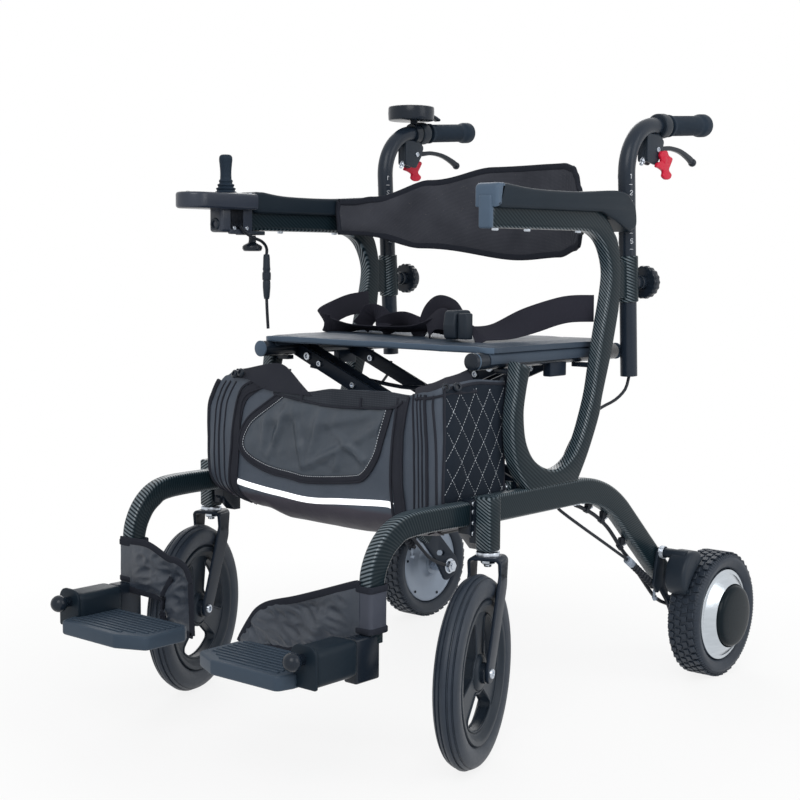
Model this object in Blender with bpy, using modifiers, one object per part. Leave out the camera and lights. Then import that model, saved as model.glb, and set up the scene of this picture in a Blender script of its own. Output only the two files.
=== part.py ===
"""Folding electric rollator with carbon side frames, a scissor brace, hub motors and caster wheels.

Metres, +Z up. The seated user faces -Y and +X is the user's left. The origin is on the floor at the
middle of the bounding box.
"""

import math

import bmesh
import bpy
from mathutils import Matrix, Vector

COLLECTION_NAME = "electric_rollator"
FIT_GAP = 0.0003
WELD_DISTANCE = 0.00001
WHEEL_SIDES = 24
MODEL_SHIFT_Y = -0.0080

# Side frame: the lower beam with its fittings
FRAME_X = 0.240
FRAME_WIDTH = 0.022
FRAME_EDGE = 0.005
FRAME_INNER_X = FRAME_X - FRAME_WIDTH / 2
FRAME_OUTER_X = FRAME_X + FRAME_WIDTH / 2
BEAM_Z = 0.3245
BEAM_HEIGHT = 0.038
BEAM_FRONT_Y = -0.140
BEAM_CORNER_Y = 0.170
BEAM_CORNER_RADIUS = 0.190
BEAM_END_Y = 0.345
BEAM_END_Z = 0.166
BEAM_TOP_Z = BEAM_Z + BEAM_HEIGHT / 2
RECEIVER_FRONT_Y = -0.164
RECEIVER_LOW_Z = 0.273
DROPOUT_THICKNESS = 0.006

# Upper frame: the U on the beam, the rear post and the arm tube
ARM_TOP_Z = 0.7405
ARM_BOTTOM_Z = 0.7035
ARM_FRONT_Y = -0.1215

# Arm pads
PAD_HALF_WIDTH = 0.019
PAD_TOP_Z = 0.763
PAD_SKIRT_Z = 0.731
PAD_TUBE_GAP = 0.0010
LEFT_PAD_FRONT_Y = -0.124
RIGHT_PAD_FRONT_Y = -0.1075

# Steering and front wheels
STEER_X = 0.271
STEER_Y = -0.1516
HEAD_RADIUS = 0.0150
HEAD_BOTTOM_Z = 0.276
HEAD_TOP_Z = 0.349
CASTER_YAW = math.radians(20.0)
CASTER_TRAIL = 0.0567
FRONT_RADIUS = 0.127
FRONT_TYRE_WIDTH = 0.035
FRONT_RIM_RADIUS = 0.095
FRONT_AXLE_RADIUS = 0.005
SPOKE_COUNT = 3
SPOKE_TURN = 30.0
FORK_CLEARANCE = 0.0015
BLADE_THICKNESS = 0.0045
BLADE_WIDTH = 0.028
CROWN_THICKNESS = 0.0055
CROWN_DEPTH = 0.040
BEARING_HEIGHT = 0.0055

# Rear wheels and their brakes
REAR_AXLE_Y = 0.403
REAR_RADIUS = 0.100
REAR_X = 0.302
REAR_WIDTH = 0.054
REAR_RIM_RADIUS = 0.0735
CAP_REACH_X = 0.3485
AXLE_RADIUS = 0.007
BRAKE_GAP = 0.0035
BRAKE_PIVOT_Y = 0.320
BRAKE_PIVOT_Z = 0.204
BRAKE_PIN_RADIUS = 0.004

# Footrests
HANGER_WIDTH = 0.022
HANGER_TOP_X = 0.240
HANGER_FOOT_X = 0.231
HANGER_TURN_ROOM = 0.0006
HANGER_REAR_Y = RECEIVER_FRONT_Y - FIT_GAP - HANGER_TURN_ROOM
HANGER_FOOT_Y = -0.33975
HANGER_DEPTH = 0.0265
STEM_REAR_Y = -0.3335
PLATE_TOP_Z = 0.1645
PLATE_THICKNESS = 0.0195
PLATE_FRONT_Y = -0.4865
PLATE_REAR_Y = -0.387
PLATE_INNER_X = 0.051
PLATE_OUTER_X = 0.210
BARREL_X = 0.2265
BARREL_WIDTH = 0.044
BARREL_BOTTOM_Z = 0.1485
BARREL_TOP_Z = 0.199
BARREL_FRONT_Y = -0.457
BARREL_REAR_Y = -0.379
PIVOT_Z = 0.172
PIVOT_PIN_RADIUS = 0.006
PIVOT_PIN_LENGTH = 0.016
RIB_COUNT = 5
RIB_HEIGHT = 0.0012
BALL_RADIUS = 0.0118
BALL_Y = -0.4754
BALL_Z = 0.1832
STEM_RADIUS = 0.0048

# Scissor and seat
RAIL_X = 0.2083
RAIL_Z = 0.5225
RAIL_RADIUS = 0.012
RAIL_FRONT_Y = -0.106
RAIL_REAR_Y = 0.252
LOWER_PIVOT_X = 0.2185
LOWER_PIVOT_Z = 0.345
SCISSOR_FRONT_Y = -0.030
SCISSOR_SPACING = 0.026
HALF_BAR_Y = 0.0965
BAR_THICKNESS = 0.006
BAR_WIDTH = 0.022
LUG_THICKNESS = 0.006
LUG_RADIUS = 0.009
PIN_RADIUS = 0.0040
PIN_DEPTH = 0.008
TUBE_RADIUS = 0.0080
SEAT_TOP_Z = 0.5445
SEAT_FRONT_Y = -0.100
SEAT_REAR_Y = 0.218
SEAT_HALF_WIDTH = 0.221
BUCKLE_CLEARANCE = 0.0026
CROSSING_Z = LOWER_PIVOT_Z + (RAIL_Z - LOWER_PIVOT_Z) * LOWER_PIVOT_X / (LOWER_PIVOT_X + RAIL_X)

# Bag and battery
BAG_HALF_WIDTH = 0.226
BAG_FRONT_Y = -0.200
BAG_REAR_Y = -0.048
BAG_LOW_Z = 0.280
BAG_HIGH_Z = 0.504
BAG_WALL = 0.004
BAG_EDGE = 0.010
BAG_SHOULDER = 0.045
BATTERY_HEIGHT = 0.110

# Handles
HANDLE_X = 0.240
HANDLE_BASE_Y = 0.2398
HANDLE_BASE_Z = 0.486
HANDLE_RADIUS = 0.0130
HANDLE_LEAN = math.radians(3.3)
RIGHT_HANDLE_RAISE = 0.012
GRIP_RISE = math.radians(4.3)
HANDLE_CORNER_Z = 0.860
HANDLE_BEND_RADIUS = 0.072
GRIP_START = 0.116
GRIP_LENGTH = 0.117
GRIP_RADIUS = 0.0158
GRIP_END_RADIUS = 0.0182
CLAMP_START = 0.088
CLAMP_WIDTH = 0.019
CLAMP_RADIUS = 0.0190
SLEEVE_LOW_Z = 0.599
SLEEVE_HIGH_Z = 0.668
SLEEVE_RADIUS = 0.0158
KNOB_Z = 0.628
KNOB_RADIUS = 0.026
KNOB_THICKNESS = 0.014
KNOB_Y = 0.272
KNOB_LOBES = 6
LEVER_THICKNESS = 0.0080
LEVER_PIVOT_Y = 0.296
LEVER_PIVOT_Z = 0.8300
LOCK_PIVOT_Y = 0.308
LOCK_PIVOT_Z = 0.834

# Right arm rest control and display
CONTROL_X = -0.238
CONTROL_HALF_WIDTH = 0.029
STICK_Y = -0.148
STICK_WELL_DEPTH = 0.005
THROTTLE_ROOT_RADIUS = 0.0035
HEAD_LOW_Z = 0.7345
HEAD_HIGH_Z = 0.7595
DISPLAY_RADIUS = 0.040
DISPLAY_RING_RADIUS = 0.0175
DISPLAY_RING_START = CLAMP_START - 0.0160
DISPLAY_RING_END = CLAMP_START - 0.0010
DISPLAY_Y = 0.290
DISPLAY_LOW_Z = 0.8875
DISPLAY_HIGH_Z = 0.9115
THROTTLE_DROP = 0.0095
THROTTLE_Z = DISPLAY_HIGH_Z - THROTTLE_DROP
THROTTLE_Y = DISPLAY_Y + DISPLAY_RADIUS + FIT_GAP + THROTTLE_ROOT_RADIUS


# Scene and materials


def clear_scene():
    for item in list(bpy.data.objects):
        bpy.data.objects.remove(item, do_unlink=True)


def new_collection(name):
    collection = bpy.data.collections.new(name)
    bpy.context.scene.collection.children.link(collection)
    return collection


def material(name, colour, roughness, metallic=0.0):
    made = bpy.data.materials.new(name)
    made.use_nodes = True
    shader = made.node_tree.nodes["Principled BSDF"]
    shader.inputs["Base Color"].default_value = (*colour, 1.0)
    shader.inputs["Roughness"].default_value = roughness
    shader.inputs["Metallic"].default_value = metallic
    return made


FINISHES = {
    "carbon": ((0.030, 0.045, 0.050), 0.25, 0.0),
    "slate": ((0.085, 0.120, 0.150), 0.45, 0.0),
    "black_plastic": ((0.012, 0.014, 0.018), 0.45, 0.0),
    "black_paint": ((0.010, 0.013, 0.018), 0.35, 0.2),
    "rubber": ((0.012, 0.013, 0.015), 0.75, 0.0),
    "steel": ((0.60, 0.62, 0.65), 0.25, 1.0),
    "red_plastic": ((0.45, 0.01, 0.03), 0.35, 0.0),
    "fabric": ((0.020, 0.024, 0.030), 0.90, 0.0),
    "webbing": ((0.018, 0.016, 0.018), 0.90, 0.0),
    "battery_case": ((0.020, 0.022, 0.026), 0.50, 0.0),
}


# Mesh helpers

SIDE_VIEW = Matrix(((0, 0, 1), (1, 0, 0), (0, 1, 0))).to_4x4()
FRONT_VIEW = Matrix(((1, 0, 0), (0, 0, -1), (0, 1, 0))).to_4x4()
PLAN_VIEW = Matrix.Identity(4)


def shift(x=0.0, y=0.0, z=0.0):
    return Matrix.Translation((x, y, z))


def evaluated_mesh(item):
    """Takes an object's evaluated mesh, welded and with its faces pointing out, and removes the object."""
    bpy.context.scene.collection.objects.link(item)
    bpy.context.view_layer.update()
    graph = bpy.context.evaluated_depsgraph_get()
    mesh = bpy.data.meshes.new_from_object(item.evaluated_get(graph))
    bpy.data.objects.remove(item, do_unlink=True)
    shape = bmesh.new()
    shape.from_mesh(mesh)
    bmesh.ops.remove_doubles(shape, verts=shape.verts, dist=WELD_DISTANCE)
    bmesh.ops.recalc_face_normals(shape, faces=shape.faces)
    shape.to_mesh(mesh)
    shape.free()
    return mesh


def primitive(make):
    mesh = bpy.data.meshes.new("primitive")
    shape = bmesh.new()
    make(shape)
    shape.to_mesh(mesh)
    shape.free()
    return mesh


def block(x_range, y_range, z_range, edge=0.0, segments=2):
    """A box between the given limits, with its edges rounded by the given width."""
    sizes = [high - low for low, high in (x_range, y_range, z_range)]
    middle = [(high + low) / 2 for low, high in (x_range, y_range, z_range)]

    def make(shape):
        bmesh.ops.create_cube(shape, size=1.0)
        bmesh.ops.scale(shape, vec=sizes, verts=shape.verts)
        if edge:
            bmesh.ops.bevel(shape, geom=shape.edges[:], offset=edge, segments=segments,
                            profile=0.5, affect="EDGES")
        bmesh.ops.translate(shape, vec=middle, verts=shape.verts)

    return primitive(make)


def rod(start, end, radius, end_radius=None, sides=16):
    """A cylinder or cone between two points."""
    start = Vector(start)
    end = Vector(end)
    axis = end - start
    turn = axis.to_track_quat("Z", "Y").to_matrix().to_4x4()
    place = Matrix.Translation((start + end) / 2) @ turn

    def make(shape):
        bmesh.ops.create_cone(shape, cap_ends=True, segments=sides, radius1=radius,
                              radius2=radius if end_radius is None else end_radius,
                              depth=axis.length, matrix=place)

    return primitive(make)


def ball(centre, radius, sides=12, rings=8):
    def make(shape):
        bmesh.ops.create_uvsphere(shape, u_segments=sides, v_segments=rings, radius=radius,
                                  matrix=Matrix.Translation(centre))

    return primitive(make)


def turned(profile, place, sides=WHEEL_SIDES, closed=False):
    """A profile of (radius, height) points turned about the local Z axis."""
    mesh = bpy.data.meshes.new("profile")
    shape = bmesh.new()
    points = [shape.verts.new((radius, 0.0, height)) for radius, height in profile]
    for first, second in zip(points, points[1:]):
        shape.edges.new((first, second))
    if closed:
        shape.edges.new((points[-1], points[0]))
    shape.to_mesh(mesh)
    shape.free()
    item = bpy.data.objects.new("turned", mesh)
    screw = item.modifiers.new("Turn", "SCREW")
    screw.steps = sides
    screw.render_steps = sides
    screw.use_merge_vertices = True
    screw.merge_threshold = WELD_DISTANCE
    result = evaluated_mesh(item)
    result.transform(place)
    return result


def along(origin, direction):
    """A frame whose local Z runs from the origin along the direction."""
    turn = Vector(direction).to_track_quat("Z", "Y").to_matrix().to_4x4()
    return Matrix.Translation(origin) @ turn


def outline(loops, thickness, edge, place, resolution=1):
    """A flat outline, with any holes after it, given a thickness along local Z and rounded edges."""
    curve = bpy.data.curves.new("outline", "CURVE")
    curve.dimensions = "2D"
    curve.fill_mode = "BOTH"
    curve.extrude = thickness / 2 - edge
    curve.bevel_depth = edge
    curve.bevel_resolution = resolution
    curve.offset = -edge
    for loop in loops:
        spline = curve.splines.new("POLY")
        spline.points.add(len(loop) - 1)
        for point, (u, v) in zip(spline.points, loop):
            point.co = (u, v, 0.0, 1.0)
        spline.use_cyclic_u = True
    mesh = evaluated_mesh(bpy.data.objects.new("outline", curve))
    mesh.transform(place)
    return mesh


def tube(points, radius, resolution=1):
    """A round tube through a list of points, with closed ends."""
    curve = bpy.data.curves.new("tube", "CURVE")
    curve.dimensions = "3D"
    curve.bevel_depth = radius
    curve.bevel_resolution = resolution
    curve.use_fill_caps = True
    spline = curve.splines.new("POLY")
    spline.points.add(len(points) - 1)
    for point, place in zip(spline.points, points):
        point.co = (*place, 1.0)
    return evaluated_mesh(bpy.data.objects.new("tube", curve))


def combine(base, others, operation):
    """Joins meshes to the base, or cuts them from it."""
    item = bpy.data.objects.new("base", base)
    tools = []
    for other in others:
        tool = bpy.data.objects.new("tool", other)
        tool.hide_render = True
        tool.display_type = "WIRE"
        bpy.context.scene.collection.objects.link(tool)
        tools.append(tool)
        step = item.modifiers.new("Combine", "BOOLEAN")
        step.operation = operation
        step.object = tool
    result = evaluated_mesh(item)
    for tool in tools:
        bpy.data.objects.remove(tool, do_unlink=True)
    return result


def fused(base, *others):
    return combine(base, others, "UNION")


def cut(base, *others):
    return combine(base, others, "DIFFERENCE")


def common(base, other):
    return combine(base, [other], "INTERSECT")


def mirrored(mesh):
    copy = mesh.copy()
    copy.transform(Matrix.Diagonal((-1.0, 1.0, 1.0, 1.0)))
    copy.flip_normals()
    return copy


def moved(mesh, place):
    copy = mesh.copy()
    copy.transform(place)
    return copy


# Outline helpers


def smooth(points, steps=4):
    """A Catmull-Rom curve through the points."""
    ends = [points[0]] + list(points) + [points[-1]]
    result = []
    for before, first, second, after in zip(ends, ends[1:], ends[2:], ends[3:]):
        for step in range(steps):
            t = step / steps
            result.append(tuple(
                0.5 * (2 * b + (c - a) * t + (2 * a - 5 * b + 4 * c - d) * t * t
                       + (3 * b - a - 3 * c + d) * t ** 3)
                for a, b, c, d in zip(before, first, second, after)))
    result.append(tuple(points[-1]))
    return result


def corner_arc(before, corner, after, radius, steps):
    """Points of the arc that rounds one corner."""
    corner = Vector(corner)
    to_before = (Vector(before) - corner).normalized()
    to_after = (Vector(after) - corner).normalized()
    half = to_before.angle(to_after) / 2
    bisector = (to_before + to_after).normalized()
    centre = corner + bisector * radius / math.sin(half)
    first = corner + to_before * radius / math.tan(half) - centre
    last = corner + to_after * radius / math.tan(half) - centre
    sweep = math.pi - 2 * half
    points = []
    for step in range(steps + 1):
        t = step / steps
        mix = (first * math.sin((1 - t) * sweep) + last * math.sin(t * sweep)) / math.sin(sweep)
        points.append(tuple(centre + mix))
    return points


def rounded(corners, closed=True, steps=4, size=2):
    """Rounds a polygon or path: each corner is (u, v) or (u, v, radius), or with size 3 (x, y, z, radius)."""
    places = [corner[:size] for corner in corners]
    result = []
    for index, corner in enumerate(corners):
        at_end = not closed and index in (0, len(corners) - 1)
        if at_end or len(corner) == size:
            result.append(tuple(places[index]))
            continue
        before = places[index - 1]
        after = places[(index + 1) % len(places)]
        result.extend(corner_arc(before, places[index], after, corner[size], steps))
    return result


def offset_path(path, distance):
    """The path moved sideways, to its left by a positive distance."""
    result = []
    for index, point in enumerate(path):
        here = Vector(point)
        normals = []
        for other, sign in ((index - 1, 1), (index + 1, -1)):
            if 0 <= other < len(path):
                run = (here - Vector(path[other])) * sign
                normals.append(Vector((-run.y, run.x)).normalized())
        normal = sum(normals, Vector((0.0, 0.0))).normalized()
        stretch = normal.dot(normals[0])
        result.append(tuple(here + normal * distance / stretch))
    return result


def band(path, width):
    return offset_path(path, width / 2) + offset_path(path, -width / 2)[::-1]


def arc(centre, radius, start, end, steps):
    """Points on an arc; angles in degrees from +u towards +v."""
    points = []
    for step in range(steps + 1):
        angle = math.radians(start + (end - start) * step / steps)
        points.append((centre[0] + radius * math.cos(angle), centre[1] + radius * math.sin(angle)))
    return points


# Side frame


def side_outline(loop, thickness, edge, x=FRAME_X, resolution=1):
    """An outline drawn from the side, in the YZ plane, centred on the given X."""
    return outline([loop], thickness, edge, shift(x=x) @ SIDE_VIEW, resolution)


def beam_path():
    """Centreline of the lower beam in the YZ plane, front to rear."""
    return rounded([(BEAM_FRONT_Y, BEAM_Z),
                    (BEAM_CORNER_Y, BEAM_Z, BEAM_CORNER_RADIUS),
                    (BEAM_END_Y, BEAM_END_Z)], closed=False, steps=6)


def dropout_plate():
    """The plate that carries the axle, below the beam's lower end."""
    beam_end = Vector((BEAM_END_Y, BEAM_END_Z))
    down = Vector((BEAM_END_Y - BEAM_CORNER_Y, BEAM_END_Z - BEAM_Z)).normalized()
    across = Vector((-down.y, down.x))
    corners = [(-0.030, -0.017, 0.004), (0.050, -0.024, 0.040), (0.100, -0.037, 0.010),
               (0.117, 0.004, 0.012), (0.092, 0.014, 0.020), (0.020, 0.017, 0.030), (-0.030, 0.017, 0.004)]
    loop = rounded([(*(beam_end + down * u + across * v), radius) for u, v, radius in corners], steps=2)
    return side_outline(loop, DROPOUT_THICKNESS, 0.001, resolution=0)


def lower_beam():
    """The beam with its head tube, footrest receiver, axle plate and scissor lugs."""
    beam = side_outline(band(beam_path(), BEAM_HEIGHT), FRAME_WIDTH, FRAME_EDGE)
    head = rod((STEER_X, STEER_Y, HEAD_BOTTOM_Z), (STEER_X, STEER_Y, HEAD_TOP_Z), HEAD_RADIUS)
    head_web = block((FRAME_X + 0.004, STEER_X - 0.004), (STEER_Y - 0.007, STEER_Y + 0.009),
                     (HEAD_BOTTOM_Z + 0.008, HEAD_TOP_Z - 0.008))
    receiver_loop = [(RECEIVER_FRONT_Y, BEAM_TOP_Z - 0.001), (BEAM_FRONT_Y + 0.012, BEAM_TOP_Z - 0.001),
                     (BEAM_FRONT_Y + 0.012, RECEIVER_LOW_Z), (BEAM_FRONT_Y, RECEIVER_LOW_Z),
                     (RECEIVER_FRONT_Y, RECEIVER_LOW_Z + 0.024)]
    receiver = side_outline(receiver_loop, FRAME_WIDTH - 0.001, 0.001, resolution=0)
    wheel_inner_x = REAR_X - REAR_WIDTH / 2
    axle = (REAR_AXLE_Y, REAR_RADIUS)
    axle_rod = rod((FRAME_X - 0.014, *axle), (FRAME_X + 0.010, *axle), AXLE_RADIUS)
    nut = rod((FRAME_X - 0.012, *axle), (FRAME_X, *axle), 0.0115, sides=6)
    spacer = rod((FRAME_X, *axle), (wheel_inner_x - FIT_GAP, *axle), 0.0125)
    brake_pivot = (BRAKE_PIVOT_Y, BRAKE_PIVOT_Z)
    brake_pin = rod((FRAME_X, *brake_pivot), (FRAME_OUTER_X + 0.012, *brake_pivot), BRAKE_PIN_RADIUS, sides=12)
    lugs = [pivot_lug(y, inward) for y, inward in scissor_lug_places()]
    return fused(beam, head, head_web, receiver, dropout_plate(), axle_rod, nut, spacer, brake_pin, *lugs)


def scissor_tube_range():
    """Front and rear ends of the scissor's lower tubes."""
    return SCISSOR_FRONT_Y - 0.0095, SCISSOR_FRONT_Y + SCISSOR_SPACING + 0.0115


def scissor_lug_places():
    """Middle of each lug that holds a lower tube, and the way its pin points."""
    front, rear = scissor_tube_range()
    reach = FIT_GAP + LUG_THICKNESS / 2
    return (front - reach, 1), (rear + reach, -1)


def pivot_lug(y, inward):
    """A lug on the beam's inner face, with the pin that the scissor tube turns on."""
    y_range = (y - LUG_THICKNESS / 2, y + LUG_THICKNESS / 2)
    low = LOWER_PIVOT_Z - LUG_RADIUS - 0.004
    eye = block((LOWER_PIVOT_X - LUG_RADIUS, FRAME_INNER_X - FIT_GAP), y_range,
                (low, LOWER_PIVOT_Z + LUG_RADIUS - 0.001))
    foot = block((LOWER_PIVOT_X, FRAME_INNER_X + 0.006), y_range, (low, BEAM_TOP_Z - 0.004))
    reach = inward * (LUG_THICKNESS / 2 + FIT_GAP + PIN_DEPTH)
    pin = rod((LOWER_PIVOT_X, y, LOWER_PIVOT_Z), (LOWER_PIVOT_X, y + reach, LOWER_PIVOT_Z), PIN_RADIUS, sides=12)
    return fused(eye, foot, pin)


def arm_rear_curve():
    """The rear of the post's top and of the arm, going up and forwards."""
    return smooth([(0.1940, 0.5870), (0.1985, 0.6260), (0.1975, 0.6570), (0.1880, 0.6900), (0.1760, 0.7050),
                   (0.1500, 0.7290), (0.1100, ARM_TOP_Z)], 2)


def arm_frame_loop():
    """The U, post and arm as one outline, starting at the arm's front underside."""
    inner = smooth([(0.0850, ARM_BOTTOM_Z), (0.1220, 0.7000), (0.1500, 0.6840), (0.1670, 0.6520), (0.1660, 0.6200),
                    (0.1490, 0.5560), (0.1380, 0.5100), (0.1230, 0.4540), (0.0880, 0.3880), (0.0410, 0.3640),
                    (-0.0080, 0.3770), (-0.0350, 0.4070), (-0.0430, 0.4470), (-0.0380, 0.4800),
                    (-0.0280, 0.5140)], 2)
    leg = smooth([(-0.0580, 0.5220), (-0.0640, 0.4810), (-0.0710, 0.4380), (-0.0620, 0.3830),
                  (-0.0300, BEAM_TOP_Z + FIT_GAP)], 2)
    post = smooth([(0.0910, BEAM_TOP_Z + FIT_GAP), (0.1190, 0.3805), (0.1460, 0.4320), (0.1540, 0.4610),
                   (0.1770, 0.5270), (0.1940, 0.5870)], 2)
    return [(ARM_FRONT_Y, ARM_BOTTOM_Z)] + inner + leg + post + arm_rear_curve()[1:] + [(ARM_FRONT_Y, ARM_TOP_Z)]


def handle_axis_y(z):
    """Where the leaned handle tube's axis is at a height."""
    return HANDLE_BASE_Y - math.tan(HANDLE_LEAN) * (z - HANDLE_BASE_Z)


def handle_axis(z):
    return Vector((HANDLE_X, handle_axis_y(z), z))


def arm_frame():
    """The U, post and arm tube, with the handle's clamp sleeve and the seat rail's saddles."""
    body = side_outline(arm_frame_loop(), FRAME_WIDTH, FRAME_EDGE)
    sleeve = rod(handle_axis(SLEEVE_LOW_Z), handle_axis(SLEEVE_HIGH_Z), SLEEVE_RADIUS)
    web = block((FRAME_X - 0.007, FRAME_X + 0.007), (0.175, HANDLE_BASE_Y - 0.012),
                (SLEEVE_LOW_Z + 0.006, SLEEVE_HIGH_Z - 0.008), 0.002, 1)
    boss = rod(handle_axis(KNOB_Z), (HANDLE_X, KNOB_Y - 0.012, KNOB_Z), 0.010)
    saddles = []
    for y_range in ((-0.052, -0.038), (0.139, 0.153)):
        saddles.append(block((RAIL_X - 0.006, FRAME_INNER_X + 0.005), y_range,
                             (RAIL_Z - RAIL_RADIUS - 0.007, RAIL_Z - RAIL_RADIUS - FIT_GAP)))
    joined = fused(body, web, sleeve, boss, *saddles)
    bore = rod(handle_axis(SLEEVE_LOW_Z - 0.010), handle_axis(SLEEVE_HIGH_Z + 0.010), HANDLE_RADIUS + FIT_GAP)
    return cut(joined, bore)


def arm_pad(front_y):
    """A moulded arm rest over the arm tube, notched at its rear for the handle tube."""
    loop = [(front_y + 0.0125, PAD_SKIRT_Z - 0.001), (front_y, PAD_SKIRT_Z + 0.006), (front_y, PAD_TOP_Z - 0.006),
            (front_y + 0.006, PAD_TOP_Z - 0.001)]
    loop += smooth([(front_y + 0.025, PAD_TOP_Z), (-0.030, PAD_TOP_Z - 0.005), (0.070, PAD_TOP_Z - 0.005),
                    (0.182, PAD_TOP_Z), (0.214, 0.7490), (0.223, 0.7360), (0.224, 0.7120), (0.207, 0.7036)], 2)
    loop += [(0.167, 0.7200), (0.134, PAD_SKIRT_Z)]
    shell = side_outline(loop, 2 * PAD_HALF_WIDTH, 0.004)
    rear = [(y + 0.0006, z + 0.0007) for y, z in arm_rear_curve()]
    channel_loop = [(rear[0][0], 0.580), (ARM_FRONT_Y - FIT_GAP, 0.580),
                    (ARM_FRONT_Y - FIT_GAP, ARM_TOP_Z + 0.0007)] + rear[::-1]
    channel = side_outline(channel_loop, FRAME_WIDTH + 2 * FIT_GAP, 0.0)
    tube_space = rod(handle_axis(0.680), handle_axis(0.790), HANDLE_RADIUS + PAD_TUBE_GAP)
    return cut(shell, channel, tube_space)


def motor_cable():
    """The hub motor's cable, from its hole under the beam to the axle."""
    side = [(0.1100, 0.3015), (0.1280, 0.2950), (0.1620, 0.2800), (0.1960, 0.2580), (0.2190, 0.2370),
            (0.2390, 0.2170), (0.2640, 0.1960), (0.3050, 0.1570), (0.3450, 0.1220), (0.3860, 0.1050)]
    return tube(smooth([(FRAME_INNER_X + 0.0045, y, z) for y, z in side], 2), 0.0030, 0)


def brake_cable():
    """From the handle down to the post, along the beam's inside, and below it to the brake's boot."""
    inner = FRAME_INNER_X - 0.0028
    route = [(HANDLE_X, HANDLE_BASE_Y + 0.0002, HANDLE_BASE_Z - 0.0010), (0.2390, 0.2320, 0.4660),
             (0.2350, 0.2110, 0.4510), (0.2280, 0.1850, 0.4410), (inner, 0.1600, 0.4310), (inner, 0.1250, 0.4120),
             (inner, 0.0950, 0.3820), (inner, 0.0760, 0.3480), (inner, 0.0720, 0.3160), (inner, 0.0745, 0.3020),
             (0.2300, 0.0880, 0.2905), (0.2400, 0.1200, 0.2680), (0.2420, 0.1820, 0.2340), (0.2430, 0.2480, 0.1980)]
    cable = tube(smooth(route, 2), 0.0024, 0)
    boot_start = Vector((0.2430, 0.2440, 0.1996))
    boot_end = Vector((0.2500, 0.3180, 0.1450))
    run = boot_end - boot_start
    profile = [(0.0, 0.0), (0.0032, 0.0)]
    ribs = 4
    for index in range(ribs):
        height = run.length * (0.12 + 0.80 * index / ribs)
        profile += [(0.0036, height), (0.0054, height + 0.0030)]
    profile += [(0.0040, run.length), (0.0, run.length)]
    boot = turned(profile[::-1], along(boot_start, run), 8)
    return fused(cable, boot)


# Rear wheels


def wheel_frame(x, y, z):
    """Local Z along +X, for pieces turned about a wheel's axle."""
    return shift(x, y, z) @ Matrix.Rotation(math.radians(90.0), 4, "Y")


def both_sides(half_profile):
    """A profile given for one side of its middle, joined to its mirror image."""
    return half_profile + [(radius, -height) for radius, height in half_profile[::-1]]


def rear_tyre():
    half = REAR_WIDTH / 2
    profile = [(REAR_RIM_RADIUS + FIT_GAP, half - 0.008), (0.0830, half - 0.001), (0.0880, half),
               (0.0945, half - 0.003), (0.0980, half - 0.009), (REAR_RADIUS, half - 0.017)]
    return turned(both_sides(profile), wheel_frame(REAR_X, REAR_AXLE_Y, REAR_RADIUS), closed=True)


def hub_motor():
    """The motor's shell: polished outer ring, domed cap and a dished inner side."""
    half = REAR_WIDTH / 2
    cap = CAP_REACH_X - REAR_X
    profile = [(0.0, cap), (0.0200, cap - 0.0010), (0.0360, cap - 0.0055), (0.0450, cap - 0.0120),
               (0.0490, cap - 0.0195), (0.0690, half - 0.0090), (REAR_RIM_RADIUS, half - 0.0150),
               (REAR_RIM_RADIUS, -half + 0.0150), (0.0690, -half + 0.0080), (0.0420, -half + 0.0150),
               (0.0260, -half + 0.0110), (0.0200, -half), (0.0, -half)]
    return turned(profile, wheel_frame(REAR_X, REAR_AXLE_Y, REAR_RADIUS))


def rear_brake():
    """A shoe in front of the tyre under a half-round cover, pivoted on the beam's lower end."""
    centre = (REAR_AXLE_Y, REAR_RADIUS)
    inner = REAR_RADIUS + BRAKE_GAP
    cover = smooth([(0.3080, 0.1440), (0.2960, 0.1600), (0.2990, 0.1860), (0.3180, 0.2080), (0.3450, 0.2080),
                    (0.3530, 0.1980)], 2)
    loop = arc(centre, inner, 118, 155, 6) + cover
    shoe = side_outline(loop, REAR_WIDTH, 0.0020, REAR_X + 0.002)
    boss_inner_x = FRAME_OUTER_X + FIT_GAP
    boss = rod((boss_inner_x, BRAKE_PIVOT_Y, BRAKE_PIVOT_Z), (REAR_X, BRAKE_PIVOT_Y, BRAKE_PIVOT_Z), 0.0075)
    bore = rod((boss_inner_x - 0.005, BRAKE_PIVOT_Y, BRAKE_PIVOT_Z),
               (FRAME_OUTER_X + 0.0125, BRAKE_PIVOT_Y, BRAKE_PIVOT_Z), BRAKE_PIN_RADIUS + FIT_GAP, sides=12)
    return cut(fused(shoe, boss), bore)


# Casters


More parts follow.
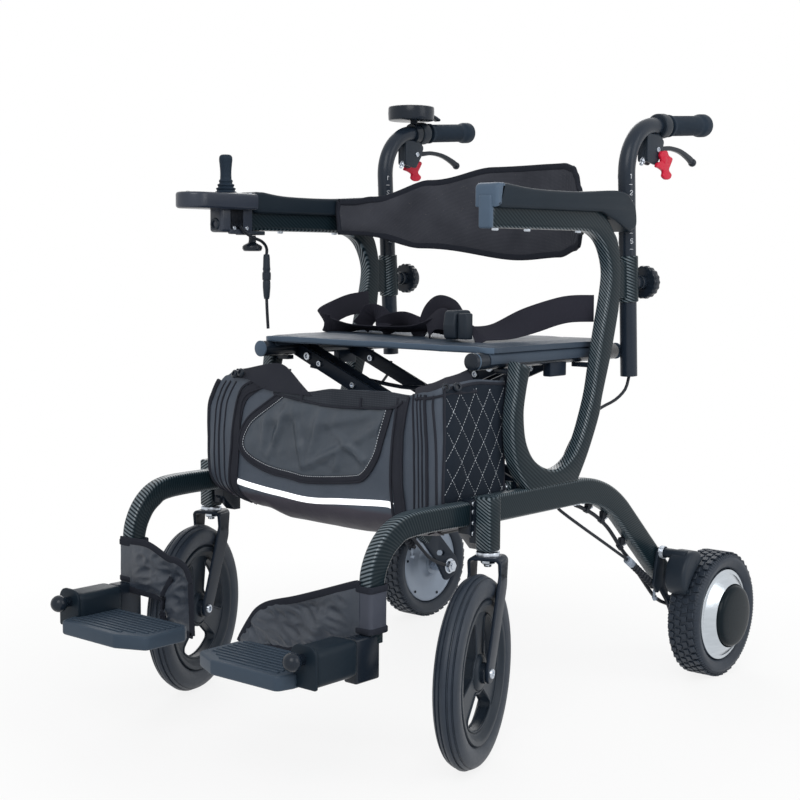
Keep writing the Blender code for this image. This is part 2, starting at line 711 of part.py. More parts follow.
def caster_fork():
    """Facing -Y, with the steering axis at X = Y = 0."""
    blade_inner = FRONT_TYRE_WIDTH / 2 + FORK_CLEARANCE
    blade_outer = blade_inner + BLADE_THICKNESS
    crown_top = HEAD_BOTTOM_Z - FIT_GAP - BEARING_HEIGHT
    crown = block((-blade_outer, blade_outer), (-CROWN_DEPTH / 2, CROWN_DEPTH / 2),
                  (crown_top - CROWN_THICKNESS, crown_top), 0.0015, 1)
    ring = rod((0, 0, crown_top - 0.001), (0, 0, HEAD_BOTTOM_Z - FIT_GAP), HEAD_RADIUS + 0.001)
    nut = rod((0, 0, crown_top - CROWN_THICKNESS - 0.006), (0, 0, crown_top - 0.002), 0.0095, sides=6)
    half = BLADE_WIDTH / 2
    blade_loop = rounded([(-half, crown_top - 0.001), (-half, crown_top - 0.022, 0.03),
                          (-CASTER_TRAIL - half, FRONT_RADIUS + 0.004, 0.012),
                          (-CASTER_TRAIL - half + 0.002, FRONT_RADIUS - half, 0.011),
                          (-CASTER_TRAIL + half, FRONT_RADIUS - half, 0.011),
                          (half, crown_top - 0.040, 0.03), (half, crown_top - 0.001)], steps=2)
    pieces = [ring, nut]
    for side in (-1, 1):
        x = side * (blade_inner + BLADE_THICKNESS / 2)
        pieces.append(side_outline(blade_loop, BLADE_THICKNESS, 0.0010, x, 0))
        pieces.append(rod((side * (blade_outer - 0.001), -CASTER_TRAIL, FRONT_RADIUS),
                          (side * (blade_outer + 0.004), -CASTER_TRAIL, FRONT_RADIUS), 0.0070, sides=6))
    pieces.append(rod((-blade_outer, -CASTER_TRAIL, FRONT_RADIUS), (blade_outer, -CASTER_TRAIL, FRONT_RADIUS),
                      FRONT_AXLE_RADIUS, sides=12))
    return fused(crown, *pieces)


def front_tyre():
    """A tyre about the local axle at the origin, with its axis along X."""
    half = FRONT_TYRE_WIDTH / 2
    profile = [(FRONT_RIM_RADIUS + FIT_GAP, 0.0120), (0.1010, 0.0160), (0.1120, half), (0.1190, half - 0.0030),
               (0.1240, 0.0090), (FRONT_RADIUS, 0.0030)]
    return turned(both_sides(profile), wheel_frame(0, 0, 0), closed=True)


def spoke_window(index):
    """The rounded window after one spoke, drawn in the wheel's plane."""
    pitch = 360.0 / SPOKE_COUNT
    middle = pitch * index + SPOKE_TURN
    outer = arc((0, 0), 0.0765, middle + 0.37 * pitch, middle - 0.37 * pitch, 5)
    inner = arc((0, 0), 0.0270, middle - 0.26 * pitch, middle + 0.26 * pitch, 2)
    corners = [(*outer[0], 0.008)] + outer[1:-1] + [(*outer[-1], 0.008)]
    corners += [(*inner[0], 0.007)] + inner[1:-1] + [(*inner[-1], 0.007)]
    return rounded(corners, steps=2)


def front_rim():
    """A deep rim, spokes between rounded windows, and a hub with its bore."""
    hub_half = FRONT_TYRE_WIDTH / 2 + FORK_CLEARANCE - FIT_GAP
    bore = FRONT_AXLE_RADIUS + FIT_GAP
    profile = [(bore, hub_half), (0.0190, hub_half), (0.0195, 0.0085), (0.0800, 0.0075), (0.0870, 0.0145),
               (FRONT_RIM_RADIUS, 0.0130)]
    solid = turned(both_sides(profile), wheel_frame(0, 0, 0), closed=True)
    windows = [side_outline(spoke_window(index), 0.040, 0.0, 0.0) for index in range(SPOKE_COUNT)]
    return cut(solid, *windows)


def caster_place(side):
    return shift(side * STEER_X, STEER_Y, 0) @ Matrix.Rotation(CASTER_YAW, 4, "Z")


def front_wheel_place(side):
    return caster_place(side) @ shift(0, -CASTER_TRAIL, FRONT_RADIUS)


# Footrests


def hanger_plane():
    """The upright plane through the hanger, turned a little inwards from the receiver."""
    start = Vector((HANGER_TOP_X, HANGER_REAR_Y))
    turn = math.atan2(HANGER_TOP_X - HANGER_FOOT_X, start.y - HANGER_FOOT_Y)
    return Matrix.Translation((start.x, start.y, 0)) @ Matrix.Rotation(-turn, 4, "Z") @ SIDE_VIEW


def hanger():
    """A tube of rectangular section, swept down to a stem that carries the footplate's pivot pin."""
    rear_y = HANGER_REAR_Y
    rear_edge = HANGER_FOOT_Y + HANGER_DEPTH / 2
    front_edge = HANGER_FOOT_Y - HANGER_DEPTH / 2
    outer = smooth([(rear_y, 0.3405), (-0.2550, 0.3390), (-0.2970, 0.3330), (-0.3250, 0.3175), (-0.3445, 0.2910),
                    (-0.3525, 0.2580), (front_edge, 0.1820)], 2)
    inner = smooth([(rear_edge, 0.1820), (-0.3255, 0.2500), (-0.3130, 0.2830), (-0.2930, 0.3010), (-0.2650, 0.3100),
                    (rear_y, 0.3080)], 2)
    loop = [(y - rear_y, z) for y, z in outer + inner]
    body = outline([loop], HANGER_WIDTH, 0.0045, hanger_plane())
    stem = block((HANGER_FOOT_X - HANGER_WIDTH / 2, HANGER_FOOT_X + HANGER_WIDTH / 2),
                 (BARREL_REAR_Y + FIT_GAP, STEM_REAR_Y - 0.001), (0.137, 0.194), 0.002, 1)
    pin = rod((BARREL_X, STEM_REAR_Y - 0.020, PIVOT_Z), (BARREL_X, BARREL_REAR_Y - PIVOT_PIN_LENGTH, PIVOT_Z),
              PIVOT_PIN_RADIUS)
    return fused(body, stem, pin)


def footplate():
    """The ribbed plate, its barrel and the barrel's front flange."""
    barrel_inner_x = BARREL_X - BARREL_WIDTH / 2
    loop = rounded([(0.095, PLATE_FRONT_Y, 0.010), (PLATE_OUTER_X, PLATE_FRONT_Y + 0.001, 0.010),
                    (barrel_inner_x + 0.012, BARREL_FRONT_Y - 0.004, 0.004),
                    (barrel_inner_x + 0.012, PLATE_REAR_Y, 0.004),
                    (0.062, PLATE_REAR_Y, 0.012), (PLATE_INNER_X, PLATE_REAR_Y - 0.012, 0.008),
                    (PLATE_INNER_X, PLATE_FRONT_Y + 0.020, 0.010)], steps=2)
    middle = PLATE_TOP_Z - PLATE_THICKNESS / 2
    plate = outline([loop], PLATE_THICKNESS, 0.003, shift(z=middle) @ PLAN_VIEW, 0)
    barrel = block((barrel_inner_x, barrel_inner_x + BARREL_WIDTH), (BARREL_FRONT_Y, BARREL_REAR_Y),
                   (BARREL_BOTTOM_Z, BARREL_TOP_Z - 0.003), 0.007, 1)
    flange_low = BARREL_BOTTOM_Z - 0.001
    flange_high = BARREL_TOP_Z + 0.002
    flange = outline([rounded([(BARREL_X - 0.020, flange_high, 0.014), (BARREL_X - 0.020, flange_low, 0.003),
                               (BARREL_X + 0.0225, flange_low, 0.003), (BARREL_X + 0.0225, flange_high, 0.014)],
                              steps=3)],
                     0.004, 0.001, shift(y=BARREL_FRONT_Y + 0.001) @ FRONT_VIEW, 0)
    ribs = []
    pitch = (PLATE_REAR_Y - PLATE_FRONT_Y - 0.030) / (RIB_COUNT - 1)
    for index in range(RIB_COUNT):
        y = PLATE_FRONT_Y + 0.018 + index * pitch
        first_x = 0.090 if index == 0 else 0.068
        ribs.append(block((first_x, 0.198), (y - 0.0018, y + 0.0018),
                          (PLATE_TOP_Z - 0.001, PLATE_TOP_Z + RIB_HEIGHT)))
    body = fused(plate, barrel, flange, *ribs)
    stem_hole = rod((BARREL_X, BARREL_FRONT_Y - 0.010, BALL_Z), (BARREL_X, BARREL_FRONT_Y + 0.025, BALL_Z),
                    STEM_RADIUS + FIT_GAP)
    pivot_hole = rod((BARREL_X, BARREL_REAR_Y + 0.010, PIVOT_Z),
                     (BARREL_X, BARREL_REAR_Y - PIVOT_PIN_LENGTH - 0.001, PIVOT_Z),
                     PIVOT_PIN_RADIUS + FIT_GAP)
    return cut(body, stem_hole, pivot_hole)


def plunger_knob():
    """A ball knob on a ribbed stem that reaches into the barrel."""
    profile = [(0.0, -BALL_RADIUS)]
    ball_steps = 7
    for step in range(1, ball_steps):
        angle = math.radians(-90.0 + step * 145.0 / ball_steps)
        profile.append((BALL_RADIUS * math.cos(angle), BALL_RADIUS * math.sin(angle)))
    boot_end = BARREL_FRONT_Y - 0.001 - FIT_GAP - BALL_Y
    profile += [(0.0070, 0.0098), (0.0056, 0.0115), (0.0070, 0.0132), (0.0056, 0.0148), (0.0070, boot_end),
                (STEM_RADIUS, boot_end), (STEM_RADIUS, boot_end + 0.022), (0.0, boot_end + 0.022)]
    place = shift(BARREL_X, BALL_Y, BALL_Z) @ Matrix.Rotation(math.radians(-90.0), 4, "X")
    return turned(profile[::-1], place, 12)


def heel_strap():
    """Fabric from a wrap round the hanger to the plate's inner rear corner."""
    top = smooth([(0.2260, 0.2540), (0.1900, 0.2440), (0.1450, 0.2290), (0.0900, 0.2130), (0.0420, 0.1850),
                  (0.0310, 0.1680)], 2)
    low = smooth([(0.0430, 0.1665), (0.1000, 0.1690), (0.1600, 0.1730), (0.2120, 0.1880), (0.2180, 0.1955),
                  (0.2260, 0.1985)], 2)
    front_face = HANGER_FOOT_Y - HANGER_DEPTH / 2
    panel = outline([top + low], 0.003, 0.0, shift(y=front_face - 0.0022) @ FRONT_VIEW)
    gap = 0.0012
    wall = 0.0014
    half_x = HANGER_WIDTH / 2 + gap
    half_y = HANGER_DEPTH / 2 + gap
    rear_y = HANGER_FOOT_Y + half_y + 0.0022
    wrap = block((HANGER_FOOT_X - half_x - wall, HANGER_FOOT_X + half_x + wall),
                 (HANGER_FOOT_Y - half_y - wall, rear_y + wall), (0.1955, 0.2550), 0.002, 1)
    hole = block((HANGER_FOOT_X - half_x, HANGER_FOOT_X + half_x), (HANGER_FOOT_Y - half_y, rear_y), (0.150, 0.290))
    return cut(fused(wrap, panel), hole)


# Scissor


def scissor_bar(y, start, end):
    """A flat bar between two points of the XZ plane."""
    start = Vector(start)
    end = Vector(end)
    run = (end - start).normalized()
    side = Vector((-run.y, run.x)) * BAR_WIDTH / 2
    loop = [start + side, start - side, end - side, end + side]
    return outline([[tuple(point) for point in loop]], BAR_THICKNESS, 0.0, shift(y=y) @ FRONT_VIEW, 0)


def cross_bar(bar_shift, with_bolt):
    """One half of the scissor, from the left lower tube to the right seat rail.

    It has two full bars and a rear half bar from the rail to the centre bolt. The bolt belongs to
    one half and turns in the holes of the other.
    """
    front, rear = scissor_tube_range()
    pivot = (LOWER_PIVOT_X, LOWER_PIVOT_Z)
    rail_end = (-RAIL_X, RAIL_Z)
    lower = rod((LOWER_PIVOT_X, front, LOWER_PIVOT_Z), (LOWER_PIVOT_X, rear, LOWER_PIVOT_Z), TUBE_RADIUS)
    rail = rod((-RAIL_X, RAIL_FRONT_Y, RAIL_Z), (-RAIL_X, RAIL_REAR_Y, RAIL_Z), RAIL_RADIUS)
    bars = []
    bar_places = [SCISSOR_FRONT_Y + bar_shift, SCISSOR_FRONT_Y + SCISSOR_SPACING + bar_shift]
    for y in bar_places:
        bars.append(scissor_bar(y, pivot, rail_end))
    half_bar_y = HALF_BAR_Y + bar_shift
    down = (Vector(pivot) - Vector(rail_end)).normalized()
    bars.append(scissor_bar(half_bar_y, Vector((0, CROSSING_Z)) + down * BAR_WIDTH / 2, rail_end))
    bracket = block((-RAIL_X - 0.007, -RAIL_X + 0.007), (0.067, 0.108), (RAIL_Z - 0.030, RAIL_Z - 0.008), 0.002, 1)
    body = fused(lower, rail, bracket, *bars)
    if with_bolt:
        bolt_front = SCISSOR_FRONT_Y - BAR_THICKNESS / 2 - 0.004
        pin = rod((0, bolt_front, CROSSING_Z), (0, half_bar_y, CROSSING_Z), PIN_RADIUS, sides=12)
        sleeve = rod((0, bar_places[1], CROSSING_Z), (0, HALF_BAR_Y - BAR_THICKNESS / 2 - FIT_GAP, CROSSING_Z),
                     0.0080)
        head = rod((0, bolt_front + 0.001, CROSSING_Z), (0, bolt_front - 0.004, CROSSING_Z), 0.0070, sides=6)
        body = fused(body, pin, sleeve, head)
    holes = []
    for end, inward in ((front, 1), (rear, -1)):
        holes.append(rod((LOWER_PIVOT_X, end - inward * 0.010, LOWER_PIVOT_Z),
                         (LOWER_PIVOT_X, end + inward * (PIN_DEPTH + 0.001), LOWER_PIVOT_Z),
                         PIN_RADIUS + FIT_GAP, sides=12))
    if not with_bolt:
        for y in (*bar_places, half_bar_y):
            holes.append(rod((0, y - 0.010, CROSSING_Z), (0, y + 0.010, CROSSING_Z), PIN_RADIUS + FIT_GAP, sides=12))
    return cut(body, *holes)


# Seat, back strap, bag and belts


def seat():
    """A slung seat between the rails, with a low crown and thin edges over the rails."""
    low = RAIL_Z + RAIL_RADIUS + 0.0006
    inner = RAIL_X - 0.0150
    loop = rounded([(-SEAT_HALF_WIDTH, low, 0.002), (-inner, low), (-inner, low - 0.0060), (inner, low - 0.0060),
                    (inner, low), (SEAT_HALF_WIDTH, low, 0.002), (SEAT_HALF_WIDTH, SEAT_TOP_Z - 0.0035, 0.003),
                    (0.150, SEAT_TOP_Z, 0.050), (-0.150, SEAT_TOP_Z, 0.050),
                    (-SEAT_HALF_WIDTH, SEAT_TOP_Z - 0.0035, 0.003)], steps=2)
    length = SEAT_REAR_Y - SEAT_FRONT_Y
    return outline([loop], length, 0.002, shift(y=(SEAT_REAR_Y + SEAT_FRONT_Y) / 2) @ FRONT_VIEW)


def back_strap():
    """A band behind the user's back, between the arms."""
    half = [(0.2155, 0.1150), (0.2060, 0.1480), (0.1880, 0.1830), (0.1520, 0.2300), (0.0950, 0.2630)]
    path = smooth([(-x, y) for x, y in half] + [(0.0, 0.2810)] + half[::-1], 2)
    plan = outline([band(path, 0.010)], 0.200, 0.0, shift(z=0.740) @ PLAN_VIEW)
    top = smooth([(-0.260, 0.740), (-0.210, 0.757), (-0.150, 0.786), (0.000, 0.811), (0.150, 0.802), (0.210, 0.776),
                  (0.260, 0.740)], 2)
    low = smooth([(0.260, 0.700), (0.170, 0.668), (0.0, 0.660), (-0.160, 0.680), (-0.260, 0.702)], 2)
    face = outline([top + low], 0.300, 0.0, shift(y=0.200) @ FRONT_VIEW)
    return common(plan, face)


def bag_block(inset, z_low, z_high):
    """The bag's rounded box, drawn in from its outer faces."""
    half = BAG_HALF_WIDTH - inset
    loop = rounded([(-half, z_low, 0.030), (half, z_low, 0.030), (half, z_high, BAG_SHOULDER),
                    (-half, z_high, BAG_SHOULDER)], steps=3)
    depth = BAG_REAR_Y - BAG_FRONT_Y - 2 * inset
    return outline([loop], depth, BAG_EDGE, shift(y=(BAG_FRONT_Y + BAG_REAR_Y) / 2) @ FRONT_VIEW)


def bag():
    """A soft bag, open at its top, hung between the seat rails."""
    outside = bag_block(0.0, BAG_LOW_Z, BAG_HIGH_Z)
    inside = bag_block(BAG_WALL, BAG_LOW_Z + BAG_WALL, BAG_HIGH_Z - BAG_WALL)
    mouth = block((-0.150, 0.150), (-0.150, BAG_REAR_Y - 0.022), (BAG_HIGH_Z - 0.030, BAG_HIGH_Z + 0.020))
    return cut(outside, inside, mouth)


def battery():
    low = BAG_LOW_Z + BAG_WALL + FIT_GAP
    return block((0.060, 0.190), (BAG_FRONT_Y + 0.040, BAG_REAR_Y - 0.022), (low, low + BATTERY_HEIGHT), 0.006, 1)


def belt_strap(points, width):
    """A webbing strap standing on its edge, along a line seen from above."""
    start = Vector(points[0])
    end = Vector(points[-1])
    turn = math.atan2(end.y - start.y, end.x - start.x)
    centre = [((Vector((x, y)) - start.xy).length, z) for x, y, z in points]
    place = Matrix.Translation((start.x, start.y, 0)) @ Matrix.Rotation(turn, 4, "Z") @ FRONT_VIEW
    return outline([band(smooth(centre, 2), width)], 0.003, 0.0, place)


def left_belt():
    strap = belt_strap([(0.2258, 0.161, 0.5888), (0.2030, 0.108, 0.5820), (0.1780, 0.050, 0.5700),
                        (0.1500, -0.015, 0.5660), (0.1400, -0.038, 0.5660)], 0.036)
    tongue = block((0.1320, 0.1480), (-0.048, -0.028), (0.5470, 0.5870), 0.002, 1)
    return fused(strap, tongue)


def right_belt():
    strap = belt_strap([(-0.2254, 0.1642, 0.5738), (-0.1500, 0.125, 0.5660), (-0.0500, 0.074, 0.5650),
                        (0.0500, 0.022, 0.5650), (0.1200, -0.014, 0.5652)], 0.0355)
    buckle = block((0.1080, 0.1312), (-0.052, -0.008), (SEAT_TOP_Z + BUCKLE_CLEARANCE, 0.5900), 0.0035, 1)
    return fused(strap, buckle)


# Handles


def handle_points():
    """The handle's centreline: leaned tube, bend and grip end."""
    corner = handle_axis(HANDLE_CORNER_Z)
    end = corner + grip_direction() * (GRIP_START + GRIP_LENGTH - 0.006)
    return handle_axis(HANDLE_BASE_Z), corner, end


def grip_direction():
    return Vector((0.0, math.cos(GRIP_RISE), math.sin(GRIP_RISE)))


def right_handle_shift():
    """The right handle is clamped a little higher in its sleeve."""
    return shift(y=-math.tan(HANDLE_LEAN) * RIGHT_HANDLE_RAISE, z=RIGHT_HANDLE_RAISE)


def handle_path():
    base, corner, end = handle_points()
    return rounded([tuple(base), (*corner, HANDLE_BEND_RADIUS), tuple(end)], closed=False, steps=6, size=3)


def handle_tube():
    return tube(handle_path(), HANDLE_RADIUS, 3)


def grip():
    """A rubber grip with a collar and a flared end, and a blind bore for the tube."""
    _, corner, _ = handle_points()
    bore = HANDLE_RADIUS + FIT_GAP
    profile = [(0.0, GRIP_LENGTH - 0.004), (bore, GRIP_LENGTH - 0.004), (bore, 0.0), (GRIP_RADIUS + 0.0015, 0.0),
               (GRIP_RADIUS + 0.0015, 0.006), (GRIP_RADIUS, 0.008), (GRIP_RADIUS, GRIP_LENGTH - 0.026),
               (GRIP_END_RADIUS, GRIP_LENGTH - 0.016), (GRIP_END_RADIUS, GRIP_LENGTH - 0.003),
               (GRIP_END_RADIUS - 0.003, GRIP_LENGTH), (0.0, GRIP_LENGTH)]
    start = corner + grip_direction() * GRIP_START
    return turned(profile[::-1], along(start, grip_direction()), 16)


def brake_body():
    """A clamp ring round the tube with the lever housing under it."""
    _, corner, _ = handle_points()
    direction = grip_direction()
    start = corner + direction * CLAMP_START
    end = start + direction * CLAMP_WIDTH
    ring = rod(start, end, CLAMP_RADIUS)
    neck = block((HANDLE_X - 0.0065, HANDLE_X + 0.0065), (0.293, 0.316), (0.835, 0.856), 0.002, 1)
    corners = [(0.266, 0.8530, 0.004), (0.266, 0.8110, 0.004), (0.294, 0.8080, 0.004), (0.306, 0.8260, 0.004),
               (0.314, 0.8440, 0.006), (0.292, 0.8540, 0.004)]
    housing = side_outline(rounded(corners, steps=2), 0.018, 0.002, HANDLE_X, 0)
    stop = rod((HANDLE_X, 0.270, 0.8160), (HANDLE_X, 0.262, 0.8060), 0.0035, sides=10)
    body = fused(housing, neck, ring, stop)
    bore = tube(handle_path(), HANDLE_RADIUS + FIT_GAP, 3)
    display_space = rod(corner + direction * (DISPLAY_RING_START - FIT_GAP),
                        corner + direction * (DISPLAY_RING_END + FIT_GAP), DISPLAY_RING_RADIUS + FIT_GAP)
    half_slot = LEVER_THICKNESS / 2 + FIT_GAP
    slot = block((HANDLE_X - half_slot, HANDLE_X + half_slot), (LEVER_PIVOT_Y - 0.0095, 0.340), (0.795, 0.8435))
    return cut(body, bore, display_space, slot)


def brake_lever():
    """The curved lever with a ball end, seen from the side."""
    path = smooth([(LEVER_PIVOT_Y, LEVER_PIVOT_Z), (0.3200, 0.8310), (0.3450, 0.8330), (0.3750, 0.8300),
                   (0.4000, 0.8230), (0.4150, 0.8170)], 2)
    blade = side_outline(band(path, 0.0085), LEVER_THICKNESS, 0.0015, HANDLE_X, 0)
    half = LEVER_THICKNESS / 2
    eye = rod((HANDLE_X - half, LEVER_PIVOT_Y, LEVER_PIVOT_Z), (HANDLE_X + half, LEVER_PIVOT_Y, LEVER_PIVOT_Z),
              0.0065)
    end = ball((HANDLE_X, 0.4160, 0.8165), 0.0068)
    return fused(blade, eye, end)


def lock_lever():
    """The red parking lever, wide at both ends, beside the brake lever's root."""
    top = (LOCK_PIVOT_Y, LOCK_PIVOT_Z)
    low = (LOCK_PIVOT_Y + 0.0160, LOCK_PIVOT_Z - 0.0470)
    corners = [(top[0] - 0.010, top[1] + 0.004, 0.005), (top[0] - 0.009, top[1] - 0.012, 0.006),
               (top[0] + 0.002, top[1] - 0.027, 0.010), (low[0] - 0.009, low[1] + 0.002, 0.006),
               (low[0] - 0.002, low[1] - 0.009, 0.006), (low[0] + 0.010, low[1] - 0.002, 0.007),
               (top[0] + 0.014, top[1] - 0.027, 0.010), (top[0] + 0.011, top[1] - 0.006, 0.006),
               (top[0] + 0.008, top[1] + 0.010, 0.006)]
    return side_outline(rounded(corners, steps=2), 0.005, 0.0012, HANDLE_X + 0.009 + FIT_GAP + 0.0025, 0)


def clamp_knob():
    """A star knob on a stem that faces the clamp sleeve."""
    lobes = []
    steps = KNOB_LOBES * 4
    for step in range(steps):
        angle = 2 * math.pi * step / steps
        radius = KNOB_RADIUS - 0.0022 + 0.0022 * math.cos(KNOB_LOBES * angle)
        lobes.append((HANDLE_X + radius * math.cos(angle), KNOB_Z + radius * math.sin(angle)))
    head = outline([lobes], KNOB_THICKNESS, 0.003, shift(y=KNOB_Y + KNOB_THICKNESS / 2) @ FRONT_VIEW, 0)
    stem = rod((HANDLE_X, KNOB_Y - 0.012 + FIT_GAP, KNOB_Z), (HANDLE_X, KNOB_Y + 0.004, KNOB_Z), 0.011)
    face = rod((HANDLE_X, KNOB_Y + KNOB_THICKNESS - 0.002, KNOB_Z),
               (HANDLE_X, KNOB_Y + KNOB_THICKNESS + 0.003, KNOB_Z), 0.014, 0.010)
    return fused(head, stem, face)


# Right arm rest control and display


def controller_body():
    """The joystick housing: a flat D-shaped head, a side wall and a block below it."""
    rear_y = RIGHT_PAD_FRONT_Y - FIT_GAP
    round_y = -0.2387 + CONTROL_HALF_WIDTH
    head_loop = [(-CONTROL_HALF_WIDTH, rear_y)] + arc((0.0, round_y), CONTROL_HALF_WIDTH, 180, 360, 8)
    head_loop += [(CONTROL_HALF_WIDTH, rear_y)]
    head = outline([[(CONTROL_X + u, v) for u, v in head_loop]], HEAD_HIGH_Z - HEAD_LOW_Z, 0.003,
                   shift(z=(HEAD_LOW_Z + HEAD_HIGH_Z) / 2) @ PLAN_VIEW)
    arm_space = block((-FRAME_OUTER_X - FIT_GAP, -FRAME_INNER_X + FIT_GAP), (ARM_FRONT_Y - FIT_GAP, 0.0),
                      (ARM_BOTTOM_Z - FIT_GAP, ARM_TOP_Z + FIT_GAP))
    lower = block((CONTROL_X - 0.012, CONTROL_X + 0.016), (-0.172, -0.134), (0.7005, 0.740), 0.006, 2)
    wall = block((CONTROL_X + 0.010, CONTROL_X + 0.016), (-0.155, rear_y), (0.6975, 0.742))
    socket = rod((CONTROL_X + 0.002, -0.160, 0.7122), (CONTROL_X + 0.002, -0.1745, 0.7122), 0.0095)
    clamp = block((CONTROL_X - 0.012, CONTROL_X + 0.016), (-0.118, -0.080), (0.6965, ARM_BOTTOM_Z - FIT_GAP))
    stick_well = rod((CONTROL_X, STICK_Y, HEAD_HIGH_Z - STICK_WELL_DEPTH), (CONTROL_X, STICK_Y, HEAD_HIGH_Z + 0.010),
                     0.0185, sides=20)
    return cut(fused(head, lower, wall, socket, clamp), arm_space, stick_well)


def joystick():
    """Gaiter, stem and knob, on a blunt tip that rocks in the controller's well."""
    tip = FIT_GAP - STICK_WELL_DEPTH
    profile = [(0.0, tip), (0.0020, tip + 0.0002), (0.0165, 0.0), (0.0165, 0.0020), (0.0135, 0.0035),
               (0.0150, 0.0075), (0.0115, 0.0090), (0.0130, 0.0130), (0.0095, 0.0150), (0.0105, 0.0185),
               (0.0086, 0.0210), (0.0086, 0.0320), (0.0095, 0.0430), (0.0102, 0.0500), (0.0092, 0.0560), (0.0, 0.0580)]
    return turned(profile[::-1], shift(CONTROL_X, STICK_Y, HEAD_HIGH_Z), 12)


def controller_knob():
    """The thumb screw that clamps the controller under the arm."""
    profile = [(0.0, 0.0), (0.0130, 0.0), (0.0148, 0.0030), (0.0148, 0.0080), (0.0075, 0.0125), (0.0055, 0.0180),
               (0.0055, 0.0242), (0.0, 0.0242)]
    return turned(profile[::-1], shift(CONTROL_X, -0.0930, 0.6720), 16)


def joystick_lead():
    """The lead from the controller's block to the connector, and on to the seat."""
    route = [(-0.2192, -0.1370, 0.7095), (-0.2192, -0.1265, 0.7005), (-0.2170, -0.1120, 0.6930),
             (-0.2170, -0.0930, 0.6870), (-0.2200, -0.0800, 0.6770), (-0.2220, -0.0780, 0.6600),
             (-0.2220, -0.0780, 0.5980), (-0.2230, -0.0740, 0.5520)]
    lead = tube(smooth(route, 2), 0.0024, 1)
    plug = rod((-0.2220, -0.0780, 0.6680), (-0.2220, -0.0780, 0.5980), 0.0052, sides=12)
    return fused(lead, plug)


def display():
    """A round display on a post from its own clamp ring."""
    _, corner, _ = handle_points()
    direction = grip_direction()
    start = corner + direction * DISPLAY_RING_START
    end = corner + direction * DISPLAY_RING_END
    body = rod((HANDLE_X, DISPLAY_Y, DISPLAY_LOW_Z), (HANDLE_X, DISPLAY_Y, DISPLAY_HIGH_Z), DISPLAY_RADIUS,
               sides=28)
    ring = rod(start, end, DISPLAY_RING_RADIUS)
    middle = (start + end) / 2
    post = rod(middle, (middle.x, middle.y, DISPLAY_LOW_Z + 0.004), 0.0065)
    bore = rod(start - direction * 0.020, end + direction * 0.020, HANDLE_RADIUS + FIT_GAP)
    return mirrored(cut(fused(body, ring, post), bore))


def throttle_lever():
    """A thumb paddle behind the display, on a round root that it turns about."""
    path = smooth([(THROTTLE_Y + 0.001, THROTTLE_Z), (THROTTLE_Y + 0.015, THROTTLE_Z - 0.004),
                   (THROTTLE_Y + 0.028, THROTTLE_Z - 0.008)], 2)
    paddle = side_outline(band(path, 0.0060), 0.012, 0.0015, -HANDLE_X, 0)
    root = rod((-HANDLE_X - 0.005, THROTTLE_Y, THROTTLE_Z), (-HANDLE_X + 0.005, THROTTLE_Y, THROTTLE_Z),
               THROTTLE_ROOT_RADIUS, sides=12)
    return fused(paddle, root)


# Assembly


def place_node(collection, name, mesh, finish, pivot=(0.0, 0.0, 0.0)):
    """Adds a node whose origin is on its joint's axis, in the frame with the origin under its middle."""
    mesh.name = name
    mesh.materials.clear()
    mesh.materials.append(finish)
    mesh.transform(Matrix.Translation(-Vector(pivot)))
    mesh.shade_smooth()
    mesh.set_sharp_from_angle(angle=math.radians(35.0))
    item = bpy.data.objects.new(name, mesh)
    item.location = Vector(pivot) + Vector((0.0, MODEL_SHIFT_Y, 0.0))
    collection.objects.link(item)


def add_pair(collection, name, mesh, finish, pivot=(0.0, 0.0, 0.0), right_place=None):
    """Adds the left piece and its mirrored copy on the right, which may sit elsewhere."""
    move = right_place or Matrix.Identity(4)
    right = moved(mirrored(mesh), move)
    place_node(collection, "left_" + name, mesh, finish, pivot)
    place_node(collection, "right_" + name, right, finish, move @ Vector((-pivot[0], pivot[1], pivot[2])))


def add_frames(parts, finish):
    add_pair(parts, "lower_beam", lower_beam(), finish["carbon"])
    add_pair(parts, "arm_frame", arm_frame(), finish["carbon"])
    place_node(parts, "left_arm_pad", arm_pad(LEFT_PAD_FRONT_Y), finish["slate"])
    place_node(parts, "right_arm_pad", mirrored(arm_pad(RIGHT_PAD_FRONT_Y)), finish["slate"])
    add_pair(parts, "motor_cable", motor_cable(), finish["rubber"])
    add_pair(parts, "brake_cable", brake_cable(), finish["rubber"])


def add_wheels(parts, finish):
    axle = (REAR_X, REAR_AXLE_Y, REAR_RADIUS)
    add_pair(parts, "rear_tyre", rear_tyre(), finish["rubber"], axle)
    add_pair(parts, "hub_motor", hub_motor(), finish["steel"], axle)
    brake_pivot = (FRAME_OUTER_X, BRAKE_PIVOT_Y, BRAKE_PIVOT_Z)
    add_pair(parts, "rear_brake", rear_brake(), finish["black_plastic"], brake_pivot)
    fork = caster_fork()
    tyre = front_tyre()
    rim = front_rim()
    for side, label in ((1, "left_"), (-1, "right_")):
        steer = (side * STEER_X, STEER_Y, HEAD_BOTTOM_Z)
        wheel = front_wheel_place(side)
        place_node(parts, label + "caster_fork", moved(fork, caster_place(side)), finish["black_paint"], steer)
        place_node(parts, label + "front_tyre", moved(tyre, wheel), finish["rubber"], wheel.translation)
        place_node(parts, label + "front_rim", moved(rim, wheel), finish["black_plastic"], wheel.translation)


def add_footrests(parts, finish):
    add_pair(parts, "hanger", hanger(), finish["carbon"])
    add_pair(parts, "footplate", footplate(), finish["slate"], (BARREL_X, BARREL_FRONT_Y, PIVOT_Z))
    add_pair(parts, "plunger_knob", plunger_knob(), finish["black_plastic"], (BARREL_X, BALL_Y, BALL_Z))
    add_pair(parts, "heel_strap", heel_strap(), finish["fabric"])


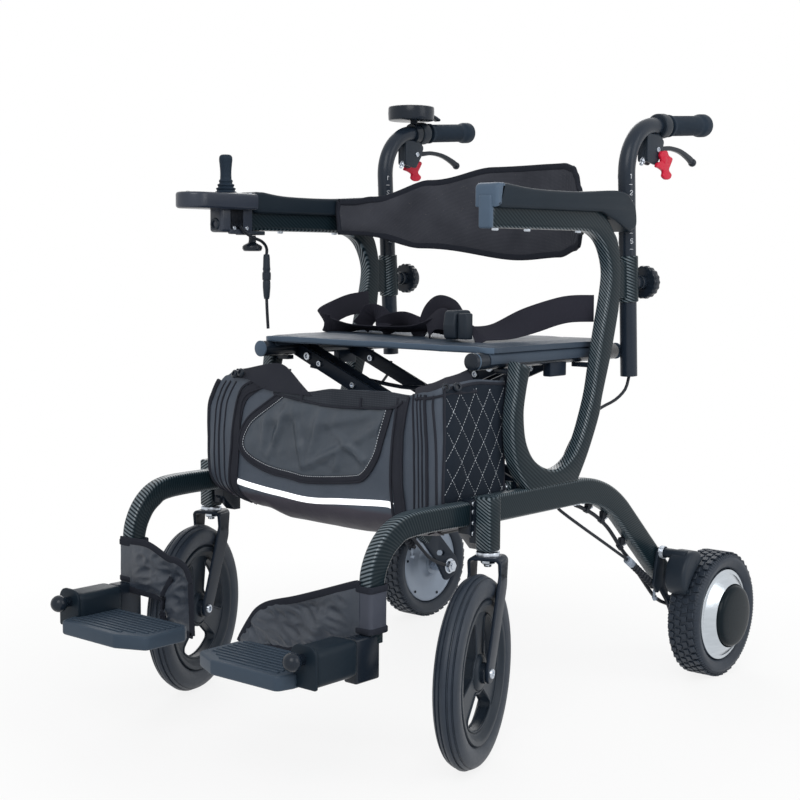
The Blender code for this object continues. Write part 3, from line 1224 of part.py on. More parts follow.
def add_middle(parts, finish):
    bar_shift = BAR_THICKNESS + FIT_GAP
    place_node(parts, "right_cross_bar", cross_bar(0.0, False), finish["black_paint"],
               (LOWER_PIVOT_X, SCISSOR_FRONT_Y, LOWER_PIVOT_Z))
    place_node(parts, "left_cross_bar", mirrored(cross_bar(bar_shift, True)), finish["black_paint"],
               (0.0, SCISSOR_FRONT_Y, CROSSING_Z))
    place_node(parts, "seat", seat(), finish["fabric"])
    place_node(parts, "back_strap", back_strap(), finish["fabric"])
    place_node(parts, "bag", bag(), finish["fabric"])
    place_node(parts, "battery", battery(), finish["battery_case"])
    place_node(parts, "left_belt", left_belt(), finish["webbing"])
    place_node(parts, "right_belt", right_belt(), finish["webbing"])


def add_handles(parts, finish):
    raised = right_handle_shift()
    lever_pivot = (HANDLE_X, LEVER_PIVOT_Y, LEVER_PIVOT_Z)
    lock_pivot = (HANDLE_X, LOCK_PIVOT_Y, LOCK_PIVOT_Z)
    add_pair(parts, "handle_tube", handle_tube(), finish["black_paint"], right_place=raised)
    add_pair(parts, "grip", grip(), finish["rubber"], right_place=raised)
    add_pair(parts, "brake_body", brake_body(), finish["black_plastic"], right_place=raised)
    add_pair(parts, "brake_lever", brake_lever(), finish["black_plastic"], lever_pivot, raised)
    add_pair(parts, "lock_lever", lock_lever(), finish["red_plastic"], lock_pivot, raised)
    add_pair(parts, "clamp_knob", clamp_knob(), finish["black_plastic"], (HANDLE_X, KNOB_Y, KNOB_Z))


def add_controls(parts, finish):
    stick = (CONTROL_X, STICK_Y, HEAD_HIGH_Z)
    place_node(parts, "controller_body", controller_body(), finish["slate"])
    place_node(parts, "joystick", joystick(), finish["black_plastic"], stick)
    place_node(parts, "controller_knob", controller_knob(), finish["black_plastic"], (CONTROL_X, -0.0930, 0.6720))
    place_node(parts, "joystick_lead", joystick_lead(), finish["rubber"])
    raised = right_handle_shift()
    throttle_pivot = raised @ Vector((-HANDLE_X, THROTTLE_Y, THROTTLE_Z))
    place_node(parts, "display", moved(display(), raised), finish["black_plastic"])
    place_node(parts, "throttle_lever", moved(throttle_lever(), raised), finish["black_plastic"], throttle_pivot)


def build():
    clear_scene()
    parts = new_collection(COLLECTION_NAME)
    finish = {name: material(name, *values) for name, values in FINISHES.items()}
    add_frames(parts, finish)
    add_wheels(parts, finish)
    add_footrests(parts, finish)
    add_middle(parts, finish)
    add_handles(parts, finish)
    add_controls(parts, finish)
    bpy.context.view_layer.update()


build()
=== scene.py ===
"""Looks of the folding electric rollator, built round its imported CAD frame."""

import math

import bmesh
import bpy
from mathutils import Matrix, Vector, noise


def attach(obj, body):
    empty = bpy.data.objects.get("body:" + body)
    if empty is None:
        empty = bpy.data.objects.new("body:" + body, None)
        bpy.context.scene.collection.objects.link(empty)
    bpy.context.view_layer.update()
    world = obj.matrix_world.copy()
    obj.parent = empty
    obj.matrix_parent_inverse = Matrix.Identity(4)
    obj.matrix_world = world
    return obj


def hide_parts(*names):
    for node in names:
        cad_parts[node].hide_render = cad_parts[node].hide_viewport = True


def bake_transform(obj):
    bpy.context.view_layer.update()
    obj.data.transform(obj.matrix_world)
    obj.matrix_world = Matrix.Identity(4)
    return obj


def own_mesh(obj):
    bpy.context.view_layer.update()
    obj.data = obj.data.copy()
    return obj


MODEL_SHIFT_Y = -0.0080
SHARP_ANGLE = math.radians(38.0)
LEFT = 1
RIGHT = -1
SIDE_NAMES = {LEFT: "left_", RIGHT: "right_"}

# Dimensions, the same as the CAD's
FRAME_X = 0.240
FRAME_WIDTH = 0.022
FRAME_EDGE = 0.006
FRAME_INNER_X = FRAME_X - FRAME_WIDTH / 2
FRAME_OUTER_X = FRAME_X + FRAME_WIDTH / 2
BEAM_Z = 0.3245
BEAM_HEIGHT = 0.038
BEAM_TOP_Z = BEAM_Z + BEAM_HEIGHT / 2
BEAM_FRONT_Y = -0.140
BEAM_CORNER = (0.170, 0.3245)
BEAM_CORNER_RADIUS = 0.190
BEAM_END = (0.345, 0.166)
RECEIVER_FRONT_Y = -0.164
RECEIVER_LOW_Z = 0.273
ARM_TOP_Z = 0.7405
ARM_BOTTOM_Z = 0.7035
ARM_FRONT_Y = -0.1215
PAD_TOP_Z = 0.763
PAD_SKIRT_Z = 0.731
PAD_HALF_WIDTH = 0.019
PAD_FRONT_Y = {LEFT: -0.124, RIGHT: -0.1075}
STEER_X = 0.271
STEER_Y = -0.1516
HEAD_BOTTOM_Z = 0.276
HEAD_TOP_Z = 0.349
CASTER_YAW = math.radians(20.0)
CASTER_TRAIL = 0.0567
FRONT_RADIUS = 0.127
FRONT_TYRE_WIDTH = 0.035
FRONT_RIM_RADIUS = 0.095
SPOKE_COUNT = 3
SPOKE_TURN = 30.0
FORK_TOP_Z = 0.2702
FORK_INNER_X = FRONT_TYRE_WIDTH / 2 + 0.0015
FORK_THICKNESS = 0.0045
REAR_AXLE_Y = 0.403
REAR_RADIUS = 0.100
REAR_X = 0.302
REAR_WIDTH = 0.054
REAR_RIM_RADIUS = 0.0735
LUG_COUNT = 44
TOOTH_COUNT = 110
CAP_REACH_X = 0.3485
BRAKE_PIVOT = (0.320, 0.204)
HANGER_TOP_X = 0.240
HANGER_FOOT_X = 0.231
HANGER_REAR_Y = -0.1649
HANGER_FOOT_Y = -0.33975
HANGER_WIDTH = 0.022
HANGER_DEPTH = 0.0265
PLATE_TOP_Z = 0.1645
PLATE_THICKNESS = 0.0195
PLATE_FRONT_Y = -0.4865
PLATE_REAR_Y = -0.387
RIB_COUNT = 9
BARREL_X = 0.2265
BARREL_WIDTH = 0.044
BARREL_FRONT_Y = -0.457
BARREL_REAR_Y = -0.379
BALL = (0.2265, -0.4754, 0.1832)
BALL_RADIUS = 0.0118
RAIL_X = 0.2083
RAIL_Z = 0.5225
RAIL_RADIUS = 0.012
RAIL_FRONT_Y = -0.106
RAIL_REAR_Y = 0.252
TUBE_RADIUS = 0.0080
LOWER_PIVOT = (0.2185, 0.345)
LUG_PLACES_Y = (-0.0427, 0.0107)
SCISSOR_FRONT_Y = -0.030
SCISSOR_SPACING = 0.026
HALF_BAR_Y = 0.0965
BAR_THICKNESS = 0.006
BAR_WIDTH = 0.022
CROSSING_Z = 0.435871
SEAT_FRONT_Y = -0.100
SEAT_REAR_Y = 0.218
SEAT_TOP_Z = 0.5445
SEAT_HALF_WIDTH = 0.221
HANDLE_X = 0.240
HANDLE_BASE_Y = 0.2398
HANDLE_BASE_Z = 0.486
HANDLE_RADIUS = 0.0130
HANDLE_LEAN = math.radians(3.3)
RIGHT_HANDLE_RAISE = 0.012
GRIP_RISE = math.radians(4.3)
HANDLE_CORNER_Z = 0.860
HANDLE_BEND_RADIUS = 0.072
GRIP_START = 0.116
GRIP_LENGTH = 0.117
CLAMP_START = 0.088
SLEEVE_LOW_Z = 0.599
SLEEVE_HIGH_Z = 0.668
KNOB_Z = 0.628
KNOB_Y = 0.272
KNOB_RADIUS = 0.026
LEVER_PIVOT = (0.296, 0.8300)
CONTROL_X = -0.238
CONTROL_HALF_WIDTH = 0.029
STICK_Y = -0.148
HEAD_LOW_Z = 0.7345
HEAD_HIGH_Z = 0.7595
DISPLAY_Y = 0.290
DISPLAY_LOW_Z = 0.8875
DISPLAY_HIGH_Z = 0.9115
THROTTLE_Y = 0.3338
THROTTLE_Z = 0.902

SIDE_VIEW = Matrix(((0, 0, 1), (1, 0, 0), (0, 1, 0))).to_4x4()
FRONT_VIEW = Matrix(((1, 0, 0), (0, 0, -1), (0, 1, 0))).to_4x4()
PLAN_VIEW = Matrix.Identity(4)


# Mesh helpers


def shift(x=0.0, y=0.0, z=0.0):
    return Matrix.Translation((x, y, z))


def evaluated_mesh(item):
    """Takes an object's evaluated mesh with its faces pointing out, and removes the object."""
    bpy.context.scene.collection.objects.link(item)
    bpy.context.view_layer.update()
    graph = bpy.context.evaluated_depsgraph_get()
    mesh = bpy.data.meshes.new_from_object(item.evaluated_get(graph))
    bpy.data.objects.remove(item, do_unlink=True)
    shape = bmesh.new()
    shape.from_mesh(mesh)
    bmesh.ops.remove_doubles(shape, verts=shape.verts, dist=0.00001)
    bmesh.ops.recalc_face_normals(shape, faces=shape.faces)
    if shape.calc_volume(signed=True) < 0.0:
        bmesh.ops.reverse_faces(shape, faces=shape.faces)
    shape.to_mesh(mesh)
    shape.free()
    return mesh


def primitive(make):
    mesh = bpy.data.meshes.new("primitive")
    shape = bmesh.new()
    make(shape)
    bmesh.ops.recalc_face_normals(shape, faces=shape.faces)
    shape.to_mesh(mesh)
    shape.free()
    return mesh


def block(x_range, y_range, z_range, edge=0.0, segments=3):
    """A box between the given limits, with its edges rounded by the given width."""
    limits = (x_range, y_range, z_range)

    def make(shape):
        bmesh.ops.create_cube(shape, size=1.0)
        bmesh.ops.scale(shape, vec=[high - low for low, high in limits], verts=shape.verts)
        if edge:
            bmesh.ops.bevel(shape, geom=shape.edges[:], offset=edge, segments=segments,
                            profile=0.5, affect="EDGES")
        bmesh.ops.translate(shape, vec=[(high + low) / 2 for low, high in limits], verts=shape.verts)

    return primitive(make)


def ball(centre, radius, sides=24, rings=16):
    def make(shape):
        bmesh.ops.create_uvsphere(shape, u_segments=sides, v_segments=rings, radius=radius,
                                  matrix=Matrix.Translation(centre))

    return primitive(make)


def along(origin, direction):
    """A frame whose local Z runs from the origin along the direction."""
    turn = Vector(direction).to_track_quat("Z", "Y").to_matrix().to_4x4()
    return Matrix.Translation(origin) @ turn


def turned(profile, place, sides=48, closed=False):
    """A profile of (radius, height) points turned about the local Z axis."""
    def make(shape):
        rings = []
        for radius, height in profile:
            if radius < 1e-7:
                rings.append([shape.verts.new((0.0, 0.0, height))] * sides)
                continue
            rings.append([shape.verts.new((radius * math.cos(2 * math.pi * step / sides),
                                           radius * math.sin(2 * math.pi * step / sides), height))
                          for step in range(sides)])
        pairs = list(zip(rings, rings[1:]))
        if closed:
            pairs.append((rings[-1], rings[0]))
        for low, high in pairs:
            for step in range(sides):
                after = (step + 1) % sides
                corners = []
                for vert in (low[step], low[after], high[after], high[step]):
                    if vert not in corners:
                        corners.append(vert)
                if len(corners) > 2:
                    shape.faces.new(corners)

    mesh = primitive(make)
    mesh.transform(place)
    return mesh


def rod(start, end, radius, end_radius=None, sides=32, edge=0.0):
    """A cylinder or cone between two points, with its rims eased."""
    start = Vector(start)
    end = Vector(end)
    length = (end - start).length
    last = radius if end_radius is None else end_radius
    if edge:
        profile = [(0.0, 0.0), (radius - edge, 0.0), (radius - edge * 0.3, edge * 0.3), (radius, edge),
                   (last, length - edge), (last - edge * 0.3, length - edge * 0.3), (last - edge, length),
                   (0.0, length)]
    else:
        profile = [(0.0, 0.0), (radius, 0.0), (last, length), (0.0, length)]
    return turned(profile, along(start, end - start), sides)


def outline(loops, thickness, edge, place, resolution=3):
    """A flat outline, with any holes after it, given a thickness along local Z and rounded edges."""
    curve = bpy.data.curves.new("outline", "CURVE")
    curve.dimensions = "2D"
    curve.fill_mode = "BOTH"
    curve.extrude = thickness / 2 - edge
    curve.bevel_depth = edge
    curve.bevel_resolution = resolution
    curve.offset = -edge
    for loop in loops:
        spline = curve.splines.new("POLY")
        spline.points.add(len(loop) - 1)
        for point, (u, v) in zip(spline.points, loop):
            point.co = (u, v, 0.0, 1.0)
        spline.use_cyclic_u = True
    mesh = evaluated_mesh(bpy.data.objects.new("outline", curve))
    mesh.transform(place)
    return mesh


def side_outline(loop, thickness, edge, x=FRAME_X, resolution=3):
    return outline([loop], thickness, edge, shift(x=x) @ SIDE_VIEW, resolution)


def combine(base, others, operation):
    item = bpy.data.objects.new("base", base)
    tools = []
    for other in others:
        tool = bpy.data.objects.new("tool", other)
        tool.hide_render = True
        bpy.context.scene.collection.objects.link(tool)
        tools.append(tool)
        step = item.modifiers.new("Combine", "BOOLEAN")
        step.operation = operation
        step.object = tool
    result = evaluated_mesh(item)
    for tool in tools:
        bpy.data.objects.remove(tool, do_unlink=True)
    return result


def cut(base, *others):
    return combine(base, others, "DIFFERENCE")


def mirrored(mesh):
    copy = mesh.copy()
    copy.transform(Matrix.Diagonal((-1.0, 1.0, 1.0, 1.0)))
    copy.flip_normals()
    return copy


def moved(mesh, place):
    copy = mesh.copy()
    copy.transform(place)
    return copy


def joined(meshes):
    """All the given meshes in one, with their attributes and without welding them."""
    shape = bmesh.new()
    for mesh in meshes:
        shape.from_mesh(mesh)
    result = bpy.data.meshes.new("joined")
    shape.to_mesh(result)
    shape.free()
    return result


def smooth(points, steps=8):
    """A Catmull-Rom curve through the points."""
    ends = [points[0]] + list(points) + [points[-1]]
    result = []
    for before, first, second, after in zip(ends, ends[1:], ends[2:], ends[3:]):
        for step in range(steps):
            t = step / steps
            result.append(tuple(
                0.5 * (2 * b + (c - a) * t + (2 * a - 5 * b + 4 * c - d) * t * t
                       + (3 * b - a - 3 * c + d) * t ** 3)
                for a, b, c, d in zip(before, first, second, after)))
    result.append(tuple(points[-1]))
    return result


def corner_arc(before, corner, after, radius, steps):
    """Points of the arc that rounds one corner."""
    corner = Vector(corner)
    to_before = (Vector(before) - corner).normalized()
    to_after = (Vector(after) - corner).normalized()
    half = to_before.angle(to_after) / 2
    bisector = (to_before + to_after).normalized()
    centre = corner + bisector * radius / math.sin(half)
    first = corner + to_before * radius / math.tan(half) - centre
    last = corner + to_after * radius / math.tan(half) - centre
    sweep_angle = math.pi - 2 * half
    points = []
    for step in range(steps + 1):
        t = step / steps
        mix = first * math.sin((1 - t) * sweep_angle) + last * math.sin(t * sweep_angle)
        mix = mix / math.sin(sweep_angle)
        points.append(tuple(centre + mix))
    return points


def rounded(corners, closed=True, steps=6, size=2):
    """Rounds a polygon or path.

    Each corner is (u, v) or (u, v, radius), or with size 3 (x, y, z) or (x, y, z, radius).
    """
    places = [corner[:size] for corner in corners]
    result = []
    for index, corner in enumerate(corners):
        at_end = not closed and index in (0, len(corners) - 1)
        if at_end or len(corner) == size:
            result.append(tuple(places[index]))
            continue
        before = places[index - 1]
        after = places[(index + 1) % len(places)]
        result.extend(corner_arc(before, places[index], after, corner[size], steps))
    return result


def offset_path(path, distance):
    """The path moved sideways, to its left by a positive distance."""
    result = []
    for index, point in enumerate(path):
        here = Vector(point)
        normals = []
        for other, sign in ((index - 1, 1), (index + 1, -1)):
            if 0 <= other < len(path):
                run = (here - Vector(path[other])) * sign
                normals.append(Vector((-run.y, run.x)).normalized())
        normal = sum(normals, Vector((0.0, 0.0))).normalized()
        stretch = normal.dot(normals[0])
        result.append(tuple(here + normal * distance / stretch))
    return result


def arc(centre, radius, start, end, steps):
    """Points on an arc; angles in degrees from +u towards +v."""
    points = []
    for step in range(steps + 1):
        angle = math.radians(start + (end - start) * step / steps)
        points.append((centre[0] + radius * math.cos(angle), centre[1] + radius * math.sin(angle)))
    return points


def resampled(points, count):
    """The same line with evenly spaced points."""
    places = [Vector(point) for point in points]
    lengths = [0.0]
    for first, second in zip(places, places[1:]):
        lengths.append(lengths[-1] + (second - first).length)
    result = []
    index = 0
    for step in range(count):
        target = lengths[-1] * step / (count - 1)
        while index < len(places) - 2 and lengths[index + 1] < target:
            index += 1
        run = max(lengths[index + 1] - lengths[index], 1e-9)
        result.append(places[index].lerp(places[index + 1], (target - lengths[index]) / run))
    return result


def section(half_across, half_up, edge, steps=4):
    """A rounded rectangle of (across, up) points, from the middle of its inner face and back to it."""
    points = [(-half_across, 0.0)]
    for sign_across, sign_up, start in ((-1, 1, 180), (1, 1, 90), (1, -1, 0), (-1, -1, -90)):
        centre = (sign_across * (half_across - edge), sign_up * (half_up - edge))
        points += arc(centre, edge, start, start - 90, steps)
    return points + [(-half_across, 0.0)]


def round_section(radius, sides=24):
    return [(-radius * math.cos(2 * math.pi * step / sides), radius * math.sin(2 * math.pi * step / sides))
            for step in range(sides + 1)]


def sweep(points, sections, across, slant=0.5):
    """Carries sections along a path, closes the ends, and stores the weave's phase at each point."""
    places = [Vector(point) for point in points]
    if not isinstance(sections[0][0], (tuple, list)):
        sections = [sections] * len(places)
    mesh = bpy.data.meshes.new("sweep")
    shape = bmesh.new()
    phase = shape.verts.layers.float.new("weave")
    rings = []
    travelled = 0.0
    for index, place in enumerate(places):
        before = places[max(index - 1, 0)]
        after = places[min(index + 1, len(places) - 1)]
        if index:
            travelled += (place - before).length
        tangent = (after - before).normalized()
        side = (Vector(across) - tangent * Vector(across).dot(tangent)).normalized()
        up = side.cross(tangent)
        ring = []
        around = 0.0
        last = None
        for u, v in sections[index]:
            vert = shape.verts.new(place + side * u + up * v)
            if last is not None:
                around += (vert.co - last).length
            last = vert.co.copy()
            vert[phase] = travelled + slant * around
            ring.append(vert)
        rings.append(ring)
    for low, high in zip(rings, rings[1:]):
        for step in range(len(low) - 1):
            shape.faces.new((low[step], high[step], high[step + 1], low[step + 1]))
    for ring, order in ((rings[0], 1), (rings[-1], -1)):
        shape.faces.new([vert for vert in ring[:-1]][::order])
    shape.to_mesh(mesh)
    shape.free()
    return mesh


def between(first_edge, second_edge, half_across, edge, across=(1, 0, 0), count=48, slant=0.5):
    """A tube of rectangular section that fills the space between two lines of the side view."""
    low = resampled(first_edge, count)
    high = resampled(second_edge, count)
    middles = [(a + b) / 2 for a, b in zip(low, high)]
    sections = [section(half_across, (a - b).length / 2, edge) for a, b in zip(low, high)]
    points = [(0.0, point.x, point.y) for point in middles]
    return sweep(points, sections, across, slant)


def tube(points, radius, sides=16):
    """A round tube through the points with flat ends, and a frame that doesn't twist."""
    places = [Vector(point) for point in points]
    shape = bmesh.new()
    phase = shape.verts.layers.float.new("weave")
    normal = None
    rings = []
    travelled = 0.0
    for index, place in enumerate(places):
        before = places[max(index - 1, 0)]
        after = places[min(index + 1, len(places) - 1)]
        travelled += (place - before).length
        tangent = (after - before).normalized()
        if normal is None:
            normal = tangent.orthogonal().normalized()
        normal = (normal - tangent * normal.dot(tangent)).normalized()
        side = tangent.cross(normal)
        size = radius[index] if isinstance(radius, (list, tuple)) else radius
        ring = []
        for step in range(sides):
            angle = 2 * math.pi * step / sides
            vert = shape.verts.new(place + (normal * math.cos(angle) + side * math.sin(angle)) * size)
            vert[phase] = travelled
            ring.append(vert)
        rings.append(ring)
    for low, high in zip(rings, rings[1:]):
        for step in range(sides):
            after = (step + 1) % sides
            shape.faces.new((low[step], low[after], high[after], high[step]))
    shape.faces.new(rings[0][::-1])
    shape.faces.new(rings[-1])
    mesh = bpy.data.meshes.new("tube")
    shape.to_mesh(mesh)
    shape.free()
    return mesh


def with_weave(mesh, phase):
    """Stores the weave's phase from a function of the place."""
    attribute = mesh.attributes.get("weave") or mesh.attributes.new("weave", "FLOAT", "POINT")
    for vert in mesh.vertices:
        attribute.data[vert.index].value = phase(vert.co)
    return mesh


def grid(rows):
    """A sheet of quads through rows of points."""
    shape = bmesh.new()
    lines = [[shape.verts.new(point) for point in row] for row in rows]
    for low, high in zip(lines, lines[1:]):
        for step in range(len(low) - 1):
            shape.faces.new((low[step], low[step + 1], high[step + 1], high[step]))
    mesh = bpy.data.meshes.new("grid")
    shape.to_mesh(mesh)
    shape.free()
    return mesh


def dashes(points, dash, gap, radius):
    """Stitches along a line: short round-ended threads that lie on it."""
    total = sum((Vector(b) - Vector(a)).length for a, b in zip(points, points[1:]))
    count = max(int(total / (dash + gap)), 1)
    line = resampled(points, count * 4 + 1)
    meshes = []
    for index in range(count):
        start = line[index * 4]
        end = line[index * 4].lerp(line[index * 4 + 4], dash / (dash + gap))
        meshes.append(turned([(0.0, 0.0), (radius, radius), (radius, (end - start).length - radius),
                              (0.0, (end - start).length)], along(start, end - start), 5))
    return meshes


def hexagon(centre, direction, radius, height):
    """A nut or bolt head that stands on a surface."""
    place = along(centre, direction)
    profile = [(0.0, 0.0), (radius, 0.0), (radius, height * 0.82), (radius * 0.86, height), (0.0, height)]
    return turned(profile, place, 6)


def socket_bolt(centre, direction, radius, height):
    """A round bolt head with a hexagonal socket in its face."""
    place = along(centre, direction)
    profile = [(radius, 0.0), (radius, height * 0.75), (radius * 0.9, height), (radius * 0.55, height),
               (radius * 0.5, height * 0.4), (0.0, height * 0.4)]
    return turned(profile, place, 24)


# Materials


class Shader:
    """A Principled material whose colour, roughness and bump come from small node chains."""

    def __init__(self, name, roughness=0.5, metallic=0.0, coat=0.0, sheen=0.0, specular=0.2):
        self.material = bpy.data.materials.new(name)
        self.material.use_nodes = True
        self.tree = self.material.node_tree
        self.shader = self.tree.nodes["Principled BSDF"]
        self.shader.inputs["Roughness"].default_value = roughness
        self.shader.inputs["Metallic"].default_value = metallic
        self.shader.inputs["Specular IOR Level"].default_value = specular
        self.shader.inputs["Coat Weight"].default_value = coat
        self.shader.inputs["Coat Roughness"].default_value = 0.12
        self.shader.inputs["Sheen Weight"].default_value = sheen
        self.place = self.tree.nodes.new("ShaderNodeTexCoord").outputs["Object"]

    def link(self, value, socket):
        if isinstance(value, bpy.types.NodeSocket):
            self.tree.links.new(value, socket)
        else:
            socket.default_value = value

    def math(self, operation, first, second=0.0):
        node = self.tree.nodes.new("ShaderNodeMath")
        node.operation = operation
        self.link(first, node.inputs[0])
        self.link(second, node.inputs[1])
        return node.outputs[0]

    def attribute(self, name):
        node = self.tree.nodes.new("ShaderNodeAttribute")
        node.attribute_name = name
        return node.outputs["Fac"]

    def axis(self, name):
        node = self.tree.nodes.new("ShaderNodeSeparateXYZ")
        self.tree.links.new(self.place, node.inputs[0])
        return node.outputs[name]

    def wave(self, value, pitch, turn=0.0):
        """A smooth wave from 0 to 1 along a value, one for each pitch."""
        angle = self.math("MULTIPLY_ADD", value, 2 * math.pi / pitch)
        angle.node.inputs[2].default_value = turn
        return self.math("MULTIPLY_ADD", self.math("SINE", angle), 0.5)

    def noise(self, scale, detail=3.0, stretch=None):
        node = self.tree.nodes.new("ShaderNodeTexNoise")
        node.inputs["Scale"].default_value = scale
        node.inputs["Detail"].default_value = detail
        place = self.place
        if stretch:
            mapping = self.tree.nodes.new("ShaderNodeMapping")
            mapping.inputs["Scale"].default_value = stretch
            self.tree.links.new(place, mapping.inputs["Vector"])
            place = mapping.outputs["Vector"]
        self.tree.links.new(place, node.inputs["Vector"])
        return node.outputs["Fac"]

    def cells(self, scale):
        node = self.tree.nodes.new("ShaderNodeTexVoronoi")
        node.inputs["Scale"].default_value = scale
        self.tree.links.new(self.place, node.inputs["Vector"])
        return node.outputs["Distance"]

    def spread(self, value, low, high, start=0.0, end=1.0):
        """Maps a value from start..end to low..high, held at both ends."""
        node = self.tree.nodes.new("ShaderNodeMapRange")
        self.link(value, node.inputs["Value"])
        node.inputs["From Min"].default_value = start
        node.inputs["From Max"].default_value = end
        node.inputs["To Min"].default_value = low
        node.inputs["To Max"].default_value = high
        return node.outputs["Result"]

    def mix(self, factor, first, second):
        node = self.tree.nodes.new("ShaderNodeMix")
        node.data_type = "RGBA"
        self.link(factor, node.inputs["Factor"])
        self.link(first if isinstance(first, bpy.types.NodeSocket) else (*first, 1.0), node.inputs["A"])
        self.link(second if isinstance(second, bpy.types.NodeSocket) else (*second, 1.0), node.inputs["B"])
        return node.outputs["Result"]

    def colour(self, value):
        self.link(value, self.shader.inputs["Base Color"])

    def roughness(self, value):
        self.link(value, self.shader.inputs["Roughness"])

    def bump(self, height, distance, strength=0.6):
        node = self.tree.nodes.new("ShaderNodeBump")
        node.inputs["Strength"].default_value = strength
        node.inputs["Distance"].default_value = distance
        self.tree.links.new(height, node.inputs["Height"])
        if self.shader.inputs["Normal"].is_linked:
            self.tree.links.new(self.shader.inputs["Normal"].links[0].from_socket, node.inputs["Normal"])
        self.tree.links.new(node.outputs["Normal"], self.shader.inputs["Normal"])


def multiply_add(shader, value, factor, addend):
    node = shader.tree.nodes.new("ShaderNodeMath")
    node.operation = "MULTIPLY_ADD"
    shader.link(value, node.inputs[0])
    shader.link(factor, node.inputs[1])
    shader.link(addend, node.inputs[2])
    return node.outputs[0]


def carbon_material():
    """Clear-coated twill: wide slanted bands that carry a fine rib. The bands' light colour is a painted
    highlight, strongest on faces that are not turned to the sides.
    """
    made = Shader("carbon", coat=0.06)
    phase = made.attribute("weave")
    stripes = made.spread(made.wave(phase, 0.0046), 0.0, 1.0, 0.40, 0.66)
    fine = made.wave(made.math("ADD", made.axis("Z"), made.math("ADD", made.axis("Y"), made.axis("X"))),
                     0.0021)
    facing = made.tree.nodes.new("ShaderNodeSeparateXYZ")
    made.tree.links.new(made.tree.nodes.new("ShaderNodeTexCoord").outputs["Normal"], facing.inputs[0])
    # painted highlight mask: full on faces turned away from the sides, faint on the flat sides
    highlight_facing = made.spread(made.math("ABSOLUTE", facing.outputs["X"]), 1.0, 0.07, 0.66, 0.97)
    bands = made.math("MULTIPLY", stripes, highlight_facing)
    depth = multiply_add(made, fine, 0.06, made.math("MULTIPLY", bands, 0.94))
    # base colour: a dark weave with light bands; the light bands are a painted highlight
    made.colour(made.mix(depth, (0.0035, 0.0110, 0.0160), (0.085, 0.120, 0.145)))
    made.tree.links.new(made.spread(bands, 0.09, 0.90), made.shader.inputs["Specular IOR Level"])
    made.roughness(made.spread(bands, 0.30, 0.36))
    made.bump(bands, 0.00030, 0.5)
    return made.material


def satin_material(name, dark, light, roughness, grain=900.0, depth=0.00008, metallic=0.0, specular=0.22):
    """Moulded or painted satin with a fine grain and a slow change of tone."""
    made = Shader(name, metallic=metallic, specular=specular)
    made.colour(made.mix(made.noise(14.0, 4.0), dark, light))
    grain_noise = made.noise(grain, 2.0)
    made.roughness(made.spread(grain_noise, roughness - 0.06, roughness + 0.08))
    made.bump(grain_noise, depth, 0.5)
    return made.material


def tyre_material():
    made = Shader("tyre_rubber", specular=0.35)
    made.colour(made.mix(made.noise(60.0, 5.0), (0.0130, 0.0205, 0.0330), (0.026, 0.037, 0.055)))
    made.roughness(made.spread(made.noise(240.0, 3.0), 0.36, 0.58))
    made.bump(made.noise(520.0, 3.0), 0.00018)
    return made.material


def metal_material(name, colour, roughness, scratch=0.0):
    made = Shader(name, metallic=1.0)
    tone = made.noise(30.0, 5.0, (1.0, 1.0, 6.0))
    made.colour(made.mix(tone, tuple(c * 0.78 for c in colour), colour))
    made.roughness(made.spread(made.noise(160.0, 4.0), roughness - 0.05, roughness + 0.10))
    if scratch:
        made.bump(made.noise(420.0, 2.0, (1.0, 8.0, 1.0)), scratch)
    return made.material


def woven_material(name, dark, light, pitch, roughness=0.85, specular=0.15, sparkle=0.0, crease=0.0,
                   low=None):
    """Cloth with a plain weave drawn in all three directions and a worn tone."""
    made = Shader(name, specular=specular)
    across = made.wave(made.math("ADD", made.axis("X"), made.axis("Y")), pitch)
    rise = made.wave(made.math("ADD", made.axis("Z"), made.math("MULTIPLY", made.axis("Y"), 0.3)), pitch)
    threads = made.math("MULTIPLY", across, rise)
    tone = multiply_add(made, threads, 0.45, made.math("MULTIPLY", made.noise(18.0, 5.0), 0.6))
    colour = made.mix(tone, dark, light)
    if low:
        colour = made.mix(made.spread(made.axis("Z"), 1.0, 0.0, 0.316, 0.322), colour, low)
    if sparkle:
        specks = made.spread(made.cells(330.0), 1.0, 0.0, 0.03, 0.10)
        chosen = made.spread(made.noise(90.0, 2.0), 0.0, sparkle, 0.52, 0.66)
        colour = made.mix(made.math("MULTIPLY", specks, chosen), colour, (0.55, 0.50, 0.42))
    made.colour(colour)
    made.roughness(roughness)
    made.bump(threads, 0.00025)
    if crease:
        made.bump(made.noise(26.0, 3.0), crease, 0.45)
    return made.material


def ribbed_material(name, dark, light, pitch=0.0016):
    """Webbing: ribs along the weave's phase."""
    made = Shader(name, specular=0.12)
    ribs = made.wave(made.attribute("weave"), pitch)
    fine = made.noise(700.0, 2.0)
    made.colour(made.mix(multiply_add(made, ribs, 0.5, made.math("MULTIPLY", fine, 0.5)), dark, light))
    made.roughness(0.82)
    made.bump(ribs, 0.0003)
    return made.material


def shining_material(name, colour, strength):
    made = Shader(name, roughness=0.5)
    made.colour(made.mix(made.noise(400.0, 2.0), tuple(c * 0.94 for c in colour), colour))
    # emission makes the piece glow; on the reflective stripe this glow is a painted reflection
    made.shader.inputs["Emission Color"].default_value = (*colour, 1.0)
    made.shader.inputs["Emission Strength"].default_value = strength
    return made.material


def glossy_cap_material():
    made = Shader("cap_gloss", roughness=0.2, specular=0.10)
    made.colour(made.mix(made.noise(8.0, 3.0), (0.0040, 0.0090, 0.0130), (0.009, 0.016, 0.022)))
    made.roughness(made.spread(made.noise(90.0, 5.0), 0.16, 0.30))
    made.bump(made.noise(300.0, 2.0), 0.00003)
    return made.material


def hidden_case_material():
    return satin_material("battery_case", (0.014, 0.016, 0.020), (0.026, 0.028, 0.032), 0.5)


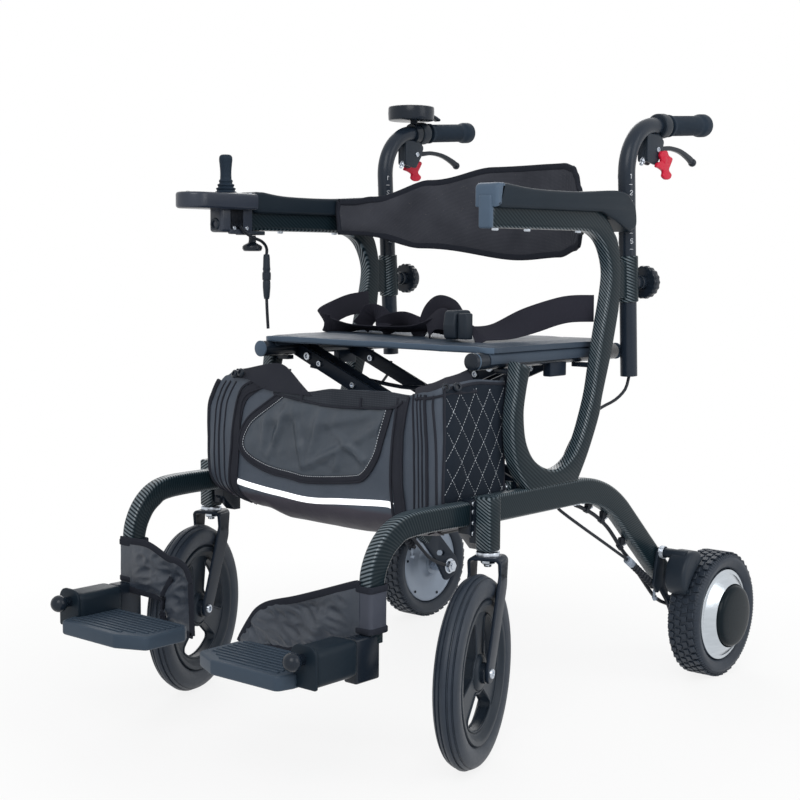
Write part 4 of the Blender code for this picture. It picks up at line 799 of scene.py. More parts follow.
def make_materials():
    return {
        "carbon": carbon_material(),
        "slate": satin_material("slate", (0.060, 0.094, 0.140), (0.084, 0.126, 0.184), 0.40),
        "deck": satin_material("deck_slate", (0.030, 0.048, 0.072), (0.048, 0.071, 0.102), 0.46),
        "head": satin_material("control_navy", (0.014, 0.021, 0.036), (0.026, 0.036, 0.058), 0.30,
                               specular=0.45),
        "pad": satin_material("pad_foam", (0.0060, 0.0130, 0.0210), (0.0120, 0.0210, 0.0320), 0.42, 700.0,
                              0.00010,
                              specular=0.14),
        "plastic": satin_material("black_plastic", (0.0110, 0.0175, 0.0270), (0.020, 0.030, 0.044), 0.40),
        "gloss": satin_material("gloss_black", (0.0070, 0.0120, 0.0195), (0.014, 0.021, 0.033), 0.24,
                                specular=0.25),
        "paint": satin_material("pole_paint", (0.0090, 0.0160, 0.0270), (0.018, 0.027, 0.042), 0.28, 1200.0,
                                0.00004,
                                specular=0.25),
        "fork": satin_material("fork_paint", (0.0080, 0.0145, 0.0260), (0.015, 0.024, 0.040), 0.34, 900.0,
                               0.00006,
                               specular=0.14),
        "tyre": tyre_material(),
        "rubber": satin_material("grip_rubber", (0.0095, 0.0190, 0.0320), (0.018, 0.031, 0.050), 0.55,
                                 600.0, 0.00015,
                                 specular=0.14),
        "cable": satin_material("cable_rubber", (0.0090, 0.0120, 0.0175), (0.017, 0.021, 0.030), 0.48,
                                500.0, 0.00010),
        "polished": metal_material("polished_alloy", (0.60, 0.65, 0.70), 0.18, 0.00006),
        "bolt": metal_material("bolt_steel", (0.58, 0.63, 0.70), 0.26, 0.00008),
        "dish": satin_material("dish_silver", (0.22, 0.27, 0.34), (0.30, 0.35, 0.43), 0.40, 800.0, 0.00006,
                               0.35, 0.5),
        "cap": glossy_cap_material(),
        "red": satin_material("red_plastic", (0.52, 0.008, 0.034), (0.66, 0.016, 0.052), 0.34, 500.0,
                              0.00006),
        "nylon": woven_material("bag_nylon", (0.036, 0.050, 0.072), (0.105, 0.125, 0.160), 0.0012, 0.50,
                                0.30,
                                crease=0.005, low=(0.050, 0.046, 0.062)),
        "leather": woven_material("bag_leather", (0.020, 0.031, 0.046), (0.056, 0.076, 0.104), 0.0016, 0.40,
                                  0.55,
                                  crease=0.005),
        "trim": woven_material("bag_trim", (0.014, 0.016, 0.023), (0.040, 0.043, 0.056), 0.0010, 0.75,
                               0.12),
        "netting": woven_material("bag_netting", (0.012, 0.015, 0.021), (0.068, 0.076, 0.092), 0.0030, 0.8,
                                  0.12),
        "quilt": woven_material("bag_quilt", (0.006, 0.010, 0.017), (0.016, 0.023, 0.035), 0.0012, 0.7,
                                0.12),
        "strap": woven_material("strap_cloth", (0.020, 0.022, 0.030), (0.100, 0.105, 0.125), 0.0022, 0.82,
                                0.10, 0.9),
        "seat": woven_material("seat_cloth", (0.030, 0.046, 0.070), (0.054, 0.078, 0.112), 0.0010, 0.50,
                               0.25,
                               crease=0.002),
        "heel": woven_material("heel_nylon", (0.012, 0.018, 0.030), (0.060, 0.078, 0.108), 0.0010, 0.36,
                               0.55,
                               crease=0.006),
        "wrap": woven_material("wrap_cloth", (0.040, 0.046, 0.066), (0.078, 0.088, 0.118), 0.0010, 0.5,
                               0.3),
        "webbing": ribbed_material("webbing", (0.014, 0.014, 0.022), (0.034, 0.035, 0.048)),
        "binding": ribbed_material("binding", (0.012, 0.014, 0.021), (0.030, 0.034, 0.046), 0.0012),
        # the reflective stripe is near white and glows: a painted reflection
        "reflective": shining_material("reflective", (0.92, 0.93, 0.95), 0.80),
        "thread": shining_material("thread", (0.66, 0.71, 0.77), 0.0),
        "print": shining_material("print_white", (0.72, 0.75, 0.80), 0.0),
        "case": hidden_case_material(),
    }


# Pieces

CLOTH_ANGLE = math.radians(60.0)
PADDED_ANGLE = math.radians(70.0)


def place_piece(name, mesh, finish, body, nodes=(), lift=None, sharp=SHARP_ANGLE):
    """Makes an object from a mesh drawn in the measured frame and lets it ride on a body."""
    mesh.name = name
    mesh.materials.clear()
    mesh.materials.append(MATERIALS[finish])
    mesh.transform(shift(y=MODEL_SHIFT_Y) @ (lift or Matrix.Identity(4)))
    mesh.shade_smooth()
    mesh.set_sharp_from_angle(angle=sharp)
    item = bpy.data.objects.new(name, mesh)
    bpy.context.scene.collection.objects.link(item)
    if body:
        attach(item, body)
    if nodes:
        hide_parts(*nodes)
    return item


def place_pair(name, meshes, finish, body, nodes=(), right_lift=None, sharp=SHARP_ANGLE):
    """A left piece and its mirror image. The names of body and nodes are given without their side."""
    mesh = joined(meshes) if isinstance(meshes, list) else meshes
    right = mirrored(mesh)
    found = {}
    for side, shape in ((LEFT, mesh), (RIGHT, right)):
        label = SIDE_NAMES[side]
        found[side] = place_piece(label + name, shape, finish, label + body,
                                  [label + node for node in nodes],
                                  right_lift if side == RIGHT else None, sharp)
    return found


# Side frames


def beam_path():
    return rounded([(BEAM_FRONT_Y, BEAM_Z), (*BEAM_CORNER, BEAM_CORNER_RADIUS), BEAM_END], closed=False,
                   steps=24)


def twill(place):
    """The weave's phase on a moulding with no single direction."""
    return place.z * 0.80 + place.y * 0.55 + place.x * 0.9


def beam_meshes():
    path = [(FRAME_X, y, z) for y, z in beam_path()]
    beam = sweep(path, section(FRAME_WIDTH / 2, BEAM_HEIGHT / 2, FRAME_EDGE), (1, 0, 0), 0.7)
    head_half = 0.0128
    head = sweep([(STEER_X, STEER_Y, z) for z in (HEAD_BOTTOM_Z + 0.001, HEAD_BOTTOM_Z + 0.003,
                                                  HEAD_TOP_Z - 0.002,
                                                  HEAD_TOP_Z)],
                 [section(head_half - inset, head_half - inset, 0.0042) for inset in (0.0012, 0.0, 0.0,
                         0.0015)],
                 (1, 0, 0), 0.55)
    lugs = []
    for y in LUG_PLACES_Y:
        y_range = (y - 0.003, y + 0.003)
        lugs.append(block((LOWER_PIVOT[0] - 0.009, FRAME_INNER_X), y_range, (0.332, 0.353), 0.001, 1))
        lugs.append(block((LOWER_PIVOT[0], FRAME_INNER_X + 0.006), y_range, (0.332, BEAM_TOP_Z - 0.004),
                          0.001, 1))
    return beam, head, [with_weave(lug, twill) for lug in lugs]


def dropout_loops():
    """The axle plate with its keyhole slot, in the YZ plane."""
    beam_end = Vector(BEAM_END)
    down = (beam_end - Vector(BEAM_CORNER)).normalized()
    across = Vector((-down.y, down.x))
    corners = [(-0.030, -0.017, 0.004), (0.050, -0.024, 0.040), (0.100, -0.037, 0.010),
               (0.117, 0.004, 0.012), (0.092, 0.014, 0.020), (0.020, 0.017, 0.030), (-0.030, 0.017, 0.004)]
    plate = rounded([(*(beam_end + down * u + across * v), radius) for u, v, radius in corners], steps=6)
    slot_corners = [(0.040, -0.014, 0.0035), (0.047, -0.014, 0.0035), (0.060, -0.006, 0.0035),
                    (0.060, 0.001, 0.0035), (0.052, 0.001, 0.0035), (0.040, -0.007, 0.0035)]
    slot = rounded([(*(beam_end + down * u + across * v), radius) for u, v, radius in slot_corners],
                   steps=4)
    return [plate, slot[::-1]]


def arm_rear_curve(steps=8):
    return smooth([(0.1940, 0.5870), (0.1985, 0.6260), (0.1975, 0.6570), (0.1880, 0.6900), (0.1760, 0.7050),
                   (0.1500, 0.7290), (0.1100, ARM_TOP_Z)], steps)


def arm_frame_loop():
    """The U, post and arm as one outline, starting at the arm's front underside."""
    inner = smooth([(0.0850, ARM_BOTTOM_Z), (0.1220, 0.7000), (0.1500, 0.6840), (0.1670, 0.6520),
                    (0.1660, 0.6200), (0.1490, 0.5560), (0.1380, 0.5100), (0.1230, 0.4540),
                    (0.0880, 0.3880), (0.0410, 0.3640), (-0.0080, 0.3770), (-0.0350, 0.4070),
                    (-0.0430, 0.4470), (-0.0380, 0.4800), (-0.0280, 0.5140)], 8)
    leg = smooth([(-0.0580, 0.5220), (-0.0640, 0.4810), (-0.0710, 0.4380), (-0.0620, 0.3830),
                  (-0.0300, BEAM_TOP_Z - 0.004)], 8)
    post = smooth([(0.0910, BEAM_TOP_Z - 0.004), (0.1190, 0.3805), (0.1460, 0.4320), (0.1540, 0.4610),
                   (0.1770, 0.5270), (0.1940, 0.5870)], 8)
    return [(ARM_FRONT_Y, ARM_BOTTOM_Z)] + inner + leg + post + arm_rear_curve()[1:] + [(ARM_FRONT_Y,
            ARM_TOP_Z)]


def handle_axis(z):
    return Vector((HANDLE_X, HANDLE_BASE_Y - math.tan(HANDLE_LEAN) * (z - HANDLE_BASE_Z), z))


def arm_pad(front_y):
    """A moulded arm rest over the arm tube, notched at its rear for the handle tube."""
    loop = smooth([(front_y + 0.0125, PAD_SKIRT_Z - 0.001), (front_y + 0.003, PAD_SKIRT_Z + 0.0025),
                   (front_y, PAD_SKIRT_Z + 0.010)], 4)
    loop += smooth([(front_y, PAD_TOP_Z - 0.009), (front_y + 0.0025, PAD_TOP_Z - 0.0025),
                    (front_y + 0.010, PAD_TOP_Z)], 4)
    loop += smooth([(front_y + 0.025, PAD_TOP_Z), (-0.030, PAD_TOP_Z - 0.005), (0.070, PAD_TOP_Z - 0.005),
                    (0.182, PAD_TOP_Z), (0.214, 0.7490), (0.223, 0.7360), (0.224, 0.7120), (0.207, 0.7036)],
                    6)
    loop += [(0.167, 0.7200), (0.134, PAD_SKIRT_Z)]
    shell = side_outline(loop, 2 * PAD_HALF_WIDTH, 0.0045, resolution=4)
    rear = [(y + 0.0006, z + 0.0007) for y, z in arm_rear_curve(4)]
    channel_loop = [(rear[0][0], 0.580), (ARM_FRONT_Y - 0.0003, 0.580),
                    (ARM_FRONT_Y - 0.0003, ARM_TOP_Z + 0.0007)] + rear[::-1]
    channel = side_outline(channel_loop, FRAME_WIDTH + 0.0006, 0.0)
    tube_space = rod(handle_axis(0.680), handle_axis(0.790), HANDLE_RADIUS + 0.001)
    return cut(shell, channel, tube_space)


def make_beams():
    beam, head, lugs = beam_meshes()
    place_pair("beam", joined([beam, head] + lugs), "carbon", "frame", ["lower_beam"])
    receiver = [side_outline([(RECEIVER_FRONT_Y, BEAM_TOP_Z - 0.001), (BEAM_FRONT_Y + 0.012,
            BEAM_TOP_Z - 0.001),
                              (BEAM_FRONT_Y + 0.012, RECEIVER_LOW_Z), (BEAM_FRONT_Y, RECEIVER_LOW_Z),
                              (RECEIVER_FRONT_Y, RECEIVER_LOW_Z + 0.024)], FRAME_WIDTH - 0.001, 0.0015),
                block((FRAME_X + 0.004, STEER_X - 0.004), (STEER_Y - 0.007, STEER_Y + 0.009),
                      (HEAD_BOTTOM_Z + 0.008, HEAD_TOP_Z - 0.008), 0.001, 1)]
    place_pair("receiver", receiver, "gloss", "frame")
    receiver_bolts = []
    for z in (0.338, 0.327, 0.312, 0.298):
        receiver_bolts.append(socket_bolt((FRAME_OUTER_X - 0.0006, RECEIVER_FRONT_Y + 0.006, z), (1, 0, 0),
                                          0.0034, 0.002))
    for y, z in ((0.095, 0.3052), (0.104, 0.3052), (0.118, 0.3050)):
        receiver_bolts.append(socket_bolt((FRAME_X + 0.002, y, z + 0.0006), (0, 0, -1), 0.0030, 0.0022))
    place_pair("receiver_bolts", receiver_bolts, "bolt", "frame")


def make_axle_fittings():
    plate = outline(dropout_loops(), 0.006, 0.001, shift(x=FRAME_X) @ SIDE_VIEW, 2)
    place_pair("dropout", plate, "fork", "frame")
    axle = (REAR_AXLE_Y, REAR_RADIUS)
    fittings = [rod((FRAME_X - 0.014, *axle), (FRAME_X + 0.010, *axle), 0.0062, edge=0.0008),
                hexagon((FRAME_X - 0.003, *axle), (-1, 0, 0), 0.0115, 0.009),
                rod((FRAME_X - 0.0046, *axle), (FRAME_X - 0.003, *axle), 0.0140, edge=0.0004),
                rod((FRAME_X, *axle), (REAR_X - REAR_WIDTH / 2 - 0.0003, *axle), 0.0125, edge=0.0006),
                rod((FRAME_X, *BRAKE_PIVOT), (FRAME_OUTER_X + 0.012, *BRAKE_PIVOT), 0.0040)]
    for y in LUG_PLACES_Y:
        inward = 1 if y < 0 else -1
        fittings.append(rod((LOWER_PIVOT[0], y, LOWER_PIVOT[1]),
                            (LOWER_PIVOT[0], y + inward * 0.0113, LOWER_PIVOT[1]), 0.0040))
        fittings.append(socket_bolt((LOWER_PIVOT[0], y - inward * 0.0028, LOWER_PIVOT[1]), (0, -inward, 0),
                                    0.0062, 0.004))
    place_pair("axle_fittings", fittings, "bolt", "frame")


def make_arms():
    arm = with_weave(side_outline(arm_frame_loop(), FRAME_WIDTH, FRAME_EDGE, resolution=4), twill)
    sleeve_middle = (handle_axis(SLEEVE_LOW_Z) + handle_axis(SLEEVE_HIGH_Z)) / 2
    sleeve_points = [handle_axis(SLEEVE_LOW_Z), handle_axis(SLEEVE_LOW_Z + 0.001),
                     handle_axis(SLEEVE_HIGH_Z - 0.001),
                     handle_axis(SLEEVE_HIGH_Z)]
    sleeve = sweep(sleeve_points, [round_section(radius, 48) for radius in (0.0150, 0.0158, 0.0158,
            0.0150)],
                   (1, 0, 0), 0.45)
    web = with_weave(block((FRAME_X - 0.007, FRAME_X + 0.007), (0.175, sleeve_middle.y - 0.006),
                           (SLEEVE_LOW_Z + 0.006, SLEEVE_HIGH_Z - 0.008), 0.002), twill)
    place_pair("arm", [arm, sleeve, web], "carbon", "frame", ["arm_frame"])
    boss = [rod(handle_axis(KNOB_Z) + Vector((0, 0.012, 0)), (HANDLE_X, KNOB_Y - 0.0122, KNOB_Z), 0.010,
                edge=0.0008)]
    for y_range in ((-0.052, -0.038), (0.139, 0.153)):
        boss.append(block((RAIL_X - 0.006, FRAME_INNER_X + 0.005), y_range, (RAIL_Z - RAIL_RADIUS - 0.007,
                                                                            RAIL_Z - RAIL_RADIUS - 0.0003),
                                                                            0.001))
    place_pair("saddles", boss, "gloss", "frame")
    arm_bolts = []
    for y in (-0.103, -0.030, 0.095):
        arm_bolts.append(socket_bolt((FRAME_X, y, ARM_BOTTOM_Z + 0.0004), (0, 0, -1), 0.0046, 0.0036))
    place_pair("arm_bolts", arm_bolts, "bolt", "frame")


def make_arm_rests():
    for side in (LEFT, RIGHT):
        label = SIDE_NAMES[side]
        pad = arm_pad(PAD_FRONT_Y[side])
        place_piece(label + "arm_rest", pad if side == LEFT else mirrored(pad), "pad", label + "frame",
                    [label + "arm_pad"])
    nose = joined([block((FRAME_X - 0.0113, FRAME_X + 0.0113), (-0.1272, ARM_FRONT_Y + 0.0020),
                         (ARM_BOTTOM_Z - 0.0008, 0.7475), 0.0038, 4),
                   side_outline(rounded([(-0.1246, 0.7305, 0.002), (-0.1246, PAD_TOP_Z + 0.0003, 0.008),
                                         (-0.1060, PAD_TOP_Z + 0.0004, 0.001),
                                         (-0.1120, PAD_SKIRT_Z + 0.002, 0.004)],
                                        steps=5), 2 * PAD_HALF_WIDTH + 0.0006, 0.0045, resolution=4)])
    place_piece("left_arm_plug", nose, "slate", "left_frame")


# Cables under the beam

MOTOR_CABLE_DIAMETER = 0.0060
BRAKE_CABLE_DIAMETER = 0.0048
LEAD_DIAMETER = 0.0048


def motor_cable_path():
    side = [(0.1100, 0.3015), (0.1280, 0.2950), (0.1620, 0.2800), (0.1960, 0.2580), (0.2190, 0.2370),
            (0.2390, 0.2170), (0.2640, 0.1960), (0.3050, 0.1570), (0.3450, 0.1220), (0.3860, 0.1050)]
    return smooth([(FRAME_INNER_X + 0.0045, y, z) for y, z in side], 3)


def brake_cable_path():
    inner = FRAME_INNER_X - 0.0028
    route = [(HANDLE_X, HANDLE_BASE_Y + 0.0002, HANDLE_BASE_Z - 0.0010), (0.2390, 0.2320, 0.4660),
             (0.2350, 0.2110, 0.4510), (0.2280, 0.1850, 0.4410), (inner, 0.1600, 0.4310),
             (inner, 0.1250, 0.4120), (inner, 0.0950, 0.3820), (inner, 0.0760, 0.3480),
             (inner, 0.0720, 0.3160), (inner, 0.0745, 0.3020), (0.2300, 0.0880, 0.2905),
             (0.2400, 0.1200, 0.2680), (0.2420, 0.1820, 0.2340), (0.2430, 0.2480, 0.1980)]
    return smooth(route, 3)


def row_frame(points, side=LEFT, lift=None):
    """Points of a left piece in the row frame, on either side."""
    found = []
    for point in points:
        place = Vector(point)
        place.x *= side
        if lift is not None:
            place = lift @ place
        found.append(tuple(place + Vector((0.0, MODEL_SHIFT_Y, 0.0))))
    return found


def make_frame_cables():
    motor_path = motor_cable_path()
    motor = place_pair("motor_lead", tube(motor_path, MOTOR_CABLE_DIAMETER / 2, 14), "cable", "frame",
                       ["motor_cable"])
    clips = []
    screws = []
    for y, z, fall in ((0.139, 0.291, -0.45), (0.234, 0.222, -0.90), (0.180, 0.270, -0.60)):
        line_x = FRAME_INNER_X + 0.0045
        start = (line_x, y - 0.004, z - 0.004 * fall)
        end = (line_x, y + 0.004, z + 0.004 * fall)
        clips.append(rod(start, end, 0.0046, edge=0.0006))
        clips.append(block((FRAME_INNER_X + 0.001, FRAME_INNER_X + 0.009), (y - 0.001, y + 0.009),
                           (z + 0.002, z + 0.014),
                           0.001, 1))
        screws.append(socket_bolt((FRAME_INNER_X + 0.005, y + 0.010, z + 0.004), (0.1, 0.55, -0.83), 0.0034,
                                  0.003))
    place_pair("cable_clips", clips, "cable", "frame")
    place_pair("clip_screws", screws, "bolt", "frame")
    brake_path = brake_cable_path()
    mesh = tube(brake_path, BRAKE_CABLE_DIAMETER / 2, 14)
    for side, shape in ((LEFT, mesh), (RIGHT, mirrored(mesh))):
        label = SIDE_NAMES[side]
        piece = place_piece(label + "brake_line", shape, "cable", None)
        start = row_frame([(HANDLE_X, 0.190, 0.440)], side)[0]
        end = row_frame([(HANDLE_X, HANDLE_BASE_Y, HANDLE_BASE_Z)], side)[0]
        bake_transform(piece)
        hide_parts(label + "brake_cable")
        line = row_frame(brake_path, side)
        motor_line = row_frame(motor_path, side)


def make_brake_boots():
    boot_start = Vector((0.2430, 0.2440, 0.1996))
    boot_end = Vector((0.2500, 0.3180, 0.1450))
    run = boot_end - boot_start
    profile = [(0.0, 0.0), (0.0036, 0.0)]
    ribs = 9
    for index in range(ribs):
        height = run.length * (0.16 + 0.78 * index / ribs)
        profile += [(0.0040, height), (0.0062, height + 0.0016), (0.0062, height + 0.0036),
                    (0.0040, height + 0.0052)]
    profile += [(0.0036, run.length), (0.0, run.length)]
    place_pair("boot", turned(profile, along(boot_start, run), 24), "cable", "frame")
    stop = boot_start - run.normalized() * 0.004
    ferrule = [rod(stop, stop + run.normalized() * 0.017, 0.0062, edge=0.0008),
               socket_bolt((0.2500, 0.3120, 0.1330), (0.2, 0.3, -0.9), 0.0040, 0.006),
               rod((0.2500, 0.3120, 0.1440), (0.2500, 0.3120, 0.1310), 0.0022)]
    place_pair("ferrule", ferrule, "dish", "frame")


def right_handle_shift():
    """The right handle is clamped a little higher in its sleeve."""
    return shift(y=-math.tan(HANDLE_LEAN) * RIGHT_HANDLE_RAISE, z=RIGHT_HANDLE_RAISE)


# Rear wheels


def wheel_frame(x, y, z):
    """Local Z along +X, for pieces turned about a wheel's axle."""
    return shift(x, y, z) @ Matrix.Rotation(math.radians(90.0), 4, "Y")


def both_sides(half_profile):
    return half_profile + [(radius, -height) for radius, height in half_profile[::-1]]


def tread_block(radius, height, angle, width, length, thickness, skew):
    """One lug on the tread, about the local Z axis: height is its middle across the wheel."""
    mesh = block((-thickness, thickness * 0.5), (-length / 2, length / 2), (-width / 2, width / 2), 0.0007,
                 1)
    mesh.transform(Matrix.Rotation(skew, 4, "X"))
    mesh.transform(shift(x=radius))
    mesh.transform(shift(z=height))
    mesh.transform(Matrix.Rotation(angle, 4, "Z"))
    return mesh


def make_rear_tyres():
    axle = wheel_frame(REAR_X, REAR_AXLE_Y, REAR_RADIUS)
    half = REAR_WIDTH / 2
    carcass = smooth([(REAR_RIM_RADIUS + 0.0003, half - 0.0080), (0.0770, half - 0.0040),
                      (0.0830, half - 0.0010), (0.0880, half), (0.0925, half - 0.0018),
                      (0.0955, half - 0.0055), (0.0966, half - 0.0110), (0.0972, 0.0090),
                      (0.0974, 0.0010)], 5)
    body = turned(both_sides(carcass), axle, 120, closed=True)
    place_pair("rear_carcass", body, "tyre", "rear_wheel", ["rear_tyre"])
    lugs = []
    for index in range(LUG_COUNT):
        angle = 2 * math.pi * index / LUG_COUNT
        for row, offset in ((-0.0170, 0.5), (-0.0056, 0.0), (0.0056, 0.5), (0.0170, 0.0)):
            turn = angle + offset * 2 * math.pi / LUG_COUNT
            skew = 0.22 if row > 0 else -0.22
            lugs.append(tread_block(0.0986, row, turn, 0.0090, 0.0092, 0.0022, skew))
    place_pair("rear_lugs", [moved(joined(lugs), axle)], "tyre", "rear_wheel")
    teeth = []
    for side in (-1, 1):
        for index in range(TOOTH_COUNT):
            angle = 2 * math.pi * index / TOOTH_COUNT
            tooth = block((-0.0008, 0.0008), (-0.0011, 0.0011), (-0.0030, 0.0030), 0.0003, 1)
            tooth.transform(Matrix.Rotation(math.radians(-48.0 * side), 4, "Y"))
            tooth.transform(shift(0.0938, 0.0, side * (half - 0.0032)))
            tooth.transform(Matrix.Rotation(angle, 4, "Z"))
            teeth.append(tooth)
    place_pair("rear_serration", [moved(joined(teeth), axle)], "tyre", "rear_wheel")


def make_hub_motors():
    axle = wheel_frame(REAR_X, REAR_AXLE_Y, REAR_RADIUS)
    half = REAR_WIDTH / 2
    cap = CAP_REACH_X - REAR_X
    ring = [(0.0480, cap - 0.0160), (0.0500, cap - 0.0110), (0.0508, cap - 0.0102), (0.0655, half - 0.0036),
            (0.0668, half - 0.0042), (0.0690, half - 0.0040), (0.0715, half - 0.0050),
            (0.0730, half - 0.0085), (REAR_RIM_RADIUS, half - 0.0150), (REAR_RIM_RADIUS, 0.0),
            (0.0480, 0.0)]
    place_pair("hub_ring", turned(ring, axle, 128, closed=True), "polished", "rear_wheel", ["hub_motor"])
    dome = [(0.0, cap)] + smooth([(0.0150, cap - 0.0002), (0.0300, cap - 0.0008), (0.0420, cap - 0.0020),
                                  (0.0465, cap - 0.0040), (0.0490, cap - 0.0080), (0.0495, cap - 0.0120)],
                                  5)
    dome += [(0.0495, cap - 0.0200), (0.0, cap - 0.0200)]
    place_pair("hub_cap", turned(dome, axle, 96), "cap", "rear_wheel")
    dish = [(REAR_RIM_RADIUS, -0.0010), (REAR_RIM_RADIUS, -half + 0.0130), (0.0715, -half + 0.0085),
            (0.0690, -half + 0.0080)]
    dish += smooth([(0.0680, -half + 0.0088), (0.0550, -half + 0.0118), (0.0420, -half + 0.0150),
                    (0.0330, -half + 0.0140), (0.0260, -half + 0.0110), (0.0200, -half + 0.0020)], 4)
    dish += [(0.0195, -half), (0.0, -half), (0.0, -0.0010)]
    place_pair("hub_dish", turned(dish, axle, 96), "dish", "rear_wheel")
    bolts = []
    for index in range(6):
        angle = math.radians(60.0 * index + 20.0)
        spot = axle @ Vector((0.0640 * math.cos(angle), 0.0640 * math.sin(angle), -half + 0.0096))
        bolts.append(socket_bolt(spot, (-1, 0, 0), 0.0026, 0.0012))
    place_pair("dish_bolts", bolts, "gloss", "rear_wheel")


def make_rear_brakes():
    """A shoe in front of the tyre under a half-round cover, pivoted on the beam's lower end."""
    centre = (REAR_AXLE_Y, REAR_RADIUS)
    cover = smooth([(0.3080, 0.1440), (0.2960, 0.1600), (0.2990, 0.1860), (0.3180, 0.2080),
                    (0.3450, 0.2080), (0.3530, 0.1980)], 8)
    loop = arc(centre, REAR_RADIUS + 0.0035, 118, 155, 14) + cover
    shoe = side_outline(loop, 0.0370, 0.0070, REAR_X - 0.0085, 5)
    eye = rod((REAR_X + 0.0098, 0.3350, 0.1930), (REAR_X + 0.0103, 0.3350, 0.1930), 0.0042)
    inner_x = FRAME_OUTER_X + 0.0003
    boss = rod((inner_x, *BRAKE_PIVOT), (REAR_X, *BRAKE_PIVOT), 0.0075, edge=0.0008)
    arm_loop = rounded([(0.2990, 0.1540, 0.004), (0.3120, 0.1380, 0.004), (0.3260, 0.1500, 0.004),
                        (0.3300, 0.1980, 0.008), (0.3200, 0.2140, 0.008),
                        (0.3100, 0.2060, 0.008)], steps=5)
    arm = side_outline(arm_loop, 0.005, 0.0012, inner_x + 0.0030)
    place_pair("brake_shoe_cover", [shoe, boss, arm, eye], "plastic", "brake_shoe", ["rear_brake"])
    spring_points = []
    coils = 6
    turn_steps = 14
    for step in range(coils * turn_steps + 1):
        angle = 2 * math.pi * step / turn_steps
        spring_points.append((inner_x + 0.0040 + 0.0085 * step / (coils * turn_steps),
                              BRAKE_PIVOT[0] + 0.0094 * math.cos(angle),
                              BRAKE_PIVOT[1] + 0.0094 * math.sin(angle)))
    place_pair("brake_spring", tube(spring_points, 0.0007, 8), "bolt", "brake_shoe")


# Casters


def fork_mesh():
    """A bent crown and two blades that trail to the axle."""
    blade_inner = FORK_INNER_X
    thick = FORK_THICKNESS
    top = FORK_TOP_Z
    shapes = []
    bend = rounded([(-blade_inner - thick / 2, 0.0, top - 0.030), (-blade_inner - thick / 2, 0.0,
            top - thick / 2, 0.0065),
                    (blade_inner + thick / 2, 0.0, top - thick / 2, 0.0065),
                    (blade_inner + thick / 2, 0.0, top - 0.030)],
                   closed=False, steps=8, size=3)
    crown_sections = []
    for x, _, z in bend:
        depth = 0.014 + 0.006 * max(0.0, 1.0 - abs(top - z) / 0.020)
        crown_sections.append(section(depth, thick / 2, 0.0013))
    shapes.append(sweep(bend, crown_sections, (0, 1, 0)))
    half = 0.014
    blade_loop = rounded([(-half, top - 0.004), (-half, top - 0.022, 0.03),
                          (-CASTER_TRAIL - half + 0.002, FRONT_RADIUS + 0.006, 0.014),
                          (-CASTER_TRAIL - half + 0.003, FRONT_RADIUS - half + 0.001, 0.0105),
                          (-CASTER_TRAIL + half - 0.003, FRONT_RADIUS - half + 0.001, 0.0105),
                          (half, top - 0.040, 0.03), (half, top - 0.004)], steps=8)
    for side in (-1, 1):
        shapes.append(side_outline(blade_loop, thick, 0.0012, side * (blade_inner + thick / 2)))
    return joined(shapes)


def fork_steel():
    """The bearing ring, the nut under the crown and the axle's bolt heads."""
    crown_low = FORK_TOP_Z - FORK_THICKNESS
    silver = [rod((0, 0, FORK_TOP_Z - 0.001), (0, 0, HEAD_BOTTOM_Z - 0.0003), 0.0160, edge=0.0010),
              hexagon((0, 0, crown_low + 0.0004), (0, 0, -1), 0.0100, 0.0070),
              rod((0, 0, crown_low - 0.0066), (0, 0, crown_low - 0.0105), 0.0052, edge=0.0008)]
    for side in (-1, 1):
        edge_x = side * (FORK_INNER_X + FORK_THICKNESS)
        silver.append(socket_bolt((edge_x - side * 0.0002, -CASTER_TRAIL, FRONT_RADIUS), (side, 0, 0),
                                  0.0066, 0.0036))
    return joined(silver)


def make_casters():
    fork = fork_mesh()
    silver = fork_steel()
    tyre = turned(both_sides([(FRONT_RIM_RADIUS + 0.0003, 0.0120)] + smooth(
        [(0.0985, 0.0150), (0.1040, 0.0170), (0.1110, 0.0175), (0.1165, 0.0162), (0.1200, 0.0140),
         (0.1216, 0.0124)], 4)
        + [(0.1204, 0.0112), (0.1212, 0.0102), (0.1232, 0.0098), (0.1248, 0.0064), (0.1234, 0.0052),
           (0.1236, 0.0040),
           (0.1258, 0.0036), (FRONT_RADIUS, 0.0012)]), wheel_frame(0, 0, 0), 120, closed=True)
    rim = front_rim()
    hub_half = FRONT_TYRE_WIDTH / 2 + 0.0012
    hub = turned([(0.0053, hub_half), (0.0120, hub_half), (0.0135, hub_half - 0.0012),
                  (0.0140, hub_half - 0.006), (0.0140, -hub_half + 0.006), (0.0135, -hub_half + 0.0012),
                  (0.0120, -hub_half), (0.0053, -hub_half)],
                 wheel_frame(0, 0, 0), 48, closed=True)
    axle = rod((-FORK_INNER_X, 0, 0), (FORK_INNER_X, 0, 0), 0.0050)
    for side in (LEFT, RIGHT):
        label = SIDE_NAMES[side]
        caster = shift(side * STEER_X, STEER_Y, 0) @ Matrix.Rotation(CASTER_YAW, 4, "Z")
        wheel = caster @ shift(0, -CASTER_TRAIL, FRONT_RADIUS)
        place_piece(label + "fork", moved(fork, caster), "fork", label + "caster", [label + "caster_fork"])
        place_piece(label + "fork_steel", moved(silver, caster), "bolt", label + "caster")
        place_piece(label + "front_axle", moved(axle, wheel), "bolt", label + "caster")
        place_piece(label + "caster_tyre", moved(tyre, wheel), "tyre", label + "front_wheel",
                    [label + "front_tyre"])
        place_piece(label + "caster_rim", moved(rim, wheel), "plastic", label + "front_wheel",
                    [label + "front_rim"])
        place_piece(label + "caster_hub", moved(hub, wheel), "gloss", label + "front_wheel")


